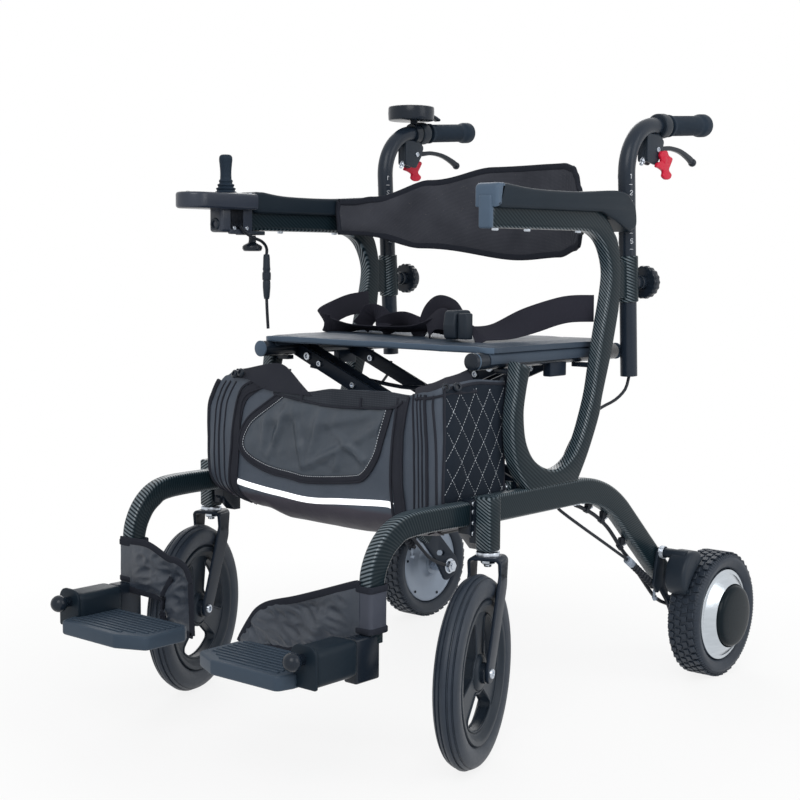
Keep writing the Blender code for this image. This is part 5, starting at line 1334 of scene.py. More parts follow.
def spoke_window(index):
    """The rounded window after one spoke, drawn in the wheel's plane."""
    pitch = 360.0 / SPOKE_COUNT
    middle = pitch * index + SPOKE_TURN
    outer = arc((0, 0), 0.0765, middle + 0.37 * pitch, middle - 0.37 * pitch, 14)
    inner = arc((0, 0), 0.0270, middle - 0.26 * pitch, middle + 0.26 * pitch, 6)
    corners = [(*outer[0], 0.008)] + outer[1:-1] + [(*outer[-1], 0.008)]
    corners += [(*inner[0], 0.007)] + inner[1:-1] + [(*inner[-1], 0.007)]
    return rounded(corners, steps=6)


def front_rim():
    """A deep rim, spokes between rounded windows, and a raised lip round each window."""
    profile = [(0.0790, 0.0082), (0.0840, 0.0098), (0.0868, 0.0138), (0.0890, 0.0152), (0.0935, 0.0152),
               (FRONT_RIM_RADIUS, 0.0130)]
    ring = turned(both_sides(profile), wheel_frame(0, 0, 0), 120, closed=True)
    windows = [spoke_window(index) for index in range(SPOKE_COUNT)]
    bore = arc((0, 0), 0.0130, 360, 0, 40)[:-1]
    spokes = outline([arc((0, 0), 0.0815, 0, 360, 96)[:-1], *windows, bore], 0.0150, 0.0, SIDE_VIEW)
    boss = turned([(0.0130, 0.0125), (0.0190, 0.0125), (0.0225, 0.0105), (0.0245, 0.0070),
                   (0.0245, -0.0070), (0.0225, -0.0105), (0.0190, -0.0125),
                   (0.0130, -0.0125)], wheel_frame(0, 0, 0), 64,
                   closed=True)
    lips = []
    for window in windows:
        for x in (-0.0074, 0.0074):
            line = [(x, y, z) for y, z in window + window[:2]]
            lips.append(tube(line, 0.0017, 10))
    return joined([ring, spokes, boss] + lips)


# Footrests


def hanger_plane():
    start = Vector((HANGER_TOP_X, HANGER_REAR_Y))
    turn = math.atan2(HANGER_TOP_X - HANGER_FOOT_X, start.y - HANGER_FOOT_Y)
    return Matrix.Translation((start.x, start.y, 0)) @ Matrix.Rotation(-turn, 4, "Z")


def make_hangers():
    rear_y = HANGER_REAR_Y
    rear_edge = HANGER_FOOT_Y + HANGER_DEPTH / 2
    front_edge = HANGER_FOOT_Y - HANGER_DEPTH / 2
    outer = smooth([(rear_y, 0.3405), (-0.2550, 0.3390), (-0.2970, 0.3330), (-0.3250, 0.3175),
                    (-0.3445, 0.2910), (-0.3525, 0.2580), (front_edge, 0.1820)], 8)
    inner = smooth([(rear_y, 0.3080), (-0.2650, 0.3100), (-0.2930, 0.3010), (-0.3130, 0.2830),
                    (-0.3255, 0.2500), (rear_edge, 0.1820)], 8)
    local_outer = [(y - rear_y, z) for y, z in outer]
    local_inner = [(y - rear_y, z) for y, z in inner]
    body = between(local_inner, local_outer, HANGER_WIDTH / 2, 0.0055, count=64, slant=-0.35)
    body.transform(hanger_plane())
    place_pair("hanger_tube", body, "carbon", "footrest", ["hanger"])
    stem = [block((HANGER_FOOT_X - HANGER_WIDTH / 2, HANGER_FOOT_X + HANGER_WIDTH / 2),
                  (BARREL_REAR_Y + 0.0003, -0.3345), (0.137, 0.194),
                  0.003),
            rod((BARREL_X, -0.3535, 0.172), (BARREL_X, BARREL_REAR_Y - 0.016, 0.172), 0.006)]
    place_pair("hanger_stem", stem, "gloss", "footrest")


def make_footplates():
    middle = PLATE_TOP_Z - PLATE_THICKNESS / 2
    barrel_inner_x = BARREL_X - BARREL_WIDTH / 2
    loop = rounded([(0.095, PLATE_FRONT_Y, 0.010), (0.210, PLATE_FRONT_Y + 0.001, 0.010),
                    (barrel_inner_x + 0.012, BARREL_FRONT_Y - 0.004, 0.004),
                    (barrel_inner_x + 0.012, PLATE_REAR_Y, 0.004), (0.062, PLATE_REAR_Y, 0.012),
                    (0.051, PLATE_REAR_Y - 0.012, 0.008),
                    (0.051, PLATE_FRONT_Y + 0.020, 0.010)], steps=6)
    pieces = [outline([loop], PLATE_THICKNESS, 0.0035, shift(z=middle) @ PLAN_VIEW, 3)]
    pitch = (PLATE_REAR_Y - PLATE_FRONT_Y - 0.026) / (RIB_COUNT - 1)
    for index in range(RIB_COUNT):
        y = PLATE_FRONT_Y + 0.015 + index * pitch
        first_x = 0.062 + max(0.0, 0.034 - index * 0.016)
        pieces.append(block((first_x, 0.200), (y - 0.0022, y + 0.0022),
                            (PLATE_TOP_Z - 0.001, PLATE_TOP_Z + 0.0017),
                            0.0009, 2))
    place_pair("plate_top", pieces, "deck", "plate", ["footplate"])
    barrel = block((barrel_inner_x, barrel_inner_x + BARREL_WIDTH), (BARREL_FRONT_Y, BARREL_REAR_Y),
                   (0.1485, 0.196), 0.0095, 4)
    flange = outline([rounded([(BARREL_X - 0.020, 0.201, 0.014), (BARREL_X - 0.020, 0.1475, 0.003),
                               (BARREL_X + 0.0225, 0.1475, 0.003), (BARREL_X + 0.0225, 0.201, 0.014)],
                               steps=8)],
                     0.004, 0.001, shift(y=BARREL_FRONT_Y + 0.001) @ FRONT_VIEW)
    place_pair("barrel", [barrel, flange], "pad", "plate")


def make_ball_knobs():
    knob = [(0.0, -BALL_RADIUS)]
    for step in range(1, 16):
        angle = math.radians(-90.0 + step * 9.2)
        knob.append((BALL_RADIUS * math.cos(angle), BALL_RADIUS * math.sin(angle)))
    boot_end = BARREL_FRONT_Y - 0.0013 - BALL[1]
    for index in range(4):
        height = 0.0098 + index * 0.0022
        knob += [(0.0072, height), (0.0072, height + 0.0010), (0.0054, height + 0.0013),
                 (0.0054, height + 0.0020)]
    knob += [(0.0070, boot_end), (0.0048, boot_end), (0.0048, boot_end + 0.010), (0.0, boot_end + 0.010)]
    place = shift(*BALL) @ Matrix.Rotation(math.radians(-90.0), 4, "X")
    place_pair("ball_knob", turned(knob, place, 40), "gloss", "plunger", ["plunger_knob"])


HEEL_TOPS = {
    LEFT: [(0.2260, 0.2570), (0.2178, 0.2565), (0.1605, 0.2370), (0.1119, 0.2210), (0.0668, 0.2080),
           (0.0440, 0.1960), (0.0306, 0.1815), (0.0151, 0.1600), (0.0080, 0.1480)],
    RIGHT: [(0.2400, 0.2555), (0.2178, 0.2555), (0.1790, 0.2550), (0.1375, 0.2415), (0.1210, 0.2405),
            (0.1006, 0.2325), (0.0900, 0.2120)],
}
HEEL_LOWS = {
    LEFT: [(0.2260, 0.1900), (0.2178, 0.1830), (0.1600, 0.1640), (0.1000, 0.1530), (0.0450, 0.1460),
           (0.0080, 0.1420)],
    RIGHT: [(0.2400, 0.1860), (0.2178, 0.1845), (0.1800, 0.1835), (0.1510, 0.1810), (0.1400, 0.1700),
            (0.1340, 0.1450), (0.0870, 0.1390)],
}


def heel_panel_depth(x, z):
    """How far the heel strap's cloth stands in front of its plane: folds that run down from the wrap."""
    t = clamp((0.2150 - x) / 0.1850)
    fold = 0.0042 * math.sin(9.0 * t + 34.0 * (z - 0.200)) * math.sin(math.pi * t)
    ripple = 0.0060 * noise.noise(Vector((x * 26.0, 3.0, z * 34.0)))
    crumple = 0.0026 * (1.0 - 2.0 * abs(noise.noise(Vector((x * 46.0 + z * 30.0, 8.0, z * 58.0)))))
    return (fold + ripple + crumple) * min(1.0, t * 5.0)


def heel_point(x, z, across, along):
    """A point of the cloth, whose folds fade towards its bound edges.

    Those are where across is 0 or 1, or along is 1.
    """
    front_face = HANGER_FOOT_Y - HANGER_DEPTH / 2 - 0.0022
    fade = min(1.0, 5.0 * min(across, 1.0 - across), 8.0 * (1.0 - along))
    return (x, front_face - heel_panel_depth(x, z) * fade, z)


def heel_cloth_meshes(side):
    """One strap's cloth, its bound edges and the sheet it was made from, drawn on the left."""
    columns = 120
    rows = 48
    uppers = resampled(smooth(HEEL_TOPS[side], 10), columns)
    lowers = resampled(smooth(HEEL_LOWS[side], 10), columns)
    surface = []
    for row in range(rows):
        line = []
        for column, (upper, lower) in enumerate(zip(uppers, lowers)):
            x, z = upper.lerp(lower, row / (rows - 1))
            line.append(heel_point(x, z, row / (rows - 1), column / (columns - 1)))
        surface.append(line)
    front = grid(surface)
    bound = [surface[0], surface[-1], [row[-1] for row in surface]]
    if side == RIGHT:
        bound.append([(x, heel_point(x, z, 0.5, 0.5)[1] - 0.0016, z)
                      for x, z in smooth([(0.1340, 0.2140), (0.1420, 0.1900), (0.1390, 0.1570),
                                          (0.1350, 0.1440)], 8)])
    edges = [sweep(resampled(line, 60), section(0.0048, 0.0016, 0.0012, 2), (0, 0, 1)) for line in bound]
    return front, thickened(front, 0.0015), joined(edges)


def make_heel_straps():
    half_x = HANGER_WIDTH / 2 + 0.0012
    half_y = HANGER_DEPTH / 2 + 0.0012
    low_x, high_x = HANGER_FOOT_X - half_x, HANGER_FOOT_X + half_x
    low_y, high_y = HANGER_FOOT_Y - half_y, HANGER_FOOT_Y + half_y + 0.0022
    loop = rounded([(low_x, low_y, 0.005), (high_x, low_y, 0.005), (high_x, high_y, 0.005),
                    (low_x, high_y, 0.005)], steps=6)
    rings = []
    for step in range(28):
        z = 0.1955 + (0.2550 - 0.1955) * step / 27
        ring = []
        for x, y in loop + loop[:1]:
            swell = 0.0009 + 0.0007 * noise.noise(Vector((x * 50, y * 50, z * 45)))
            away = Vector((x - HANGER_FOOT_X, y - HANGER_FOOT_Y)).normalized() * swell
            ring.append((x + away.x, y + away.y, z))
        rings.append(ring)
    wrap = place_pair("heel_wrap", thickened(grid(rings), 0.0010), "wrap", "footrest",
                      sharp=math.radians(80.0))
    bands = []
    for low_z, high_z in ((0.1950, 0.2025), (0.2475, 0.2555)):
        rows = []
        for z in (low_z, low_z + 0.0010, high_z - 0.0010, high_z):
            reach = 0.0021 if low_z < z < high_z else 0.0013
            rows.append([(x + (x - HANGER_FOOT_X) / half_x * reach,
                          y + (y - HANGER_FOOT_Y) / half_y * reach, z)
                         for x, y in loop + loop[:1]])
        bands.append(thickened(grid(rows), 0.0010))
    wrap_edges = place_pair("heel_wrap_binding", bands, "binding", "footrest")
    for side in (LEFT, RIGHT):
        label = SIDE_NAMES[side]
        front, panel, edges = heel_cloth_meshes(side)
        if side == RIGHT:
            panel = mirrored(panel)
            edges = mirrored(edges)
        cloth = place_piece(label + "heel_cloth", panel, "heel", label + "footrest", [label + "heel_strap"],
                            sharp=math.radians(80.0))
        bound = place_piece(label + "heel_binding", edges, "binding", label + "footrest")
        for piece in (cloth, bound):
            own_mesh(piece)


def thickened(mesh, thickness):
    """A sheet given a thickness, half to each side."""
    item = bpy.data.objects.new("sheet", mesh)
    step = item.modifiers.new("Thickness", "SOLIDIFY")
    step.thickness = thickness
    step.offset = 0.0
    bpy.context.scene.collection.objects.link(item)
    bpy.context.view_layer.update()
    result = bpy.data.meshes.new_from_object(item.evaluated_get(bpy.context.evaluated_depsgraph_get()))
    bpy.data.objects.remove(item, do_unlink=True)
    return result


# Scissor


def scissor_bar(y, start, end):
    """A flat bar between two points of the XZ plane, round at both ends."""
    start = Vector(start)
    end = Vector(end)
    run = (end - start).normalized()
    turn = math.degrees(math.atan2(run.y, run.x))
    loop = arc(start, BAR_WIDTH / 2, turn + 90, turn + 270, 12) + arc(end, BAR_WIDTH / 2, turn - 90,
            turn + 90, 12)
    return outline([loop], BAR_THICKNESS, 0.0009, shift(y=y) @ FRONT_VIEW)


def cross_bar_meshes(bar_shift):
    """The black pieces of the scissor half from the left lower tube to the right rail."""
    front = SCISSOR_FRONT_Y - 0.0095
    rear = SCISSOR_FRONT_Y + SCISSOR_SPACING + 0.0115
    pivot = LOWER_PIVOT
    rail_end = (-RAIL_X, RAIL_Z)
    shapes = [rod((pivot[0], front, pivot[1]), (pivot[0], rear, pivot[1]), TUBE_RADIUS, edge=0.0008)]
    for y in (SCISSOR_FRONT_Y + bar_shift, SCISSOR_FRONT_Y + SCISSOR_SPACING + bar_shift):
        shapes.append(scissor_bar(y, pivot, rail_end))
    down = (Vector(pivot) - Vector(rail_end)).normalized()
    half_y = HALF_BAR_Y + bar_shift
    shapes.append(scissor_bar(half_y, Vector((0, CROSSING_Z)) + down * BAR_WIDTH * 0.2, rail_end))
    shapes.append(block((-RAIL_X - 0.007, -RAIL_X + 0.007), (0.067, 0.108),
                        (RAIL_Z - 0.030, RAIL_Z - 0.008), 0.002))
    brace_points = [(-RAIL_X + 0.020, SCISSOR_FRONT_Y + 0.016, RAIL_Z - 0.030),
                    (-0.060, 0.055, RAIL_Z - 0.060), (-0.020, 0.088, CROSSING_Z + 0.030)]
    shapes.append(tube(smooth(brace_points, 6), 0.0032, 12))
    return shapes


def rail_meshes():
    """The right seat rail's tube, and its end caps."""
    tube_part = rod((-RAIL_X, RAIL_FRONT_Y + 0.002, RAIL_Z), (-RAIL_X, RAIL_REAR_Y - 0.002, RAIL_Z),
                    RAIL_RADIUS, edge=0.0006, sides=40)
    caps = [rod((-RAIL_X, RAIL_FRONT_Y, RAIL_Z), (-RAIL_X, RAIL_FRONT_Y + 0.003, RAIL_Z),
                RAIL_RADIUS + 0.0004, edge=0.0008, sides=40),
            rod((-RAIL_X, RAIL_REAR_Y - 0.003, RAIL_Z), (-RAIL_X, RAIL_REAR_Y, RAIL_Z),
                RAIL_RADIUS + 0.0004, edge=0.0008, sides=40)]
    return tube_part, caps


def scissor_bolts(bar_shift):
    """Bolt heads along one half: on the front bar at the rail, at the crossing and on the lower tube."""
    face = SCISSOR_FRONT_Y + bar_shift - BAR_THICKNESS / 2
    run = Vector(LOWER_PIVOT) - Vector((-RAIL_X, RAIL_Z))
    heads = []
    for t, radius in ((0.075, 0.0062), (0.135, 0.0046), (0.30, 0.0046), (0.40, 0.0054), (0.93, 0.0046)):
        x, z = Vector((-RAIL_X, RAIL_Z)) + run * t
        heads.append(socket_bolt((x, face, z), (0, -1, 0), radius, 0.0034))
    rear_face = HALF_BAR_Y + bar_shift - BAR_THICKNESS / 2
    for t in (0.12, 0.42):
        x, z = Vector((-RAIL_X, RAIL_Z)) + run * t
        heads.append(socket_bolt((x, rear_face, z), (0, -1, 0), 0.0052, 0.0034))
    return heads


def on_side(mesh, side):
    """A mesh drawn on the right, or its mirror image on the left."""
    return mesh if side == RIGHT else mirrored(mesh)


def make_scissor():
    bar_shift = BAR_THICKNESS + 0.0003
    tube_part, caps = rail_meshes()
    for side, body, shift_y, node in ((RIGHT, "scissor_right", 0.0, "right_cross_bar"),
                                      (LEFT, "scissor_left", bar_shift, "left_cross_bar")):
        label = SIDE_NAMES[side]
        place_piece(label + "scissor_bars", on_side(joined(cross_bar_meshes(shift_y)), side), "fork", body,
                    [node])
        place_piece(label + "rail", on_side(tube_part, side), "gloss", body)
        place_piece(label + "rail_caps", on_side(joined(caps), side), "slate", body)
        place_piece(label + "scissor_bolts", on_side(joined(scissor_bolts(shift_y)), side), "bolt", body)
    front_face = SCISSOR_FRONT_Y - BAR_THICKNESS / 2
    centre = [hexagon((0, front_face - 0.0002, CROSSING_Z), (0, -1, 0), 0.0075, 0.0046),
              rod((0, front_face, CROSSING_Z), (0, HALF_BAR_Y, CROSSING_Z), 0.0040),
              rod((0, SCISSOR_FRONT_Y + SCISSOR_SPACING + BAR_THICKNESS + 0.004, CROSSING_Z),
                  (0, HALF_BAR_Y - BAR_THICKNESS / 2 - 0.0003, CROSSING_Z), 0.0080, edge=0.0008)]
    place_piece("scissor_centre_bolt", joined(centre), "bolt", "scissor_left")
    for index, (x, drop) in enumerate(((0.070, 0.105), (0.086, 0.085))):
        wire = [(x - 0.010, 0.110, SEAT_TOP_Z - 0.022), (x, 0.108, SEAT_TOP_Z - 0.060),
                (x + 0.006, 0.100, SEAT_TOP_Z - drop)]
        place_piece("seat_wire_%d" % index, tube(smooth(wire, 8), 0.0011, 8), "cable", "scissor_left")


# Seat

CUSHION_FRONT_Y = -0.0890
CUSHION_CORNER = 0.0180


def seat_height(x, y):
    """The seat's sag between its rails, with soft puckers beside the seams."""
    across = x / SEAT_HALF_WIDTH
    along_seat = (y - SEAT_FRONT_Y) / (SEAT_REAR_Y - SEAT_FRONT_Y)
    crown = 0.0012 * math.sin(math.pi * min(1.0, max(0.0, along_seat)))
    pucker = 0.0016 * noise.noise(Vector((x * 16.0, y * 20.0, 4.0)))
    channel = -0.0010 * math.exp(-((abs(across) - 0.62) / 0.018) ** 2)
    return crown + pucker * (1.0 - abs(across) ** 4) + channel


def cushion_front(x):
    """The cushion's front edge, with rounded corners over the rails."""
    past = max(0.0, abs(x) - (SEAT_HALF_WIDTH - CUSHION_CORNER))
    return CUSHION_FRONT_Y + CUSHION_CORNER - math.sqrt(CUSHION_CORNER ** 2 - past ** 2)


SLEEVE_START = 20
SLEEVE_END = 200


def make_seat():
    """A padded panel between the rails."""
    columns = 110
    rows = 70
    top = []
    for row in range(rows):
        t = row / (rows - 1)
        edge_drop = 0.0040 * (1.0 - min(1.0, min(row, rows - 1 - row) / 3.0)) ** 2
        line = []
        for column in range(columns):
            x = -SEAT_HALF_WIDTH + 2 * SEAT_HALF_WIDTH * column / (columns - 1)
            across = abs(x) / SEAT_HALF_WIDTH
            y = cushion_front(x) + (SEAT_REAR_Y - cushion_front(x)) * t
            base = SEAT_TOP_Z - 0.0015 - 0.0300 * max(0.0, across - 0.90)
            line.append((x, y, base + seat_height(x, y) - edge_drop))
        top.append(line)
    under = [[(x, y, RAIL_Z + RAIL_RADIUS - 0.0015 + 0.3 * seat_height(x, y)) for x, y,
              _ in line] for line in top]
    cushion = joined([grid(top), grid([line[::-1] for line in under])])
    rims = []
    for index in (0, rows - 1):
        rims.append(grid([under[index], top[index]] if index else [top[index], under[index]]))
    for column in (0, columns - 1):
        upper = [line[column] for line in top]
        lower = [line[column] for line in under]
        rims.append(grid([upper, lower] if column else [lower, upper]))
    shape = evaluated_mesh(bpy.data.objects.new("cushion", joined([cushion] + rims)))
    seat = place_piece("seat_cushion", shape, "seat", None, ["seat"], sharp=CLOTH_ANGLE)
    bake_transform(seat)


def make_seat_hem():
    """Bound edges along the cushion's front and rear."""
    half = SEAT_HALF_WIDTH - 0.001
    trims = []
    for front in (True, False):
        line = []
        for step in range(81):
            x = -half + 2 * half * step / 80
            y = cushion_front(x) + 0.0010 if front else SEAT_REAR_Y - 0.0010
            side_drop = 0.0160 * max(0.0, abs(x) / SEAT_HALF_WIDTH - 0.9)
            line.append((x, y, SEAT_TOP_Z - 0.0066 - side_drop + 0.6 * seat_height(x, SEAT_REAR_Y)))
        trims.append(sweep(line, section(0.0042, 0.0020, 0.0014, 3), (0, 0, 1)))
    hem = place_piece("seat_hem", joined(trims), "slate", None, sharp=CLOTH_ANGLE)
    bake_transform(hem)


def make_seat_sleeves():
    """The cloth that wraps over each rail."""
    first_y = CUSHION_FRONT_Y + 0.006
    last_y = SEAT_REAR_Y - 0.001
    wrap = arc((0, 0), RAIL_RADIUS + 0.0009, SLEEVE_START, SLEEVE_END, 16)
    rows = []
    for step in range(41):
        y = first_y + (last_y - first_y) * step / 40
        rows.append([(-RAIL_X + u, y, RAIL_Z + v) for u, v in wrap])
    sleeve = thickened(grid(rows), 0.0012)
    for side, body in ((RIGHT, "scissor_right"), (LEFT, "scissor_left")):
        mesh = joined([sleeve])
        place_piece(SIDE_NAMES[side] + "seat_sleeve", on_side(mesh, side), "seat", body,
                    sharp=CLOTH_ANGLE)


# Bag

BAG_HALF_WIDTH = 0.226
BAG_FRONT_Y = -0.200
BAG_REAR_Y = -0.048
BAG_HIGH_Z = 0.504
BAG_CORNER = 0.014


def clamp(value, low=0.0, high=1.0):
    return min(high, max(low, value))


def ease(value, low, high):
    t = clamp((value - low) / (high - low))
    return t * t * (3 - 2 * t)


def curve_value(value, points):
    """A smoothed reading of a line of (place, amount) points."""
    for (x0, y0), (x1, y1) in zip(points, points[1:]):
        if value <= x1:
            return y0 + (y1 - y0) * ease(value, x0, x1)
    return points[-1][1]


BAG_STRAIGHT = BAG_HALF_WIDTH - BAG_CORNER
BAG_TURN = BAG_CORNER * math.pi / 2
BAG_END = BAG_REAR_Y - BAG_FRONT_Y - 2 * BAG_CORNER
BAG_ROUND = 4 * BAG_STRAIGHT + 2 * BAG_END + 4 * BAG_TURN


def bag_outline(s):
    """The place (x, y) and outward direction at a distance round the bag from its front's middle."""
    sign = 1.0 if s >= 0 else -1.0
    s = abs(s)
    if s <= BAG_STRAIGHT:
        return sign * s, BAG_FRONT_Y, 0.0, -1.0
    s -= BAG_STRAIGHT
    if s <= BAG_TURN:
        angle = s / BAG_CORNER
        return (sign * (BAG_STRAIGHT + BAG_CORNER * math.sin(angle)),
                BAG_FRONT_Y + BAG_CORNER * (1 - math.cos(angle)), sign * math.sin(angle), -math.cos(angle))
    s -= BAG_TURN
    if s <= BAG_END:
        return sign * BAG_HALF_WIDTH, BAG_FRONT_Y + BAG_CORNER + s, sign, 0.0
    s -= BAG_END
    if s <= BAG_TURN:
        angle = s / BAG_CORNER
        return (sign * (BAG_STRAIGHT + BAG_CORNER * math.cos(angle)),
                BAG_REAR_Y - BAG_CORNER * (1 - math.sin(angle)), sign * math.cos(angle), math.sin(angle))
    s -= BAG_TURN
    return sign * (BAG_STRAIGHT - s), BAG_REAR_Y, 0.0, 1.0


def bag_low(x):
    """The bottom's height: it hangs lowest in the middle."""
    return curve_value(x, [(-0.226, 0.312), (-0.180, 0.3015), (-0.120, 0.2935), (-0.060, 0.2830),
                           (0.060, 0.2815), (0.150, 0.2860), (0.226, 0.2930)])


def bag_top(s):
    """The rim's height round the bag."""
    return curve_value(s, [(-0.5920, 0.4520), (-0.4420, 0.4520), (-0.3600, 0.4900), (-0.3000, 0.4790),
                           (-0.2400, 0.4450), (-0.2200, 0.4560), (-0.2000, 0.4750), (-0.1800, 0.4880),
                           (-0.1650, 0.4950), (-0.1300, 0.4920), (-0.0900, 0.4820), (-0.0155, 0.4740),
                           (0.0400, 0.4810), (0.1340, 0.4830), (0.1740, 0.4805), (0.2000, 0.4860),
                           (0.2400, 0.4960), (0.3000, 0.4990), (0.3600, 0.4950), (0.4420, 0.4520),
                           (0.5920, 0.4520)])


def bag_place(s, z, out=0.0):
    """A point of the bag's skin at a distance round it and a height."""
    x, y, nx, ny = bag_outline(s)
    low = bag_low(x)
    inward = 0.0
    bottom = 0.034
    if z < low + bottom:
        inward += bottom - math.sqrt(max(0.0, bottom ** 2 - (bottom - max(0.0, z - low)) ** 2))
    shoulder, start = (0.060, 0.430) if x < 0 else (0.020, 0.484)
    if z > start:
        up = min(z - start, shoulder * 0.95)
        inward += (shoulder - math.sqrt(shoulder ** 2 - up ** 2)) * nx * nx
    rise = clamp((z - low) / (BAG_HIGH_Z - low))
    front_part = 1.0 - ease(abs(s), 0.120, 0.205)
    belly = 0.0040 * math.sin(math.pi * clamp(rise * 1.05)) ** 0.8 * front_part
    belly += 0.0050 * math.exp(-((z - low - 0.030) / 0.022) ** 2) * front_part
    end_part = ease(abs(s), 0.225, 0.260) * (1.0 - ease(abs(s), 0.33, 0.36))
    belly += 0.0030 * math.sin(math.pi * rise) * end_part
    soft = 0.0030 * noise.noise(Vector((x * 9.0, y * 9.0, z * 12.0))) + 0.0014 * noise.noise(
        Vector((x * 30.0, y * 30.0 + 5.0, z * 30.0)))
    reach = out + belly + soft * (1.0 - ease(z, BAG_HIGH_Z - 0.03, BAG_HIGH_Z)) - inward
    return Vector((x + nx * reach, y + ny * reach, z))


def pocket_depth(x, z):
    """Creases of the thinner cloth inside the stitched pocket, in metres outwards."""
    folds = 0.0
    for cx, cz, turn, width, length, height in (
            (-0.0700, 0.4100, 62, 0.0060, 0.034, 0.0042), (-0.0250, 0.4000, 100, 0.0060, 0.040, 0.0048),
            (0.0080, 0.4180, 70, 0.0075, 0.034, 0.0034), (0.0250, 0.3860, 25, 0.0060, 0.040, 0.0042),
            (0.0800, 0.3980, -32, 0.0070, 0.042, 0.0044), (0.1050, 0.4250, 28, 0.0080, 0.050, 0.0032),
            (0.0600, 0.4400, 12, 0.0090, 0.060, 0.0030), (-0.0500, 0.4400, 15, 0.0100, 0.046, 0.0032),
            (-0.0950, 0.4160, 80, 0.0070, 0.024, 0.0030), (0.0480, 0.3760, 75, 0.0060, 0.020, 0.0030)):
        turn = math.radians(turn)
        along_fold = (x - cx) * math.cos(turn) + (z - cz) * math.sin(turn)
        across_fold = -(x - cx) * math.sin(turn) + (z - cz) * math.cos(turn)
        folds += height * math.exp(-(across_fold / width) ** 2 - (along_fold / length) ** 2)
    small = 0.0016 * noise.noise(Vector((x * 55.0, 2.0, z * 55.0)))
    return 1.35 * folds + small


def bag_patch(s_range, low, high, out, columns=40, rows=40, thickness=0.0012, extra=None):
    """A panel on the bag's skin between two heights, each a number or a function of s."""
    lines = []
    for row in range(rows + 1):
        line = []
        for column in range(columns + 1):
            s = s_range[0] + (s_range[1] - s_range[0]) * column / columns
            z_low = low(s) if callable(low) else low
            z_high = high(s) if callable(high) else high
            z = z_low + (z_high - z_low) * row / rows
            line.append(bag_place(s, z, out + (extra(s, z) if extra else 0.0)))
        lines.append(line)
    return thickened(grid(lines), thickness)


def bag_line(points, out, radius, sides=10, steps=6):
    """A piping cord along (s, z) points of the skin."""
    line = smooth(points, steps)
    return tube([bag_place(s, z, out) for s, z in line], radius, sides)


def bag_band(points, width, out, thickness=0.0016, steps=6):
    """A flat tape along (s, z) points of the skin."""
    flat = smooth(points, steps)
    sides = [offset_path(flat, offset) for offset in (width / 2, width / 4, 0.0, -width / 4, -width / 2)]
    swell = (0.0, 0.0007, 0.0009, 0.0007, 0.0)
    rows = [[bag_place(s, z, out + rise) for s, z in line] for line, rise in zip(sides, swell)]
    return thickened(grid(rows), thickness)


def bag_floor():
    """The skin under the bag, from the bottom edge to the middle."""
    steps = 160
    rings = []
    for shrink in (0.0, 0.15, 0.35, 0.6, 0.85, 0.985):
        ring = []
        for step in range(steps + 1):
            s = -BAG_ROUND / 2 + BAG_ROUND * step / steps
            x, y, _, _ = bag_outline(s)
            place = bag_place(s, bag_low(x) + 0.0002)
            middle = Vector((0.0, (BAG_FRONT_Y + BAG_REAR_Y) / 2, bag_low(0.0)))
            ring.append(place.lerp(Vector((place.x * 0.2, middle.y, bag_low(place.x))), shrink))
        rings.append(ring)
    return grid(rings)


def make_bag_skin():
    ends = BAG_ROUND / 2
    skin_rows = []
    height_steps = 70
    for row in range(height_steps + 1):
        line = []
        for step in range(361):
            s = -ends + 2 * ends * step / 360
            x, _, _, _ = bag_outline(s)
            z = bag_low(x) + 0.0002 + (bag_top(s) - bag_low(x)) * row / height_steps
            line.append(bag_place(s, z))
        skin_rows.append(line)
    skin = thickened(joined([grid(skin_rows), bag_floor()]), 0.0016)
    return place_piece("bag_skin", skin, "nylon", None, ["bag"], sharp=PADDED_ANGLE)


def make_bag_pocket(add):
    """The raised pocket with its piping, cord and stitches."""
    pocket_edge = [(-0.0545, 0.4646), (-0.0920, 0.4414), (-0.1218, 0.4213), (-0.1384, 0.3943),
                   (-0.1285, 0.3770), (-0.0923, 0.3638), (-0.0423, 0.3582), (-0.0058, 0.3559),
                   (0.0725, 0.3642), (0.0952, 0.3715), (0.1138, 0.3958), (0.1240, 0.4249),
                   (0.1330, 0.4560), (0.1360, 0.4640)]
    edge_line = smooth(pocket_edge, 8)
    pocket_rows = []
    left_half = resampled(edge_line, 241)
    upper = [(-0.0545 + (0.1360 + 0.0545) * step / 240,
              0.4646 + (0.4640 - 0.4646) * step / 240 - 0.0050 * math.sin(
        math.pi * step / 240)) for step in range(241)]
    for row in range(61):
        t = row / 60
        line = []
        for (s_low, z_low), (s_high, z_high) in zip(left_half, upper):
            s = s_low + (s_high - s_low) * t
            z = z_low + (z_high - z_low) * t
            depth = pocket_depth(s, z) * ease(t, 0.0, 0.14) * (1.0 - ease(t, 0.92, 1.0))
            line.append(bag_place(s, z, 0.0012 + depth))
        pocket_rows.append(line)
    add("bag_pocket", thickened(grid(pocket_rows), 0.0012), "leather")
    outer_edge = offset_path(edge_line, -0.0062)
    add("bag_pocket_piping", bag_band(outer_edge, 0.0105, 0.0016, steps=1), "trim")
    add("bag_pocket_cord", tube([bag_place(s, z, 0.0030) for s, z in offset_path(edge_line, -0.0105)],
                                0.0016, 10), "trim")
    stitches = dashes([bag_place(s, z, 0.0030) for s, z in offset_path(edge_line, -0.0014)], 0.0027, 0.0012,
                      0.0005)
    add("bag_pocket_stitches", stitches, "thread")


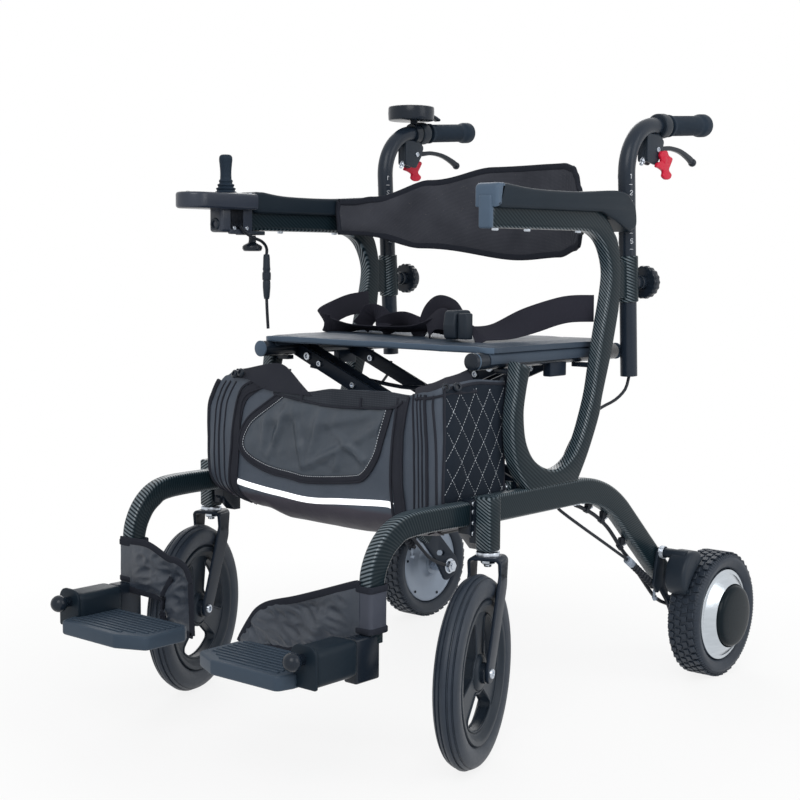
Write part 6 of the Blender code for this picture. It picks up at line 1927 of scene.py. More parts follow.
def make_bag_rim(add):
    """The reflective stripe, which glows as a painted reflection, and the netting under the rim."""
    stripe = [(-0.1505, 0.3331), (-0.0797, 0.3254), (-0.0058, 0.3208), (0.0573, 0.3256), (0.1327, 0.3312),
              (0.1510, 0.3296)]
    # the stripe's glow is a painted reflection
    add("bag_stripe", bag_band(stripe, 0.0080, 0.0012, 0.0010), "reflective")
    rim_low = [(-0.0752, 0.4677), (-0.0504, 0.4649), (0.0297, 0.4572), (0.0873, 0.4583), (0.1465, 0.4624),
               (0.1644, 0.4719)]

    def rim_low_at(s):
        return curve_value(s, rim_low)

    add("bag_rim", bag_patch((-0.078, 0.172), rim_low_at, bag_top, 0.0026, 90, 10, 0.0020), "netting")
    add("bag_rim_tape", bag_line(rim_low, 0.0042, 0.0016), "trim")


def make_bag_tapes(add):
    """Tapes down both ends of the front, each between two cords."""
    for side, lines in ((LEFT, ([(0.1560, 0.4760), (0.1500, 0.4296), (0.1470, 0.3599), (0.1560, 0.3100),
                                 (0.1640, 0.2960)],
                               [(0.1740, 0.4790), (0.1665, 0.4307), (0.1660, 0.3618), (0.1740, 0.3200),
                                (0.1800, 0.2960)])),
                        (RIGHT, ([(-0.0919, 0.4771), (-0.1389, 0.4577), (-0.1479, 0.4057),
                                  (-0.1526, 0.3444), (-0.1485, 0.2989)],
                                 [(-0.1216, 0.4828), (-0.1475, 0.4662), (-0.1632, 0.4044),
                                  (-0.1702, 0.3426), (-0.1660, 0.3124), (-0.1500, 0.2944)]))):
        label = SIDE_NAMES[side]
        pairs = zip(resampled(lines[0], 12), resampled(lines[1], 12))
        middle = [((a[0] + b[0]) / 2, (a[1] + b[1]) / 2) for a, b in pairs]
        add(label + "bag_edge_tape", [bag_band(middle, 0.0155, 0.0018)], "trim")
        add(label + "bag_edge_cords", [bag_line(line, 0.0034, 0.0018) for line in lines], "trim")


def make_bag_zips(add):
    """Zips and seams that run up the corners."""
    zips = []
    for s, radius in ((0.1850, 0.0014), (0.1920, 0.0010), (0.1980, 0.0012), (0.2060, 0.0024),
                      (0.2200, 0.0017)):
        zips.append(bag_line([(s - 0.004, 0.4830), (s - 0.005, 0.4660), (s - 0.001, 0.4200), (s, 0.3600),
                              (s + 0.001, 0.3000)],
                             0.0012, radius))
    add("bag_zip_right", zips, "trim")
    left_lines = []
    for s, radius in ((-0.1830, 0.0012), (-0.1950, 0.0016), (-0.2050, 0.0012), (-0.2200, 0.0036)):
        left_lines.append(bag_line([(s + 0.024, 0.4800), (s + 0.012, 0.4620), (s + 0.002, 0.4350),
                                    (s - 0.003, 0.3700), (s + 0.001, 0.3250),
                                    (s + 0.010, 0.3080)], 0.0010, radius))
    add("bag_zip_left", left_lines, "trim")


def make_bag():
    """The bag's skin, what is sewn on it, and the battery inside."""
    body = make_bag_skin()
    pieces = [body]

    def add(name, meshes, finish, sharp=PADDED_ANGLE):
        mesh = joined(meshes) if isinstance(meshes, list) else meshes
        pieces.append(place_piece(name, mesh, finish, None, sharp=sharp))

    make_bag_pocket(add)
    make_bag_rim(add)
    make_bag_tapes(add)
    make_bag_zips(add)
    make_bag_ends(add)
    make_bag_corners(add)
    tabs = [bag_line([(s, 0.4600), (s + 0.001, 0.4720)], 0.0040, 0.0022) for s in (-0.0200, 0.0900)]
    add("bag_tabs", tabs, "trim")
    for piece in pieces:
        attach(piece, "left_frame")
        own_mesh(piece)
    battery = block((0.060, 0.190), (BAG_FRONT_Y + 0.040, BAG_REAR_Y - 0.022), (0.2855, 0.3940), 0.006, 3)
    place_piece("battery_case", battery, "case", "left_frame", ["battery"])


QUILT_START = 0.2290
QUILT_END = 0.3620
QUILT_PITCH = 0.0320
QUILT_RISE = 0.0460
QUILT_LOW_Z = 0.3080
QUILT_MIDDLE_Z = 0.300


def make_bag_ends(add):
    """Quilted ends with their stitches, and the bands round them."""
    for side in (LEFT, RIGHT):
        label = SIDE_NAMES[side]
        first = side * QUILT_START
        last = side * QUILT_END

        def low(s):
            return QUILT_LOW_Z

        def high(s):
            return bag_top(s) - 0.0060

        def quilt(s, z):
            a = (abs(s) - QUILT_START) / QUILT_PITCH + (z - QUILT_MIDDLE_Z) / QUILT_RISE
            b = (abs(s) - QUILT_START) / QUILT_PITCH - (z - QUILT_MIDDLE_Z) / QUILT_RISE
            ridge = min(abs(a - round(a)), abs(b - round(b)))
            return 0.0022 * (ridge * 2.0) ** 0.5 - 0.0008

        span = (first, last) if side == LEFT else (last, first)
        add(label + "bag_quilt", bag_patch(span, low, high, 0.0014, 96, 110, 0.0010, quilt), "quilt")
        threads = []
        for direction in (1, -1):
            for index in range(-10, 14):
                line = []
                for step in range(61):
                    z = 0.3100 + (0.4930 - 0.3100) * step / 60
                    s = QUILT_START + QUILT_PITCH * (index - direction * (z - QUILT_MIDDLE_Z) / QUILT_RISE)
                    inside = QUILT_START + 0.002 < s < QUILT_END - 0.002 and z < high(side * s) - 0.002
                    if inside:
                        line.append(bag_place(side * s, z, 0.0014 + quilt(s, z) + 0.0007))
                if len(line) > 5:
                    threads += dashes(line, 0.0030, 0.0012, 0.00042)
        add(label + "bag_quilt_stitches", threads, "thread")
        head = bag_top(first)
        bands = [bag_line([(first, head - 0.004), (first, head - 0.050), (first, 0.3500), (first, 0.3060)],
                          0.0014, 0.0020),
                 bag_line([(last, 0.4870), (last, 0.4000), (last, 0.3060)], 0.0014, 0.0020)]
        rim = []
        for step in range(13):
            s = first + (last - first) * step / 12
            rim.append((s, bag_top(s) - 0.004))
        bands.append(bag_line(rim, 0.0014, 0.0024, steps=2))
        add(label + "bag_end_piping", bands, "trim")


def make_bag_corners(add):
    """Black corner straps with their snap bolts."""
    left_strap = [[(-0.1560, -0.2040, 0.4860), (-0.1300, -0.2060, 0.4850), (-0.0920, -0.2070, 0.4726),
                   (-0.0450, -0.2070, 0.4700), (0.0000, -0.2070, 0.4696)],
                  [(-0.1640, -0.2010, 0.4940), (-0.1350, -0.2030, 0.4930), (-0.0950, -0.2050, 0.4900),
                   (-0.0520, -0.2060, 0.4860), (-0.0100, -0.2070, 0.4760)],
                  [(-0.1700, -0.1900, 0.4970), (-0.1470, -0.1940, 0.4990), (-0.1000, -0.1960, 0.5080),
                   (-0.0640, -0.1980, 0.5090), (-0.0220, -0.2050, 0.4840)]]
    rows = [smooth(line, 8) for line in left_strap]
    strips = []
    for t in [step / 12 for step in range(13)]:
        line = []
        for low, middle, high in zip(*rows):
            a = Vector(low).lerp(Vector(middle), t)
            b = Vector(middle).lerp(Vector(high), t)
            line.append(a.lerp(b, t))
        strips.append(line)
    add("bag_strap_near", thickened(grid(strips), 0.0022), "trim")
    right_rows = []
    for t in [step / 12 for step in range(13)]:
        line = []
        for step in range(25):
            u = step / 24
            s = 0.1850 + 0.110 * u
            top = bag_top(s)
            place = bag_place(s, top - 0.004 - 0.012 * (1 - t) * (0.3 + 0.7 * u), 0.0030)
            inner = Vector((place.x * 0.88, place.y * 0.86, top + 0.004 + 0.006 * u))
            line.append(place.lerp(inner, t))
        right_rows.append(line)
    add("bag_strap_far", thickened(grid(right_rows), 0.0022), "trim")
    bolts = []
    for spot, direction in (((-0.1560, -0.2060, 0.4910), (-0.3, -1, 0.4)),
                            ((-0.1420, -0.2070, 0.4940), (-0.2, -1, 0.4)),
                            ((0.2235, -0.1860, 0.4925), (0.7, -0.7, 0.3)),
                            ((0.2300, -0.1700, 0.4930), (1, -0.4, 0.3))):
        bolts.append(socket_bolt(spot, direction, 0.0062, 0.0046))
    add("bag_strap_bolts", bolts, "gloss")


# Back strap and belts


def strap_path():
    """The band's line in plan, from its end inside the right arm, which reaches further forward."""
    right = [(-0.2155, 0.0800), (-0.2130, 0.1150), (-0.2060, 0.1480), (-0.1880, 0.1830), (-0.1520, 0.2300),
             (-0.0950, 0.2630)]
    left = [(0.0950, 0.2630), (0.1520, 0.2300), (0.1880, 0.1830), (0.2060, 0.1480), (0.2155, 0.1150)]
    return smooth(right + [(0.0, 0.2810)] + left, 10)


def strap_edges():
    """The band's upper and lower edges as (x, z) points: its left end is rounded and runs into a tab."""
    top = [(-0.2155, 0.7530), (-0.2060, 0.7590), (-0.1500, 0.7880), (-0.0500, 0.8080), (0.0500, 0.8090),
           (0.1007, 0.8085),
           (0.1250, 0.8030), (0.1372, 0.7910), (0.1470, 0.7715), (0.1600, 0.7600), (0.2155, 0.7560)]
    low = [(-0.2155, 0.7050), (-0.1600, 0.6840), (0.0, 0.6650), (0.0913, 0.6700), (0.1336, 0.6800),
           (0.1484, 0.6845), (0.1600, 0.7044), (0.2155, 0.7080)]
    return top, low


def make_back_strap():
    """A padded band behind the back: two skins that meet in bound edges, with creases towards its ends."""
    columns = 170
    rows = 40
    path = resampled(strap_path(), columns)
    top, low = strap_edges()
    skins = []
    for face in (1, -1):
        lines = []
        for row in range(rows + 1):
            t = row / rows
            line = []
            for index, place in enumerate(path):
                before = path[max(index - 1, 0)]
                after = path[min(index + 1, columns - 1)]
                run = (after - before).normalized()
                outward = Vector((-run.y, run.x)) * -1.0
                z_low = curve_value(place.x, low)
                z_high = curve_value(place.x, top)
                z = z_low + (z_high - z_low) * t
                swell = 0.0044 * (math.sin(math.pi * t) ** 0.45 if 0 < t < 1 else 0.0) + 0.0005
                reach = abs(place.x) / 0.2155
                crease = 0.0022 * noise.noise(Vector((place.x * 30.0, face * 3.0,
                                                      z * 22.0 + place.x * 18.0)))
                fold = 0.0030 * math.sin(reach * 26.0 + (z - 0.730) * 60.0) * ease(reach, 0.55, 0.95)
                amount = face * swell + (crease + fold) * math.sin(math.pi * t) ** 0.5
                flat = place + outward * amount * -1.0
                line.append((flat.x, flat.y, z))
            lines.append(line)
        skins.append(lines)
    inner, outer = skins
    mesh = joined([grid(inner), grid([line[::-1] for line in outer])]
                  + [grid([inner[0], outer[0]]), grid([outer[-1], inner[-1]])])
    body = place_piece("back_strap_cloth", evaluated_mesh(bpy.data.objects.new("strap", mesh)), "strap",
                       None,
                       ["back_strap"], sharp=PADDED_ANGLE)
    edges = []
    for row in (0, rows):
        line = [(Vector(a) + Vector(b)) / 2 for a, b in zip(inner[row], outer[row])]
        edges.append(sweep(line, section(0.0050, 0.0030, 0.0018, 3), (0, 0, 1)))
    for index in (0, columns - 1):
        line = [(Vector(a[index]) + Vector(b[index])) / 2 for a, b in zip(inner, outer)]
        edges.append(tube(line, 0.0040, 10))
    binding = place_piece("back_strap_binding", joined(edges), "binding", None,
                          sharp=PADDED_ANGLE)
    for piece in (body, binding):
        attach(piece, "left_frame")
        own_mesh(piece)


def strap_on_edge(points, width, twist=0.0, thickness=0.0016):
    """Webbing along points, its width upright and turned by the twist along its length."""
    line = [Vector(point) for point in smooth(points, 8)]
    shapes = []
    count = len(line)
    for index, place in enumerate(line):
        before = line[max(index - 1, 0)]
        after = line[min(index + 1, count - 1)]
        run = (after - before).normalized()
        up = (Vector((0, 0, 1)) - run * run.z).normalized()
        turn = twist(index / (count - 1)) if callable(twist) else twist
        shapes.append((place, Matrix.Rotation(turn, 3, run) @ up, run))
    mesh = bpy.data.meshes.new("webbing")
    shape = bmesh.new()
    weave = shape.verts.layers.float.new("weave")
    travelled = 0.0
    rings = []
    for index, (place, up, run) in enumerate(shapes):
        if index:
            travelled += (place - shapes[index - 1][0]).length
        side = up.cross(run)
        ring = []
        for u, v in section(width / 2, thickness / 2, thickness * 0.45, 2)[:-1]:
            vert = shape.verts.new(place + up * u + side * v)
            vert[weave] = travelled
            ring.append(vert)
        rings.append(ring)
    for low, high in zip(rings, rings[1:]):
        for step in range(len(low)):
            after = (step + 1) % len(low)
            shape.faces.new((low[step], high[step], high[after], low[after]))
    shape.faces.new(rings[0])
    shape.faces.new(rings[-1][::-1])
    shape.to_mesh(mesh)
    shape.free()
    return mesh


def make_belts():
    left = strap_on_edge([(0.2258, 0.161, 0.5900), (0.2060, 0.115, 0.5885), (0.1830, 0.062, 0.5740),
                          (0.1620, 0.014, 0.5580),
                          (0.1450, -0.028, 0.5560)], 0.040, lambda t: 1.1 * ease(t, 0.30,
                                  0.85) - 0.5 * ease(t, 0.9, 1.0))
    floor_z = SEAT_TOP_Z + 0.0030
    right = strap_on_edge([(-0.2254, 0.1642, 0.5900), (-0.2250, 0.1150, 0.5850), (-0.2240, 0.0780, 0.5750),
                           (-0.2220, 0.0530, 0.5660), (-0.2150, 0.0460, 0.5600), (-0.2000, 0.0520, 0.5540),
                           (-0.1500, 0.0500, floor_z + 0.006), (-0.1050, 0.0450, floor_z + 0.005),
                           (-0.0500, 0.0350, floor_z + 0.006), (0.0200, 0.0200, floor_z + 0.010),
                           (0.0700, 0.0060, 0.5640), (0.1120, -0.0140, 0.5660)], 0.0355,
                          lambda t: 0.55 * ease(t, 0.10, 0.36) + 0.75 * ease(t, 0.42, 0.56) - 1.0 * ease(t,
                                  0.78, 0.95))
    loops = []
    for points, width, turn in (
            ([(-0.140, 0.050, floor_z + 0.006), (-0.128, 0.052, 0.568), (-0.116, 0.050, 0.578),
              (-0.096, 0.048, 0.572), (-0.080, 0.046, floor_z + 0.008)], 0.030, 0.9),
            ([(-0.095, 0.046, floor_z + 0.006), (-0.070, 0.050, 0.564), (-0.040, 0.046, 0.566),
              (-0.010, 0.040, 0.556), (0.012, 0.034, floor_z + 0.006)], 0.034, 0.7),
            ([(0.020, 0.020, floor_z + 0.012), (0.034, 0.016, 0.580), (0.058, 0.008, 0.592),
              (0.088, -0.002, 0.586), (0.108, -0.012, 0.570)], 0.034, 0.3),
            ([(0.036, 0.004, floor_z + 0.010), (0.058, -0.004, 0.572), (0.082, -0.012, 0.574),
              (0.104, -0.020, 0.566)],
             0.032, -0.3)):
        loops.append(strap_on_edge(points, width, lambda t, turn=turn: turn * math.sin(t * 4.0 + 0.4)))
    for name, mesh, body, label in (("lap_strap_left", [left], "left_frame", "left_belt"),
                                    ("lap_strap_right", [right] + loops, "right_frame", "right_belt")):
        piece = place_piece(name, joined(mesh), "webbing", body, [label],
                            sharp=CLOTH_ANGLE)
        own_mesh(piece)


def make_buckle():
    tongue = [block((0.1320, 0.1480), (-0.046, -0.030), (0.5480, 0.5850), 0.0022)]
    buckle_loop = rounded([(-0.050, 0.5476, 0.005), (-0.010, 0.5476, 0.005), (-0.008, 0.5680, 0.008),
                           (-0.012, 0.5890, 0.007), (-0.048, 0.5890, 0.007),
                           (-0.052, 0.5680, 0.008)], steps=5)
    buckle = [side_outline(buckle_loop, 0.0215, 0.0035, 0.1200),
              side_outline(rounded([(-0.041, 0.5560, 0.004), (-0.020, 0.5560, 0.004),
                                    (-0.020, 0.5810, 0.004),
                                    (-0.041, 0.5810, 0.004)], steps=4), 0.0240, 0.0012, 0.1200)]
    left_end = place_piece("belt_tongue", joined(tongue), "plastic", "left_frame")
    right_end = place_piece("belt_buckle", joined(buckle), "plastic", "right_frame")
    for piece, side in ((left_end, 1), (right_end, -1)):
        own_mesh(piece)


# Handles


def grip_direction():
    return Vector((0.0, math.cos(GRIP_RISE), math.sin(GRIP_RISE)))


def handle_path():
    corner = handle_axis(HANDLE_CORNER_Z)
    end = corner + grip_direction() * (GRIP_START + GRIP_LENGTH - 0.006)
    return rounded([tuple(handle_axis(HANDLE_BASE_Z)), (*corner, HANDLE_BEND_RADIUS), tuple(end)],
                   closed=False, steps=24, size=3)


DIGITS = {
    "1": [[(0.1, 0.8), (0.5, 1.0), (0.5, 0.0)]],
    "2": [[(0.0, 0.8), (0.3, 1.0), (0.8, 0.9), (0.8, 0.6), (0.0, 0.0), (0.9, 0.0)]],
    "3": [[(0.0, 0.9), (0.5, 1.0), (0.8, 0.8), (0.4, 0.55), (0.8, 0.3), (0.5, 0.0), (0.0, 0.1)]],
    "4": [[(0.6, 0.0), (0.6, 1.0), (0.0, 0.3), (0.9, 0.3)]],
    "5": [[(0.8, 1.0), (0.1, 1.0), (0.05, 0.55), (0.6, 0.6), (0.8, 0.3), (0.5, 0.0), (0.0, 0.1)]],
}
TICK_DROP = 0.012


def scale_marks():
    """Plain numbers and ticks up the handle tube, on its front and outer sides."""
    shapes = []
    radius = HANDLE_RADIUS - 0.0001
    for index, digit in enumerate("54321"):
        z = 0.690 + index * 0.024
        axis = handle_axis(z)
        for turn in (-62.0, 62.0):
            for line in DIGITS[digit]:
                points = []
                for u, v in smooth(line, 4):
                    angle = math.radians(turn) + (u - 0.4) * 0.0048 / radius
                    points.append((axis.x + radius * math.sin(angle), axis.y - radius * math.cos(angle),
                                   z + (v - 0.5) * 0.0066))
                shapes.append(tube(points, 0.00050, 6))
            tick = []
            for part in range(5):
                angle = math.radians(turn) + (part / 4 - 0.5) * 0.0055 / radius
                tick.append((axis.x + radius * math.sin(angle), axis.y - radius * math.cos(angle),
                             z - TICK_DROP))
            shapes.append(tube(tick, 0.0004, 6))
    return shapes


LOCK_SHAPE = [(0.2989, 0.8274), (0.3140, 0.8293), (0.3210, 0.8224), (0.3317, 0.8181), (0.3264, 0.8080),
              (0.3220, 0.8004), (0.3299, 0.7935), (0.3254, 0.7869), (0.3131, 0.7854), (0.3043, 0.7899),
              (0.3049, 0.7972), (0.2934, 0.8015), (0.2849, 0.8035), (0.2884, 0.8095), (0.2995, 0.8129),
              (0.2954, 0.8209)]


def make_poles():
    """Handle tubes with the numbers of their scale."""
    lift = right_handle_shift()
    pole = tube(handle_path(), HANDLE_RADIUS, 40)
    place_pair("pole", pole, "paint", "handle", ["handle_tube"], lift)
    place_pair("pole_scale", scale_marks(), "print", "handle", right_lift=lift)


GRIP_GROOVES = 30
GROOVE_PITCH = 0.0026


def make_grips():
    grip_profile = [(0.0, 0.1120), (0.0128, 0.1120), (0.0132, 0.1110), (0.0132, 0.0), (0.0160, 0.0),
                    (0.0173, 0.0008), (0.0173, 0.0052), (0.0160, 0.0066), (0.0152, 0.0080)]
    for step in range(GRIP_GROOVES):
        height = 0.0095 + step * GROOVE_PITCH
        grip_profile += [(0.0156, height), (0.0156, height + 0.0015), (0.0151, height + 0.0019),
                         (0.0151, height + 0.0023)]
    grip_profile += smooth([(0.0153, 0.0885), (0.0160, 0.0930), (0.0178, 0.0985), (0.0182, 0.1020)], 5)
    grip_profile += [(0.0182, 0.1130), (0.0176, 0.1155), (0.0160, 0.1168), (0.0, 0.1170)]
    direction = grip_direction()
    start = handle_axis(HANDLE_CORNER_Z) + direction * GRIP_START
    place_pair("grip_rubber", turned(grip_profile, along(start, direction), 64), "rubber", "handle",
               ["grip"],
               right_handle_shift())


def make_lever_housings():
    """The clamp round each grip's tube with the cheeks that hold its lever."""
    lift = right_handle_shift()
    direction = grip_direction()
    clamp_start = handle_axis(HANDLE_CORNER_Z) + direction * CLAMP_START
    ring = turned([(HANDLE_RADIUS, 0.0), (0.0175, 0.0), (0.0188, 0.0014), (0.0190, 0.0030),
                   (0.0190, 0.0160), (0.0188, 0.0176), (0.0175, 0.0190), (HANDLE_RADIUS, 0.0190)],
                   along(clamp_start, direction), 56, closed=True)
    cheek_loop = rounded([(0.2660, 0.8530, 0.005), (0.2660, 0.8110, 0.005), (0.2940, 0.8060, 0.006),
                          (0.3080, 0.8260, 0.006), (0.3150, 0.8440, 0.006),
                          (0.3000, 0.8530, 0.005)], steps=6)
    cheeks = [side_outline(cheek_loop, 0.0046, 0.0012, HANDLE_X + offset) for offset in (-0.0067, 0.0067)]
    back_loop = rounded([(0.2665, 0.8525, 0.004), (0.2665, 0.8120, 0.004), (0.2830, 0.8100, 0.004),
                         (0.2850, 0.8440, 0.004), (0.3120, 0.8440, 0.003),
                         (0.3120, 0.8520, 0.003)], steps=4)
    housing = [ring] + cheeks + [side_outline(back_loop, 0.0150, 0.0014, HANDLE_X),
                                 block((HANDLE_X - 0.0065, HANDLE_X + 0.0065), (0.294, 0.306),
                                       (0.840, 0.855), 0.002)]
    place_pair("lever_housing", housing, "plastic", "handle", ["brake_body"], lift)
    steel = [socket_bolt((HANDLE_X + 0.0089, *LEVER_PIVOT), (1, 0, 0), 0.0042, 0.0018),
             socket_bolt((HANDLE_X - 0.0089, *LEVER_PIVOT), (-1, 0, 0), 0.0042, 0.0018),
             rod((HANDLE_X, 0.2700, 0.8160), (HANDLE_X, 0.2655, 0.8103), 0.0042, edge=0.0006),
             rod((HANDLE_X, 0.2655, 0.8103), (HANDLE_X, 0.2620, 0.8060), 0.0030, edge=0.0004)]
    place_pair("lever_steel", steel, "bolt", "handle", right_lift=lift)


def make_levers():
    """Brake levers with their ball ends, and the red parking levers."""
    lift = right_handle_shift()
    lever_line = smooth([(LEVER_PIVOT[0] - 0.002, LEVER_PIVOT[1] - 0.0005), (0.3200, 0.8325),
                         (0.3450, 0.8350), (0.3750, 0.8322), (0.4000, 0.8245), (0.4150, 0.8175)], 8)
    places = [(HANDLE_X, y, z) for y, z in lever_line]
    sections = []
    for index in range(len(places)):
        t = index / (len(places) - 1)
        sections.append(section(0.0035, 0.0052 - 0.0017 * math.sin(math.pi * min(1.0, t * 1.1)), 0.0017, 4))
    lever = [sweep(places, sections, (1, 0, 0)), ball((HANDLE_X, 0.4160, 0.8168), 0.0066, 32, 20),
             rod((HANDLE_X - 0.0036, *LEVER_PIVOT), (HANDLE_X + 0.0036, *LEVER_PIVOT), 0.0065, edge=0.0006)]
    place_pair("lever_blade", lever, "gloss", "lever", ["brake_lever"], lift)
    lock_x = HANDLE_X + 0.0118
    lock = [side_outline(smooth(LOCK_SHAPE + LOCK_SHAPE[:1], 6)[:-1], 0.0056, 0.0018, lock_x),
            rod((lock_x, 0.3085, 0.8150), (lock_x + 0.0036, 0.3085, 0.8150), 0.0056, edge=0.001)]
    place_pair("parking_lever", lock, "red", "lock", ["lock_lever"], lift)


def make_clamp_knobs():
    lobes = []
    steps = 216
    for step in range(steps):
        angle = 2 * math.pi * step / steps
        radius = KNOB_RADIUS - 0.0010 + 0.0006 * math.cos(18 * angle)
        lobes.append((HANDLE_X + radius * math.cos(angle), KNOB_Z + radius * math.sin(angle)))
    head = outline([lobes], 0.0140, 0.0038, shift(y=KNOB_Y + 0.0070) @ FRONT_VIEW, 4)
    stem = rod((HANDLE_X, KNOB_Y - 0.0117, KNOB_Z), (HANDLE_X, KNOB_Y + 0.002, KNOB_Z), 0.0110, edge=0.001)
    face = turned([(0.0, 0.0020), (0.0070, 0.0020), (0.0090, 0.0004), (0.0150, 0.0006), (0.0195, 0.0028),
                   (0.0215, 0.0026), (0.0222, 0.0), (0.0215, -0.002), (0.0, -0.002)],
                   along((HANDLE_X, KNOB_Y + 0.0140, KNOB_Z), (0, 1, 0)), 64)
    place_pair("star_knob", [head, stem, face], "gloss", "clamp", ["clamp_knob"])


# Right arm rest control and display


def make_control_body():
    rear_y = PAD_FRONT_Y[RIGHT] - 0.0003
    round_y = -0.2387 + CONTROL_HALF_WIDTH
    loop = [(-CONTROL_HALF_WIDTH, rear_y)] + arc((0.0, round_y), CONTROL_HALF_WIDTH, 180, 360, 36)
    loop += [(CONTROL_HALF_WIDTH, rear_y)]
    places = [(CONTROL_X + u, v) for u, v in loop]
    head = outline([places], HEAD_HIGH_Z - HEAD_LOW_Z - 0.0006, 0.0045,
                   shift(z=(HEAD_LOW_Z + HEAD_HIGH_Z) / 2 - 0.0002) @ PLAN_VIEW, 5)
    arm_space = block((-FRAME_OUTER_X - 0.0003, -FRAME_INNER_X + 0.0003), (ARM_FRONT_Y - 0.0003, 0.0),
                      (ARM_BOTTOM_Z - 0.0003, ARM_TOP_Z + 0.0003))
    well = rod((CONTROL_X, STICK_Y, HEAD_HIGH_Z - 0.0050), (CONTROL_X, STICK_Y, HEAD_HIGH_Z + 0.010),
               0.0185, sides=56)
    head = cut(head, arm_space, well)
    collar = turned([(0.0183, -0.0040), (0.0183, 0.0004), (0.0200, 0.0006), (0.0212, 0.0000),
                     (0.0214, -0.0040)],
                    shift(CONTROL_X, STICK_Y, HEAD_HIGH_Z), 64, closed=True)
    lower = block((CONTROL_X - 0.012, CONTROL_X + 0.016), (-0.172, ARM_FRONT_Y - 0.0008), (0.7000, 0.7395),
                  0.0050, 4)
    wall_loop = rounded([(-0.155, 0.6975, 0.004), (rear_y, 0.6975, 0.003), (rear_y, 0.742),
                         (-0.155, 0.742)], steps=5)
    wall = side_outline(wall_loop, 0.0060, 0.0012, CONTROL_X + 0.0130)
    clamp_plate = block((CONTROL_X - 0.012, CONTROL_X + 0.0155), (-0.118, -0.080),
                        (0.6968, ARM_BOTTOM_Z - 0.0005), 0.0015)
    place_piece("control_head", head, "head", "right_frame", ["controller_body"])
    place_piece("control_lower", joined([lower, wall]), "head", "right_frame")
    place_piece("control_collar", collar, "gloss", "right_frame")
    socket = turned([(0.0055, 0.0), (0.0095, 0.0), (0.0095, 0.0125), (0.0086, 0.0143), (0.0055, 0.0143),
                     (0.0050, 0.0100)],
                    along((CONTROL_X + 0.002, -0.1600, 0.7122), (0, -1, 0)), 40, closed=True)
    place_piece("control_socket", joined([socket, clamp_plate]), "plastic", "right_frame")
    screws = []
    for y in (-0.146, -0.120):
        screws.append(socket_bolt((CONTROL_X + 0.0160, y, 0.7065), (1, 0, 0), 0.0032, 0.0014))
    for x in (CONTROL_X - 0.022, CONTROL_X + 0.022):
        screws.append(socket_bolt((x, -0.118, HEAD_HIGH_Z - 0.0004), (0, 0, 1), 0.0026, 0.0008))
    place_piece("control_screws", joined(screws), "bolt", "right_frame")
    lamp = rod((CONTROL_X, -0.2240, HEAD_HIGH_Z - 0.0010), (CONTROL_X, -0.2240, HEAD_HIGH_Z + 0.0005),
               0.0028, edge=0.0004)
    place_piece("control_button", lamp, "gloss", "right_frame")


def make_joystick():
    """The stick with its ribbed boot."""
    profile = [(0.0, -0.0047), (0.0150, -0.0006), (0.0165, 0.0)]
    profile += smooth([(0.0165, 0.0018), (0.0137, 0.0036), (0.0150, 0.0070), (0.0118, 0.0090),
                       (0.0130, 0.0125), (0.0098, 0.0148), (0.0106, 0.0182), (0.0087, 0.0210)], 6)
    profile += smooth([(0.0086, 0.0240), (0.0085, 0.0320), (0.0094, 0.0430), (0.0101, 0.0500),
                       (0.0095, 0.0548), (0.0070, 0.0574), (0.0030, 0.0580)], 5)
    profile += [(0.0, 0.0580)]
    stick = turned(profile, shift(CONTROL_X, STICK_Y, HEAD_HIGH_Z), 48)
    place_piece("stick_knob", stick, "rubber", "stick", ["joystick"])


THUMB_Y = -0.0930
THUMB_RIBS = 18


def make_thumb_wheel():
    knob_profile = [(0.0, 0.0), (0.0120, 0.0), (0.0142, 0.0012), (0.0148, 0.0032), (0.0148, 0.0078),
                    (0.0135, 0.0096), (0.0078, 0.0124), (0.0060, 0.0140), (0.0055, 0.0180),
                    (0.0055, 0.0242), (0.0, 0.0242)]
    thumb = [turned(knob_profile, shift(CONTROL_X, THUMB_Y, 0.6720), 48)]
    for index in range(THUMB_RIBS):
        angle = 2 * math.pi * index / THUMB_RIBS
        x = CONTROL_X + 0.0146 * math.cos(angle)
        y = THUMB_Y + 0.0146 * math.sin(angle)
        thumb.append(rod((x, y, 0.6752), (x, y, 0.6796), 0.0008, sides=8))
    place_piece("thumb_wheel", joined(thumb), "gloss", "thumb_screw", ["controller_knob"])


def joystick_lead_path():
    route = [(-0.2192, -0.1370, 0.7095), (-0.2192, -0.1265, 0.7005), (-0.2170, -0.1120, 0.6930),
             (-0.2170, -0.0930, 0.6870), (-0.2200, -0.0800, 0.6770), (-0.2220, -0.0780, 0.6600),
             (-0.2220, -0.0780, 0.5980), (-0.2230, -0.0740, 0.5520)]
    return smooth(route, 4)


def make_joystick_lead():
    line = joystick_lead_path()
    lead = place_piece("stick_lead", tube(line, LEAD_DIAMETER / 2, 16), "cable", "right_frame",
                       ["joystick_lead"])
    plug_profile = [(0.0026, 0.0), (0.0046, 0.001), (0.0052, 0.006), (0.0056, 0.020), (0.0062, 0.024),
                    (0.0054, 0.026), (0.0056, 0.028), (0.0066, 0.029), (0.0068, 0.033), (0.0066, 0.040),
                    (0.0054, 0.041), (0.0060, 0.044), (0.0060, 0.052), (0.0048, 0.066), (0.0038, 0.070)]
    plug = turned([(0.0, 0.0)] + plug_profile + [(0.0, 0.070)], along((-0.2220, -0.0780, 0.6680),
            (0, 0, -1)), 32)
    connector = place_piece("lead_connector", plug, "plastic", "right_frame")
    for piece in (lead, connector):
        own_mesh(piece)
    row_frame(line)[0]
    row_frame(line)


BUTTON_CIRCLE = 0.0300


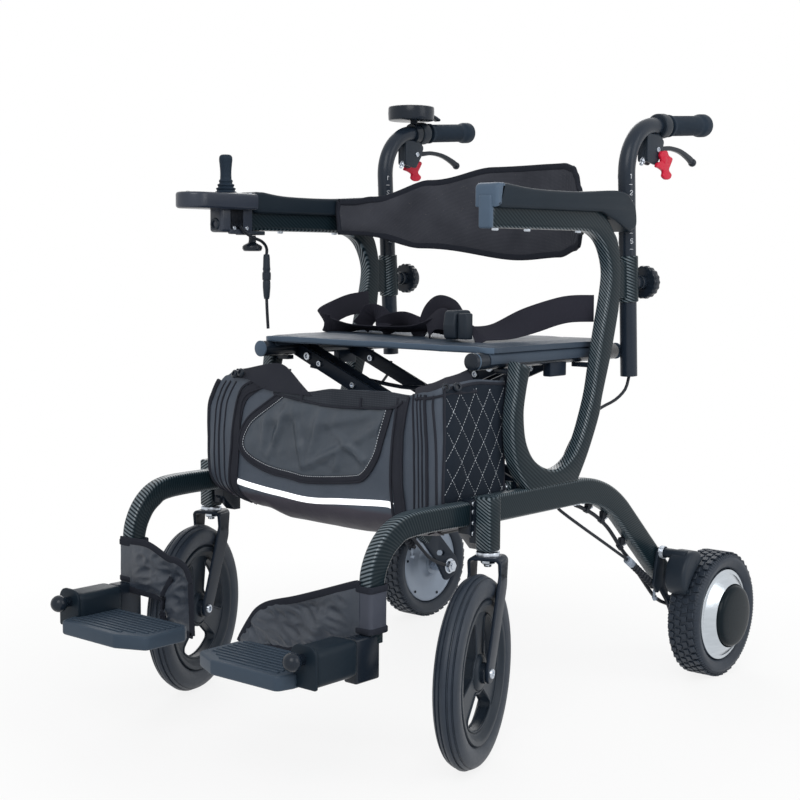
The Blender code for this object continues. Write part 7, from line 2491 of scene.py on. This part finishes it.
def make_display():
    lift = right_handle_shift()
    corner = handle_axis(HANDLE_CORNER_Z)
    direction = grip_direction()
    start = corner + direction * (CLAMP_START - 0.0160)
    end = corner + direction * (CLAMP_START - 0.0010)
    middle = (start + end) / 2

    shell = turned([(0.0, DISPLAY_LOW_Z), (0.0372, DISPLAY_LOW_Z), (0.0388, DISPLAY_LOW_Z + 0.0006),
                    (0.0394, DISPLAY_LOW_Z + 0.0022), (0.0396, DISPLAY_LOW_Z + 0.0060),
                    (0.0400, DISPLAY_LOW_Z + 0.0120), (0.0400, DISPLAY_HIGH_Z - 0.0030),
                    (0.0392, DISPLAY_HIGH_Z - 0.0008), (0.0378, DISPLAY_HIGH_Z),
                    (0.0350, DISPLAY_HIGH_Z - 0.0002), (0.0342, DISPLAY_HIGH_Z - 0.0012),
                    (0.0, DISPLAY_HIGH_Z - 0.0012)],
                   shift(HANDLE_X, DISPLAY_Y, 0), 96)
    ring = turned([(HANDLE_RADIUS, 0.0), (0.0163, 0.0), (0.0175, 0.0014), (0.0175, 0.0136),
                   (0.0163, 0.0150), (HANDLE_RADIUS, 0.0150)], along(start, direction), 48, closed=True)
    post = rod((middle.x, middle.y, middle.z + 0.012), (middle.x, middle.y, DISPLAY_LOW_Z + 0.004), 0.0068,
               0.0060, 32)
    place_piece("display_shell", mirrored(joined([shell, ring, post])), "gloss", "right_handle",
                ["display"],
                lift)
    glass = rod((HANDLE_X, DISPLAY_Y, DISPLAY_HIGH_Z - 0.0020), (HANDLE_X, DISPLAY_Y,
            DISPLAY_HIGH_Z - 0.0006), 0.0341, sides=96)
    place_piece("display_glass", mirrored(glass), "cap", "right_handle", lift=lift)
    buttons = []
    for angle in (math.radians(200), math.radians(340)):
        x = HANDLE_X + BUTTON_CIRCLE * math.cos(angle)
        y = DISPLAY_Y + BUTTON_CIRCLE * math.sin(angle)
        buttons.append(rod((x, y, DISPLAY_HIGH_Z - 0.0008), (x, y, DISPLAY_HIGH_Z + 0.0006), 0.0040,
                           edge=0.0005))
    place_piece("display_buttons", mirrored(joined(buttons)), "rubber", "right_handle", lift=lift)


def make_throttle():
    path = smooth([(THROTTLE_Y + 0.001, THROTTLE_Z), (THROTTLE_Y + 0.015, THROTTLE_Z - 0.0035),
                   (THROTTLE_Y + 0.0285, THROTTLE_Z - 0.0085)], 8)
    sections = []
    for index in range(len(path)):
        t = index / (len(path) - 1)
        sections.append(section(0.0046 + 0.0022 * math.sin(math.pi * 0.5 * t), 0.0028 - 0.0006 * t, 0.0018,
                                4))
    paddle = [sweep([(HANDLE_X, y, z) for y, z in path], sections, (1, 0, 0)),
              rod((HANDLE_X - 0.0050, THROTTLE_Y, THROTTLE_Z), (HANDLE_X + 0.0050, THROTTLE_Y, THROTTLE_Z),
                  0.0034, edge=0.0005)]
    place_piece("throttle_paddle", mirrored(joined(paddle)), "plastic", "throttle", ["throttle_lever"],
                right_handle_shift())


# Camera, light and floor

CAMERA_PLACE = (1.45569, -1.72441, 0.66235)
CAMERA_AZIMUTH = math.radians(40.5725)
CAMERA_HEIGHT_ANGLE = math.radians(5.40845)
CAMERA_ROLL = math.radians(0.33655)
CAMERA_LENS = 67.33
CAMERA_SENSOR = 36.0
WORLD_STRENGTH = 0.55
FLOOR_WHITE = 0.85
FLOOR_HALF = 6.0
LIGHT_TARGET = (0.0, 0.0, 0.5)
LIGHTS = [
    ("key", (1.6, -2.4, 2.6), (2.0, 2.0), 46.0),
    ("side", (3.0, 0.8, 1.6), (1.6, 2.2), 22.0),
    ("rim", (-2.2, 2.4, 2.2), (2.0, 2.0), 28.0),
]


def area_light(name, place, target, size, power):
    light = bpy.data.lights.new(name, "AREA")
    light.shape = "RECTANGLE"
    light.size = size[0]
    light.size_y = size[1]
    light.energy = power
    item = bpy.data.objects.new(name, light)
    item.location = place
    item.rotation_euler = (Vector(target) - Vector(place)).to_track_quat("-Z", "Y").to_euler()
    bpy.context.scene.collection.objects.link(item)


def seen_rays(nodes, links, path):
    """1 for the rays that show the background: straight, in reflections and through glass."""
    total = path.outputs["Is Camera Ray"]
    for name in ("Is Glossy Ray", "Is Transmission Ray"):
        node = nodes.new("ShaderNodeMath")
        node.operation = "MAXIMUM"
        links.new(total, node.inputs[0])
        links.new(path.outputs[name], node.inputs[1])
        total = node.outputs[0]
    return total


def make_world():
    world = bpy.data.worlds.new("studio")
    world.use_nodes = True
    nodes = world.node_tree.nodes
    links = world.node_tree.links
    background = nodes["Background"]
    soft = nodes.new("ShaderNodeBackground")
    soft.inputs["Color"].default_value = (1.0, 1.0, 1.0, 1.0)
    soft.inputs["Strength"].default_value = WORLD_STRENGTH
    background.inputs["Color"].default_value = (1.0, 1.0, 1.0, 1.0)
    background.inputs["Strength"].default_value = 1.0
    path = nodes.new("ShaderNodeLightPath")
    mix = nodes.new("ShaderNodeMixShader")
    links.new(seen_rays(nodes, links, path), mix.inputs["Fac"])
    links.new(soft.outputs["Background"], mix.inputs[1])
    links.new(background.outputs["Background"], mix.inputs[2])
    links.new(mix.outputs["Shader"], nodes["World Output"].inputs["Surface"])
    bpy.context.scene.world = world


def make_camera():
    azimuth = CAMERA_AZIMUTH
    height = CAMERA_HEIGHT_ANGLE
    roll = CAMERA_ROLL
    back = Vector((math.sin(azimuth) * math.cos(height), -math.cos(azimuth) * math.cos(height),
                   math.sin(height)))
    right = Vector((math.cos(azimuth), math.sin(azimuth), 0.0))
    up = back.cross(right)
    rolled_right = right * math.cos(roll) + up * math.sin(roll)
    rolled_up = -right * math.sin(roll) + up * math.cos(roll)
    place = Matrix((rolled_right, rolled_up, back)).transposed().to_4x4()
    place.translation = CAMERA_PLACE
    camera = bpy.data.cameras.new("camera")
    camera.lens = CAMERA_LENS
    camera.sensor_width = CAMERA_SENSOR
    item = bpy.data.objects.new("camera", camera)
    item.matrix_world = place
    bpy.context.scene.collection.objects.link(item)
    bpy.context.scene.camera = item


def floor_material():
    """White where it is seen, faintly shaded near the object, and fully white further out."""
    made = Shader("floor", roughness=0.9)
    made.colour((0.90, 0.905, 0.91, 1.0))
    nodes = made.tree.nodes
    links = made.tree.links
    distance = nodes.new("ShaderNodeVectorMath")
    distance.operation = "LENGTH"
    links.new(made.place, distance.inputs[0])
    white_part = made.spread(distance.outputs["Value"], FLOOR_WHITE, 1.0, 0.55, 1.05)
    path = nodes.new("ShaderNodeLightPath")
    seen = made.math("MULTIPLY", white_part, seen_rays(nodes, links, path))
    white = nodes.new("ShaderNodeEmission")
    white.inputs["Color"].default_value = (1.0, 1.0, 1.0, 1.0)
    white.inputs["Strength"].default_value = 1.0
    mix = nodes.new("ShaderNodeMixShader")
    links.new(seen, mix.inputs["Fac"])
    links.new(made.shader.outputs["BSDF"], mix.inputs[1])
    links.new(white.outputs["Emission"], mix.inputs[2])
    links.new(mix.outputs["Shader"], nodes["Material Output"].inputs["Surface"])
    return made.material


def make_studio():
    floor_mesh = grid([[(-FLOOR_HALF, y, 0.0), (FLOOR_HALF, y, 0.0)] for y in (-FLOOR_HALF, FLOOR_HALF)])
    floor = bpy.data.objects.new("floor", floor_mesh)
    floor_mesh.materials.append(floor_material())
    bpy.context.scene.collection.objects.link(floor)
    make_world()
    for name, place, size, power in LIGHTS:
        area_light(name, place, LIGHT_TARGET, size, power)
    make_camera()


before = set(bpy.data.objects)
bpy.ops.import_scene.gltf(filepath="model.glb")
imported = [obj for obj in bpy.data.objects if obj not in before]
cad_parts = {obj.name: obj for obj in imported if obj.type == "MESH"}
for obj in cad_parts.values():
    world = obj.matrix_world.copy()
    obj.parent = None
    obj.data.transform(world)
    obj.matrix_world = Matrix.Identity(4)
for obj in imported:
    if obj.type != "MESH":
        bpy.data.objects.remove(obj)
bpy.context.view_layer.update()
MATERIALS = make_materials()
make_beams()
make_axle_fittings()
make_arms()
make_arm_rests()
make_frame_cables()
make_brake_boots()
make_rear_tyres()
make_hub_motors()
make_rear_brakes()
make_casters()
make_hangers()
make_footplates()
make_ball_knobs()
make_heel_straps()
make_scissor()
make_seat()
make_seat_hem()
make_seat_sleeves()
make_bag()
make_back_strap()
make_belts()
make_buckle()
make_poles()
make_grips()
make_lever_housings()
make_levers()
make_clamp_knobs()
make_control_body()
make_joystick()
make_thumb_wheel()
make_display()
make_throttle()
make_joystick_lead()
make_studio()
bpy.context.scene.view_settings.view_transform = "Standard"
